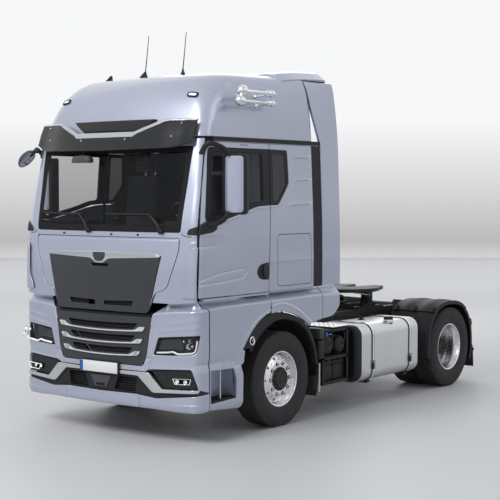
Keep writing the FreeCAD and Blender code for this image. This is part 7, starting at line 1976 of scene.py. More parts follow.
def silencer():
    solid = Solid("silencerBox", "chassis", ("silencer_box",), sharp=0.5)
    x0, x1, z0, z1, r = 0.520, 1.190, 0.300, 0.930, 0.095

    def outline(inset):
        return (x0 + inset, x1 - inset, z0 + inset, z1 - inset, max(0.02, r - inset))
    sections = [(1.186, outline(0.06)), (1.182, outline(0.04)), (1.180, outline(0.022)), (1.183, outline(0.008)),
                (1.192, outline(0.0))]
    for y in (1.34, 1.50, 1.66, 1.82, 1.98):
        for dy, depth in ((-0.016, 0.0), (-0.008, 0.007), (0.008, 0.007), (0.016, 0.0)):
            sections.append((y + dy, outline(depth)))
    sections += [(2.128, outline(0.0)), (2.137, outline(0.008)), (2.140, outline(0.022)), (2.138, outline(0.04)),
                 (2.134, outline(0.06))]
    drum(solid, sections, "tankAlloy", True)
    # slotted heat shield over the outer side
    for i in range(9):
        z = 0.40 + i * 0.054
        solid.add(*block((1.186, 1.24, z), (1.196, 2.08, z + 0.016), 0.004), "steel", True)
    for y in (1.24, 1.52, 1.80, 2.06):
        solid.add(*block((1.183, y, 0.38), (1.199, y + 0.024, 0.87), 0.004), "steel", True)
    for y in (1.28, 2.02):
        rows = [(y + dy, outline(-lift)) for dy, lift in ((-0.02, 0.0005), (-0.02, 0.006), (0.02, 0.006),
                                                          (0.02, 0.0005))]
        drum(solid, rows, "steel", True)
        solid.add(*block((0.430, y - 0.02, 0.52), (0.516, y + 0.02, 0.90), 0.006), "steel", True)
    # outlet bent down and rearward
    pipe = curve([(-0.75, 2.13, 0.42), (-0.75, 2.20, 0.40), (-0.78, 2.26, 0.33), (-0.84, 2.29, 0.27)], 7)
    solid.add(*tube(pipe, 0.055, 22), "cast")
    solid.add(*tube(curve([(-0.62, 1.17, 0.62), (-0.58, 1.08, 0.62), (-0.46, 1.00, 0.66), (-0.36, 0.96, 0.70)], 6),
                    0.062, 22), "cast")
    solid.add(*tube([(-0.70, 2.142, 0.74), (-0.70, 2.165, 0.74)], [0.045, 0.040], 18), "plastic")
    solid.make()


def carrier():
    solid = Solid("carrierFrame", "chassis", ("side_carrier",), sharp=0.55)
    x0, x1, y0, y1, z0, z1 = 0.480, 1.150, 0.800, 1.330, 0.350, 0.960
    # angle-section posts and shelves with down-turned lips
    for x, kx in ((x0, 1), (x1, -1)):
        for y, ky in ((y0, 1), (y1, -1)):
            for wide, deep in ((0.040, 0.006), (0.006, 0.040)):
                solid.add(*block((x, y, z0), (x + wide * kx, y + deep * ky, z1), 0.002), "plastic")
    for z in (0.360, 0.640, 0.948):
        solid.add(*block((x0, y0, z), (x1, y1, z + 0.006), 0.002), "plastic")
        for ya, yb in ((y0, y0 + 0.005), (y1 - 0.005, y1)):
            solid.add(*block((x0, ya, z - 0.028), (x1, yb, z), 0.002), "plastic")
        for xa, xb in ((x0, x0 + 0.005), (x1 - 0.005, x1)):
            solid.add(*block((xa, y0, z - 0.028), (xb, y1, z), 0.002), "plastic")
    for y in (0.830, 1.270):
        solid.add(*block((0.430, y, 0.48), (0.482, y + 0.045, 0.90), 0.005), "steel")
    # battery cases with lids, caps and leads
    for y in (0.835, 1.080):
        solid.add(*block((0.545, y, 0.370), (1.105, y + 0.225, 0.545), 0.008), "cabinDark")
        solid.add(*block((0.540, y - 0.004, 0.548), (1.110, y + 0.229, 0.590), 0.008), "cabinDark")
        for x in (0.62, 0.72, 0.82, 0.92, 1.02):
            solid.add(*revolve([(0.588, 0.016), (0.594, 0.016), (0.596, 0.010), (0.596, 0.0)], (x, y + 0.10, 0), "Z",
                               12), "plastic")
        for x in (0.575, 1.075):
            solid.add(*revolve([(0.588, 0.010), (0.606, 0.009), (0.608, 0.0)], (x, y + 0.19, 0), "Z", 12), "chrome")
            solid.add(*tube(curve([(x, y + 0.19, 0.602), (x - 0.03, y + 0.17, 0.625), (x - 0.10, y + 0.12, 0.622),
                                   (0.52, y + 0.10, 0.60)], 5), 0.009, 8), "rubber")
    # air tanks with domed ends and their bands
    for y, z, r in ((0.945, 0.775, 0.112), (1.195, 0.760, 0.098)):
        ends = [(0.555, 0.0), (0.556, r * 0.35), (0.562, r * 0.68), (0.574, r * 0.9), (0.590, r)]
        solid.add(*revolve(ends + [(1.700 - a, b) for a, b in reversed(ends)], (0, y, z), "X", 36), "steel")
        for x in (0.68, 0.98):
            solid.add(*revolve([(x, r + 0.0005), (x, r + 0.004), (x + 0.025, r + 0.004), (x + 0.025, r + 0.0005)],
                               (0, y, z), "X", 36), "chrome")
            boltHead(solid, (x + 0.012, y, z + r + 0.004), "Z", 0.008, 0.010, "chrome")
        solid.add(*revolve([(z - r - 0.018, 0.0), (z - r - 0.018, 0.009), (z - r + 0.002, 0.011)], (0.85, y, 0), "Z",
                           12), "chrome")
        solid.add(*tube(curve([(1.14, y, z), (1.17, y + 0.01, z + 0.03), (1.165, y + 0.03, z + 0.13),
                               (1.10, y + 0.05, 0.935)], 5), 0.007, 8), "rubber")
    solid.make()
    # small parts beside it: grey box, black box, blue cap on its pipe
    extras = Solid("carrierExtras", "chassis", (), sharp=0.55)
    extras.add(*block((0.98, 0.700, 0.862), (1.190, 0.792, 0.985), 0.022), "trimPlastic")
    extras.add(*block((1.02, 0.690, 0.640), (1.180, 0.790, 0.850), 0.012), "plastic")
    extras.add(*revolve([(1.152, 0.020), (1.160, 0.026), (1.176, 0.026), (1.182, 0.020), (1.183, 0.0)],
                        (0, 0.852, 0.905), "X", 24,
                        pattern=lambda k, i: -0.002 if k in (1, 2) and i % 2 else 0.0), "blueCap")
    extras.add(*tube([(0.60, 0.852, 0.905), (1.154, 0.852, 0.905)], 0.016, 12), "plastic")
    extras.make()


def deck():
    solid = Solid("deckPlate", "chassis", ("deck_plate",), sharp=0.55)
    half, front, rear, top = 0.560, 0.770, 1.700, 1.050
    # toothed grip plate: raised rows of round studs on a sheet with down-turned edges
    solid.add(*block((-half, front, top - 0.008), (half, rear, top - 0.003), 0.0015), "tankAlloy")
    for x0, x1 in ((-half, -half + 0.004), (half - 0.004, half)):
        solid.add(*block((x0, front, top - 0.034), (x1, rear, top - 0.004), 0.0015), "tankAlloy")
    for y0, y1 in ((front, front + 0.004), (rear - 0.004, rear)):
        solid.add(*block((-half, y0, top - 0.034), (half, y1, top - 0.004), 0.0015), "tankAlloy")
    for i in range(15):
        for j in range(12):
            x = -half + 0.040 + i * 0.0745
            y = front + 0.045 + j * 0.0760
            ring = [(top - 0.0035, 0.017), (top - 0.0002, 0.012), (top - 0.0002, 0.009), (top - 0.0035, 0.0075)]
            solid.add(*revolve(ring, (x, y, 0), "Z", 10), "tankAlloy")
    for k in (1, -1):
        solid.add(*block((k * 0.37 - 0.02, front + 0.02, 1.0115), (k * 0.37 + 0.02, rear - 0.02, top - 0.009), 0.003),
                  "steel")
    # outer step plate with a toothed edge over the carrier
    teeth = [(0.566, 1.000), (0.566, 1.345)]
    teeth += [p for i in range(17) for p in ((0.566 + 0.034 * (i + 0.5), 1.352 if i % 2 else 1.345),)]
    teeth += [(1.150, 1.345), (1.150, 1.000)]
    teeth += [p for i in range(17, 0, -1) for p in ((0.566 + 0.034 * (i - 0.5), 0.993 if i % 2 else 1.000),)]
    solid.add(*prism(teeth, "Z", 0.967, 0.975, 0.0015), "tankAlloy")
    for i in range(8):
        for j in range(4):
            solid.add(*revolve([(0.974, 0.018), (0.979, 0.013), (0.979, 0.009), (0.974, 0.007)],
                               (0.610 + i * 0.068, 1.045 + j * 0.085, 0), "Z", 10), "tankAlloy")
    solid.make()


def fenders():
    solid = Solid("rearFenders", "chassis", ("rear_fenders",), sharp=0.5)
    axle, hub, r = 3.600, 0.507, 0.569
    x0, x1 = 0.610, 1.236

    def arc(first, last, lift, steps):
        rows = []
        for i in range(steps + 1):
            a = math.radians(first + (last - first) * i / steps)
            ring = []
            c, n = abs(math.cos(a)), abs(math.sin(a))
            bulge = (c ** 2.5 + n ** 2.5) ** (-1 / 2.5) if math.sin(a) > 0 else 1.0
            # ribbed shell: section across the width, with rolled edges and two raised bands
            for x, h in ((x0, -0.022), (x0, 0.008), (x0 + 0.006, 0.012), (x0 + 0.11, 0.013), (x0 + 0.13, 0.021),
                         (x0 + 0.22, 0.021), (x0 + 0.24, 0.013), (x1 - 0.24, 0.013), (x1 - 0.22, 0.021),
                         (x1 - 0.13, 0.021), (x1 - 0.11, 0.013), (x1 - 0.008, 0.012), (x1, 0.006), (x1 + 0.001, -0.034),
                         (x1 - 0.005, -0.034), (x1 - 0.006, 0.002), (x0 + 0.007, 0.002), (x0 + 0.006, -0.022)):
                d = r * bulge + h + lift
                ring.append((x, axle + d * math.cos(a), hub + d * math.sin(a)))
            rows.append(ring)
        return loft(rows, True, True)
    for first, last, lift in ((190, 128, 0.0), (131, 49, 0.013), (52, -22, 0.0)):
        solid.both(*arc(first, last, lift, max(6, int(abs(first - last) / 5))), "plastic")
    # clips at the joints, and a rolled bead along the outer rim
    for angle in (128, 52):
        a = math.radians(angle)
        for x in (x0 + 0.05, (x0 + x1) / 2, x1 - 0.05):
            d = r * (abs(math.cos(a)) ** 2.5 + abs(math.sin(a)) ** 2.5) ** (-1 / 2.5) + 0.033
            c = np.array([0, axle + d * math.cos(a), hub + d * math.sin(a)])
            t, n = np.array([0, -math.sin(a), math.cos(a)]), np.array([0, math.cos(a), math.sin(a)])
            rows = []
            for along, w, h in ((-0.050, 0.016, 0.004), (-0.046, 0.018, 0.009), (0.020, 0.018, 0.010),
                                (0.040, 0.014, 0.006), (0.048, 0.010, 0.003)):
                p = c + t * along
                rows.append([tuple(p + np.array([x + sx * w, 0, 0]) + n * (sz * h)) for sx,
                             sz in ((-1, -1), (1, -1), (1, 1), (-1, 1))])
            solid.both(*loft(rows, True, True), "steel")
    for angle in (142.0, 38.0):
        a = math.radians(angle)
        y, z = axle + (r - 0.022) * math.cos(a), hub + (r - 0.022) * math.sin(a)
        solid.both(*tube([(0.430, y, z), (x1 - 0.05, y, z)], 0.019, 18), "steel")
        for x in (0.64, 0.92, 1.17):
            solid.both(*revolve([(x - 0.02, 0.023), (x - 0.02, 0.027), (x + 0.02, 0.027), (x + 0.02, 0.023)], (0, y, z),
                                "X", 18), "plastic")
        solid.both(*block((0.4305, y - 0.05, z - 0.05), (0.444, y + 0.05, z + 0.05), 0.006), "steel")
    # mud flap behind each pair of wheels, ribbed, held by a steel bar with its bolts
    y, z = 4.215, 0.420
    rows = []
    for i, (dy, zz) in enumerate(((-0.045, 0.52), (0.0, z + 0.03), (0.006, z - 0.03), (0.016, 0.235), (0.020, 0.185))):
        rows.append([(x0 + 0.01, y + dy, zz), (x1 - 0.01, y + dy, zz), (x1 - 0.01, y + dy + 0.006, zz),
                     (x0 + 0.01, y + dy + 0.006, zz)])
    solid.both(*loft(rows, True, True), "rubber")
    for x in np.linspace(x0 + 0.05, x1 - 0.05, 11):
        solid.both(*block((x - 0.006, y + 0.012, 0.195), (x + 0.006, y + 0.0195, z - 0.02), 0.002), "rubber")
    solid.both(*block((x0, y + 0.010, z - 0.022), (x1, y + 0.018, z + 0.012), 0.003), "steel")
    for x in (x0 + 0.08, (x0 + x1) / 2, x1 - 0.08):
        solid.both(*revolve([(y + 0.018, 0.012), (y + 0.026, 0.010), (y + 0.027, 0.0)], (x, 0, z - 0.005), "Y", 10),
                   "chrome")
    solid.make()


def tail():
    solid = Solid("tailLamps", "chassis", ("tail_lamps",), sharp=0.5)
    rear = 4.280
    for k in (1, -1):
        mirrored = k < 0
        # housing, lens fields and their dividing ribs
        rows = [[(x, y, z) for x, z in roundRect(0.760 + i, 1.186 - i, 0.698 + i, 0.822 - i, 0.024)] for y, i in
                ((rear - 0.066, 0.0), (rear - 0.026, 0.0), (rear - 0.020, 0.003), (rear - 0.020, 0.008))]
        solid.add(*loft(rows, True, True), "plastic", mirrored)
        for x0, x1, look in ((0.772, 0.850, "lampRed"), (0.856, 0.934, "lampClear"), (0.940, 1.040, "lampRed"),
                             (1.046, 1.110, "lampAmber"), (1.116, 1.176, "lampRed")):
            rows = [[(x, y, z) for x, z in roundRect(x0 + i, x1 - i, 0.712 + i, 0.808 - i, 0.012)] for y, i in
                    ((rear - 0.022, 0.0), (rear - 0.008, 0.0), (rear - 0.003, 0.005), (rear, 0.014))]
            solid.add(*loft(rows, True, True), look, mirrored)
        solid.add(*block((1.1895, rear - 0.058, 0.735), (1.1985, rear - 0.030, 0.785), 0.004), "lampRed", mirrored)
    solid.make()
    # cross bar, blank number plate on its carrier, plate lamps and bolt heads
    bar = Solid("tailBar", "chassis", (), sharp=0.5)
    rows = [[(x, y, z) for y, z in ((4.150, 0.706), (4.152, 0.704), (4.196, 0.704), (4.198, 0.706), (4.198, 0.812),
                                    (4.196, 0.814), (4.152, 0.814), (4.150, 0.812))]
            for x in (-0.752, -0.75, 0.75, 0.752)]
    bar.add(*loft(rows, True, True), "steel")
    bar.add(*block((-0.27, 4.199, 0.700), (0.27, 4.207, 0.820), 0.004), "plastic")
    bar.add(*block((-0.26, 4.2065, 0.706), (0.26, 4.2115, 0.814), 0.003), "plateWhite")
    for x in (-0.30, 0.30):
        bar.add(*block((x - 0.02, 4.199, 0.745), (x + 0.02, 4.222, 0.775), 0.004), "lampClear")
    for x in (-0.62, -0.50, 0.50, 0.62):
        boltHead(bar, (x, 4.198, 0.785), "Y", 0.011, 0.009)
        boltHead(bar, (x, 4.198, 0.735), "Y", 0.011, 0.009)
    bar.make()


def coupling():
    solid = Solid("couplingDetail", "fifth_wheel", (), sharp=0.5)
    cy, top = 2.960, 1.262
    # grease grooves as thin raised lips, the handle with its grip, and bolt heads
    for radius in (0.40, 0.31):
        for first, last in ((200, 340), (125, 160), (20, 55)):
            path = [(radius * math.cos(math.radians(a)), cy + radius * math.sin(math.radians(a)),
                     top - 0.0005) for a in np.linspace(first, last, 24)]
            solid.add(*tube(path, 0.0022, 6), "greaseSteel")
    solid.add(*tube(curve([(0.20, cy - 0.05, 1.195), (0.38, cy - 0.10, 1.192), (0.47, cy - 0.14, 1.190),
                           (0.492, cy - 0.145, 1.190)], 6), 0.010, 12), "chrome")
    grip = [(0.492, cy - 0.170, 1.190), (0.498, cy - 0.150, 1.190), (0.498, cy - 0.140, 1.190),
            (0.492, cy - 0.118, 1.190)]
    solid.add(*tube(grip, 0.012, 12), "blueCap")
    for k in (1, -1):
        for y in (cy - 0.06, cy + 0.06):
            boltHead(solid, (k * 0.44, y, 1.216), "Z", 0.012, 0.006)
    solid.make()
    base = Solid("couplingBase", "chassis", (), sharp=0.5)
    for k in (1, -1):
        for y in (cy - 0.26, cy - 0.13, cy + 0.13, cy + 0.26):
            boltHead(base, (k * 0.395, y, 1.034), "Z", 0.015, 0.014, "cast")
        # ribs on the mounting plate and the pivot's end caps
        for x in (0.12, 0.24):
            base.add(*block((k * x - 0.008, cy - 0.28, 1.034), (k * x + 0.008, cy + 0.28, 1.056), 0.004), "cast")
    for y in (cy - 0.285, cy - 0.005, cy + 0.275):
        base.add(*block((-0.34, y, 1.034), (0.34, y + 0.012, 1.050), 0.003), "cast")
    base.make()


def frameDetail():
    solid = Solid("frameDetail", "chassis", (), sharp=0.5)
    # rows of bolts along both rails, and pipe runs in their clips
    for k in (1, -1):
        for y in np.arange(0.86, 4.10, 0.10):
            for z in (0.790, 0.950):
                if abs(y - 3.6) < 0.9 or y > 2.9 or (int(round(y * 10)) % 2 == 0):
                    boltHead(solid, (k * 0.4305, y, z), "X" if k > 0 else "-X", 0.010, 0.009, "cast")
        path = [(k * 0.447, y, 0.885 + 0.006 * math.sin(y * 9)) for y in np.linspace(0.75, 4.05, 40)]
        solid.add(*tube(path, 0.013, 8), "rubber")
        path = [(k * 0.445, y, 0.855 + 0.004 * math.sin(y * 7 + 1)) for y in np.linspace(0.75, 4.05, 40)]
        solid.add(*tube(path, 0.008, 8), "rubber")
        for y in np.arange(0.9, 4.0, 0.35):
            solid.add(*block((k * 0.431, y, 0.843), (k * 0.462, y + 0.02, 0.903), 0.004), "plastic")
        # ramps at the frame's end that lift the trailer plate
        outline = [(3.55, 1.011), (3.62, 1.075), (4.02, 1.030), (4.14, 1.011)]
        solid.add(*prism(outline, "X", k * 0.38 - 0.022, k * 0.38 + 0.022, 0.004), "steel")
    # air bellows and shock absorbers at the rear axle
    for k in (1, -1):
        for y in (3.10, 4.02):
            waves = [(0.455 + t * 0.235, 0.098 + 0.026 * abs(math.sin(math.pi * 2 * t))) for t in np.linspace(0.0, 1.0,
                    25)]
            solid.add(*revolve([(0.45, 0.0), (0.45, 0.08)] + waves + [(0.700, 0.105), (0.712, 0.105), (0.712, 0.0)],
                               (k * 0.50, y, 0), "Z", 32), "rubber")
            solid.add(*revolve([(0.710, 0.0), (0.710, 0.115), (0.722, 0.115), (0.722, 0.0)], (k * 0.50, y, 0), "Z", 26),
                      "steel")
        solid.add(*block((k * 0.42, 2.98, 0.405), (k * 0.56, 4.13, 0.452), 0.008), "steel")
        shock = [(k * 0.455, 3.86, 0.46), (k * 0.455, 3.80, 0.66), (k * 0.455, 3.76, 0.82)]
        solid.add(*tube(shock[:2], 0.036, 18), "steel")
        solid.add(*tube(shock[1:], 0.024, 14), "chrome")
    # stay behind the cab with the parked couplings of the trailer's air lines
    solid.add(*tube(curve([(-0.34, 1.30, 1.06), (-0.34, 1.33, 1.20), (-0.25, 1.34, 1.29), (0.10, 1.34, 1.29),
                           (0.22, 1.33, 1.22), (0.22, 1.30, 1.06)], 8), 0.015, 12), "steel")
    for x in (-0.10, -0.03, 0.04):
        solid.add(*block((x - 0.022, 1.322, 1.262), (x + 0.022, 1.368, 1.318), 0.008), "plastic")
    solid.make()
    strips = Solid("sideReflectors", "chassis", (), sharp=0.5)
    strips.both(*block((1.146, 0.669, 0.285), (1.204, 0.683, 0.605), 0.003), "reflector")
    strips.make()


fuelTank()
silencer()
carrier()
deck()
fenders()
tail()
coupling()
frameDetail()
print("chassis made")


# inside of the cab
def cushion(name, body, outline, low, high, finish, crown, seams=(), replaced=(), tilt=None):
    # crowned closed pad: the face rises towards the middle, sides pull in between corners, sewn channels dip
    values = {"pinch": 0.010, "piping": 0.0045}
    (x0, x1), (y0, y1) = outline
    nx, ny = 30, 26
    width, depth, thick = x1 - x0, y1 - y0, high - low
    points, faces = [], []
    for part in (1, -1):
        for j in range(ny + 1):
            v = j / ny
            for i in range(nx + 1):
                u = i / nx
                # pulled-in sides
                near = 1 if abs(u - 0.5) > 0.49 else abs(2 * u - 1) ** 3
                px = x0 + width * u + (0.5 - u) * 2 * values["pinch"] * math.sin(math.pi * v) * near
                py = y0 + depth * v + (0.5 - v) * 2 * values["pinch"] * math.sin(math.pi * u) * abs(2 * v - 1) ** 3
                du, dv = min(u, 1 - u) * width, min(v, 1 - v) * depth
                near = min(du, dv)
                round1 = math.sqrt(max(0.0, 1 - max(0.0, 1 - near / (thick * 0.42)) ** 2))
                rise = thick / 2 * (0.12 + 0.88 * round1)
                if part > 0:
                    rise += crown * (math.sin(math.pi * u) * math.sin(math.pi * v)) ** 0.5
                for kind, where, reach in seams:
                    d = abs((u * width if kind == "u" else v * depth) - where)
                    if part > 0 and near > 0.015:
                        rise -= 0.011 * math.exp(-(d / reach) ** 2)
                pz = (low + high) / 2 + part * rise
                points.append((px, py, pz))
    def at(part, i, j):
        return (0 if part > 0 else (nx + 1) * (ny + 1)) + j * (nx + 1) + i
    for j in range(ny):
        for i in range(nx):
            faces.append((at(1, i, j), at(1, i + 1, j), at(1, i + 1, j + 1), at(1, i, j + 1)))
            faces.append((at(-1, i, j), at(-1, i, j + 1), at(-1, i + 1, j + 1), at(-1, i + 1, j)))
    rim = [(i, 0) for i in range(nx)] + [(nx, j) for j in range(ny)] + [(i, ny) for i in range(nx, 0, -1)] + [(0,
            j) for j in range(ny, 0, -1)]
    for a, b in zip(rim, rim[1:] + rim[:1]):
        faces.append((at(-1, *a), at(-1, *b), at(1, *b), at(1, *a)))
    border = [points[at(1, *a)] for a in rim]
    lower = [points[at(-1, *a)] for a in rim]
    piping = [tuple((np.array(p) + np.array(q)) / 2) for p, q in zip(border, lower)]
    turned = points
    if tilt is not None:
        angle, (cy, cz) = tilt
        def turn(p):
            y, z = p[1] - cy, p[2] - cz
            return (p[0], cy + y * math.cos(angle) - z * math.sin(angle),
                    cz + y * math.sin(angle) + z * math.cos(angle))
        turned = [turn(p) for p in points]
        piping = [turn(p) for p in piping]
    solid = Solid(name, body, replaced, sharp=1.2)
    solid.add(turned, faces, finish)
    solid.add(*tube(piping + [piping[0]], values["piping"], 6, capped=False), "cabinDark")
    piece = solid.make()
    smoother = piece.modifiers.new("soft", "SUBSURF")
    smoother.levels = smoother.render_levels = 1
    return piece


def seats():
    for name, x in (("Left", 0.56), ("Right", -0.56)):
        base = Solid("seatBase" + name, "cab", ("seats_and_bunk",) if name == "Left" else (), sharp=0.6)
        # air-sprung base in its folding skirt, side covers, lever, belt tower
        folds = []
        for k in range(15):
            z = 1.515 + k * 0.027
            grow = 0.012 if k % 2 else 0.0
            folds.append([(px, py, z) for px, py in roundRect(x - 0.15 - grow, x + 0.15 + grow, -0.62 - grow,
                                                              -0.26 + grow, 0.05)])
        base.add(*loft(folds, True, True), "rubber")
        base.add(*block((x - 0.20, -0.66, 1.497), (x + 0.20, -0.22, 1.517), 0.008), "cabinDark")
        base.add(*block((x - 0.235, -0.665, 1.890), (x + 0.235, -0.215, 1.972), 0.020), "cabinDark")
        for k in (1, -1):
            base.add(*tube(curve([(x + k * 0.245, -0.62, 1.93), (x + k * 0.262, -0.45, 1.945),
                                  (x + k * 0.250, -0.24, 1.99)], 6), 0.018, 10, 1.6), "cabin")
            base.add(*block((x + k * 0.262 - 0.030, -0.46, 2.185), (x + k * 0.262 + 0.030, -0.185, 2.232), 0.018),
                     "cabin")
            base.add(*tube([(x + k * 0.262, -0.22, 2.09), (x + k * 0.262, -0.20, 2.19)], 0.020, 12), "cabinDark")
        for k in (0.10, -0.10):
            base.add(*tube([(x + k * 0.7, -0.150, 2.66), (x + k * 0.7, -0.142, 2.80)], 0.007, 10), "chrome")
        base.make()
        cushion("seatCushion" + name, "cab", ((x - 0.255, x + 0.255), (-0.690, -0.205)), 1.980, 2.105, "cloth", 0.012,
                (("u", 0.10, 0.010), ("u", 0.41, 0.010), ("v", 0.14, 0.008), ("v", 0.30, 0.008)))
        # back, leaned back a little, built lying down and stood up
        cushion("seatBack" + name, "cab", ((x - 0.235, x + 0.235), (0.0, 0.62)), 0.0, 0.115, "cloth", 0.012,
                (("u", 0.085, 0.010), ("u", 0.385, 0.010), ("v", 0.16, 0.008), ("v", 0.32, 0.008), ("v", 0.48, 0.008)),
                tilt=(math.radians(84), (0.0, 0.0)),
                ).location = (0, -0.235, 2.060)
        cushion("headRest" + name, "cab", ((x - 0.135, x + 0.135), (0.0, 0.165)), 0.0, 0.085, "cloth", 0.010,
                (("v", 0.08, 0.008),), tilt=(math.radians(84), (0.0, 0.0))).location = (0, -0.190, 2.715)


def bunk():
    cushion("bunkMattress", "cab", ((-1.075, 1.075), (-0.030, 0.600)), 1.915, 2.050, "bunkCloth", 0.010,
            tuple(("u", v, 0.012) for v in (0.43, 0.86, 1.29, 1.72)) + (("v", 0.21, 0.010), ("v", 0.42, 0.010)))
    cushion("pillow", "cab", ((0.55, 1.02), (0.06, 0.40)), 2.060, 2.150, "cloth", 0.030, ())
    solid = Solid("bunkChest", "cab", (), sharp=0.6)
    solid.add(*block((-1.03, -0.010, 1.500), (1.03, 0.600, 1.905), 0.012), "cabinDark")
    for x in (-0.70, 0.0, 0.70):
        solid.add(*block((x - 0.30, -0.018, 1.56), (x + 0.30, -0.008, 1.86), 0.010), "cabin")
        solid.add(*tube([(x - 0.06, -0.020, 1.80), (x - 0.05, -0.036, 1.80), (x + 0.05, -0.036, 1.80),
                         (x + 0.06, -0.020, 1.80)], 0.007, 8), "plastic")
    # curtain rails with gathered curtains, upper shelf with its doors, roof console
    for k in (1, -1):
        rows = []
        for i in range(50):
            t = i / 49
            y = 0.02 + 0.33 * t
            x = k * (1.128 + 0.014 * math.sin(t * 44))
            rows.append([(x, y, 2.12), (x - k * 0.002, y, 2.5), (x - k * 0.004, y, 2.93)])
        solid.add(*loft(rows, False, False), "bunkCloth")
    solid.add(*tube([(-1.13, 0.015, 2.945), (1.13, 0.015, 2.945)], 0.009, 10), "chrome")
    solid.make()
    shelf = Solid("roofShelf", "cab", (), sharp=0.6)
    shelf.add(*block((-1.02, -1.12, 3.05), (1.02, -0.66, 3.075), 0.010), "cabin")
    for x in (-0.68, 0.0, 0.68):
        shelf.add(*block((x - 0.31, -0.672, 3.085), (x + 0.31, -0.656, 3.34), 0.010), "cabin")
        shelf.add(*tube([(x - 0.05, -0.655, 3.12), (x - 0.04, -0.640, 3.12), (x + 0.04, -0.640, 3.12),
                         (x + 0.05, -0.655, 3.12)], 0.006, 8), "plastic")
    shelf.add(*block((-0.22, -0.95, 3.005), (0.22, -0.70, 3.048), 0.012), "cabinDark")
    for x in (-0.10, 0.10):
        shelf.add(*revolve([(3.006, 0.035), (2.998, 0.030), (2.998, 0.0)], (x, -0.82, 0), "Z", 20), "lampClear")
    # headliner
    grid = []
    for y in np.linspace(-0.95, 0.58, 14):
        grid.append([(x, y, 3.62 - 0.10 * (x / 1.05) ** 4 - 0.02 * ((y + 0.2) / 0.8) ** 4) for x in np.linspace(-1.05,
                1.05, 17)])
    shelf.add(*loft(grid, False, False), "cabin")
    shelf.make()


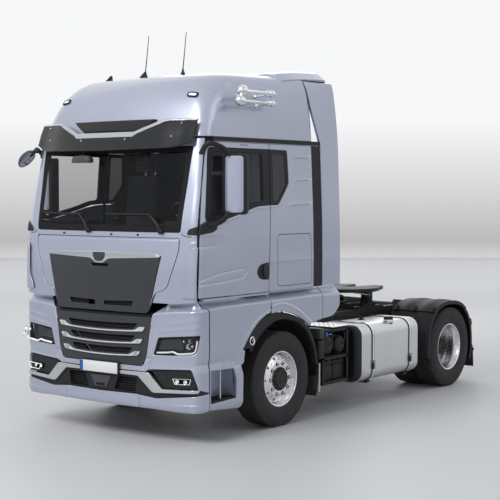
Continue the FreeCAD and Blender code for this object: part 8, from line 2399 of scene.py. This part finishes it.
def dashboard():
    solid = Solid("dashboardTop", "cab", ("dashboard",), sharp=0.6)
    # rolled top with a raised hood before the driver, lower face with panels
    rows = []
    for x in np.linspace(-1.10, 1.10, 67):
        hood = 0.070 * math.exp(-((x - 0.56) / 0.25) ** 6)
        knee = 0.05 * math.exp(-((x - 0.56) / 0.30) ** 4)
        end = 0.06 * (abs(x) / 1.10) ** 8
        front = -1.370 + 0.10 * (abs(x) / 1.1) ** 3
        rows.append([(x, front, 2.020 - end), (x, front + 0.10, 2.095 - end), (x, -1.10, 2.118 + hood * 0.3 - end),
                     (x, -0.96, 2.128 + hood - end), (x, -0.900, 2.122 + hood - end),
                     (x, -0.880 + knee * 0.2, 2.098 + hood * 0.9 - end), (x, -0.890 + knee * 0.3, 2.04),
                     (x, -0.865, 1.98), (x, -0.850 - knee, 1.86), (x, -0.875 - knee, 1.76), (x, -0.97 - knee, 1.70),
                     (x, -1.12, 1.62), (x, -1.30, 1.51), (x, -1.360, 1.51)])
    solid.add(*loft(rows, True, True), "cabinDark")
    # clocks under the hood, centre display, switches, vents, glove box, drawer
    for x, r in ((0.47, 0.060), (0.65, 0.060)):
        solid.add(*revolve([(-0.885, r + 0.006), (-0.872, r + 0.006), (-0.870, r), (-0.882, r - 0.003), (-0.882, 0.0)],
                           (x, 0, 2.105), "Y", 32), "chrome")
        solid.add(*revolve([(-0.880, r - 0.006), (-0.8795, 0.0)], (x, 0, 2.105), "Y", 28), "gloss")
    solid.add(*block((0.06, -0.885, 2.00), (0.30, -0.858, 2.12), 0.008), "plastic")
    solid.add(*block((0.075, -0.860, 2.012), (0.285, -0.855, 2.108), 0.003), "gloss")
    for i in range(6):
        solid.add(*block((0.075 + i * 0.036, -0.868, 1.955), (0.104 + i * 0.036, -0.852, 1.985), 0.004), "plastic")
    for x in (-0.95, -0.55, -0.12, 0.92):
        solid.add(*block((x - 0.075, -0.885, 2.040), (x + 0.075, -0.868, 2.095), 0.010), "plastic")
        # painted shade: near-black strips across each vent stand for the shade between its louvres
        for i in range(5):
            solid.add(*block((x - 0.065, -0.872, 2.047 + i * 0.0092), (x + 0.065, -0.864, 2.0505 + i * 0.0092), 0.0015),
                      "shadow")
    solid.add(*block((-0.92, -0.872, 1.80), (-0.34, -0.846, 1.98), 0.012), "cabin")
    solid.add(*block((-0.20, -0.868, 1.80), (0.24, -0.842, 1.94), 0.012), "cabin")
    solid.add(*block((-0.02, -0.842, 1.868), (0.06, -0.834, 1.884), 0.004), "chrome")
    # pedals
    for x, wide in ((0.42, 0.035), (0.60, 0.05)):
        solid.add(*block((x - wide, -1.10, 1.575), (x + wide, -1.075, 1.70), 0.008), "rubber")
        solid.add(*tube([(x, -1.10, 1.68), (x, -1.16, 1.80)], 0.009, 8), "steel")
    solid.make()
    # steering wheel: padded rim, three spokes, hub pad with keys, column with stalks
    wheel = Solid("steeringWheel", "cab", (), sharp=0.7)
    centre, tilt = Vector((0.56, -0.74, 2.26)), math.radians(35)
    axis = Vector((0, math.sin(tilt), math.cos(tilt)))
    right = Vector((1, 0, 0))
    up = axis.cross(right)
    ring = [centre + (right * math.cos(t) + up * math.sin(t)) * 0.212 for t in (math.tau * i / 60 for i in range(61))]
    wheel.add(*tube(ring, 0.015, 14, capped=False), "cabin")
    for angle in (0, 180, 270):
        a = math.radians(angle)
        d = right * math.cos(a) + up * math.sin(a)
        path = [centre + d * 0.05 - axis * 0.022, centre + d * 0.12 - axis * 0.016, centre + d * 0.206 - axis * 0.001]
        wheel.add(*tube(path, [0.030, 0.022, 0.016], 12, 0.4), "silver")
    pad = []
    for h, grow in ((-0.040, 0.75), (-0.020, 0.95), (0.002, 1.0), (0.012, 0.90), (0.017, 0.6), (0.018, 0.05)):
        corners = [squarish(turn, 0.6) for turn in angles(32)]
        pad.append([centre + axis * h + (right * 0.085 * c + up * 0.072 * s) * grow for c, s in corners])
    wheel.add(*loft(pad, True, True), "cabinDark")
    for i in range(4):
        spot = centre + right * (0.105 if i % 2 else -0.105) + up * (0.02 if i < 2 else -0.012) + axis * -0.004
        wheel.add(*tube([spot, spot + axis * 0.006], [0.011, 0.009], 10), "chrome")
    wheel.add(*tube([centre - axis * 0.03, centre - axis * 0.18, centre - axis * 0.36], [0.048, 0.056, 0.060], 20),
              "cabinDark")
    for k in (1, -1):
        root = centre - axis * 0.075
        wheel.add(*tube(curve([root + right * k * 0.04, root + right * k * 0.12 + up * 0.01,
                               root + right * k * 0.19 + up * 0.02], 5), [0.009] * 10 + [0.011], 10), "plastic")
    wheel.make()


seats()
bunk()
dashboard()
print("interior made")


# floor, light and camera
def studio():
    values = {"near": (0.60, 0.603, 0.612), "far": (0.93, 0.93, 0.935), "key": 900.0, "fill": 70.0, "back": 160.0,
              "world": 0.50}
    bpy.ops.mesh.primitive_plane_add(size=150.0)
    floor = bpy.context.object
    floor.name = "studioFloor"
    finish = Finish("studioFloor", Roughness=0.5)
    # painted light: the floor's colour grows lighter away from the camera, standing for the fall of the light across
    # it; a faint cloud of tone on top
    cloud = finish.noise(0.25, 2.0)
    x, y = finish.axis("X"), finish.axis("Y")
    away = ((y - x * 0.77 + 2.0) * 0.04 + cloud * 0.02).clamp()
    finish.set(Base_Color=finish.mix(away, values["near"], values["far"]))
    floor.data.materials.append(finish.material)
    # pale wall far behind, glowing, with a grey band of painted shade low down that fades upwards; seen by the camera
    # but not lit
    wall = bpy.data.meshes.new("studioWall")
    across, away = Vector((0.791, 0.612, 0)), Vector((-0.612, 0.791, 0))
    middle = away * 33.0
    wall.from_pydata([tuple(middle + across * a + Vector((0, 0, z))) for a, z in ((-70, -0.02), (70, -0.02), (70, 40),
            (-70, 40))], [], [(0, 1, 2, 3)])
    backdrop = bpy.data.objects.new("studioWall", wall)
    bpy.context.scene.collection.objects.link(backdrop)
    finish = Finish("studioWall", Roughness=1.0, Emission_Strength=1.0, Specular_IOR_Level=0.0)
    height = finish.axis("Z")
    grey = finish.mix((height * 1.6).clamp(), (0.66, 0.66, 0.67), (0.50, 0.495, 0.505))
    tone = finish.mix(((height - 0.7) * 0.22).clamp(), grey, (0.93, 0.935, 0.945))
    finish.set(Base_Color=finish.mix(height.clamp(), (0.0, 0.0, 0.0), (0.001, 0.001, 0.001)), Emission_Color=tone)
    wall.materials.append(finish.material)
    world = bpy.data.worlds.new("studioWorld")
    bpy.context.scene.world = world
    world.use_nodes = True
    tree = world.node_tree
    background = tree.nodes["Background"]
    background.inputs["Color"].default_value = (0.92, 0.95, 1.0, 1.0)
    background.inputs["Strength"].default_value = values["world"]
    seen = tree.nodes.new("ShaderNodeBackground")
    seen.inputs["Color"].default_value = (0.93, 0.935, 0.945, 1.0)
    seen.inputs["Strength"].default_value = 1.0
    path = tree.nodes.new("ShaderNodeLightPath")
    mixer = tree.nodes.new("ShaderNodeMixShader")
    total = Field(tree, path.outputs["Is Camera Ray"]) + Field(tree, path.outputs["Is Glossy Ray"]) * 0.55
    total = (total + Field(tree, path.outputs["Is Transmission Ray"])).clamp()
    tree.links.new(total.socket, mixer.inputs[0])
    tree.links.new(background.outputs[0], mixer.inputs[1])
    tree.links.new(seen.outputs[0], mixer.inputs[2])
    tree.links.new(mixer.outputs[0], tree.nodes["World Output"].inputs["Surface"])
    for name, spot, size, power in (("keyLamp", (0.5, -11.0, 9.5), 5.0, values["key"]),
                                    ("sideLamp", (10.0, 2.0, 9.0), 5.0, values["fill"]),
                                    ("backLamp", (-6.0, 9.0, 7.0), 6.0, values["back"])):
        data = bpy.data.lights.new(name, "AREA")
        data.size = size
        data.energy = power
        lamp = bpy.data.objects.new(name, data)
        lamp.location = spot
        lamp.rotation_euler = (Vector((0, 0, 1.6)) - Vector(spot)).to_track_quat("-Z", "Y").to_euler()
        bpy.context.scene.collection.objects.link(lamp)


def camera():
    data = bpy.data.cameras.new("photoCamera")
    data.lens = 90.26
    data.sensor_width = 36.0
    eye = bpy.data.objects.new("photoCamera", data)
    eye.location = (9.038, -12.076, 2.487)
    eye.rotation_euler = (math.radians(87.391), 0.0, math.radians(37.748))
    bpy.context.scene.collection.objects.link(eye)
    bpy.context.scene.camera = eye


def finishNodes():
    # nodes that keep their own shape get the finish of their slot
    chosen = {"rail_left": "steel", "rail_right": "steel", "cross_members": "steel", "engine_and_driveline": "cast",
              "front_axle": "cast", "rear_axle": "cast", "cab_mounts": "steel", "cab_floor": "cabinDark",
              "cab_rear_wall": "paint", "dashboard": "cabinDark", "knuckle_left": "cast", "knuckle_right": "cast",
              "fifth_wheel_base": "steel", "fifth_wheel_plate": "steel", "front_mudguards": "plastic",
              "rear_fenders": "plastic", "side_carrier": "plastic", "deck_plate": "tankAlloy"}
    plain = {"paint": "paint", "dark_panel": "panel", "black_plastic": "plastic", "glass": "glass", "chrome": "chrome",
             "alloy": "wheelAlloy", "tank_alloy": "tankAlloy", "tyre": "rubber", "steel": "steel", "cast": "cast",
             "cabin": "cabin", "lamp": "lampClear", "red_lens": "lampRed"}
    slots = {part["node"]: part["material_slot"] for part in frame["record"]["subparts"]}
    for name, node in frame["nodes"].items():
        finish = finishes[chosen.get(name, plain[slots[name]])]
        for spot in node.material_slots:
            spot.material = finish
        if not node.material_slots:
            node.data.materials.append(finish)


finishNodes()
studio()
camera()
print("stage and camera set")
bpy.context.scene.view_settings.view_transform = "Standard"
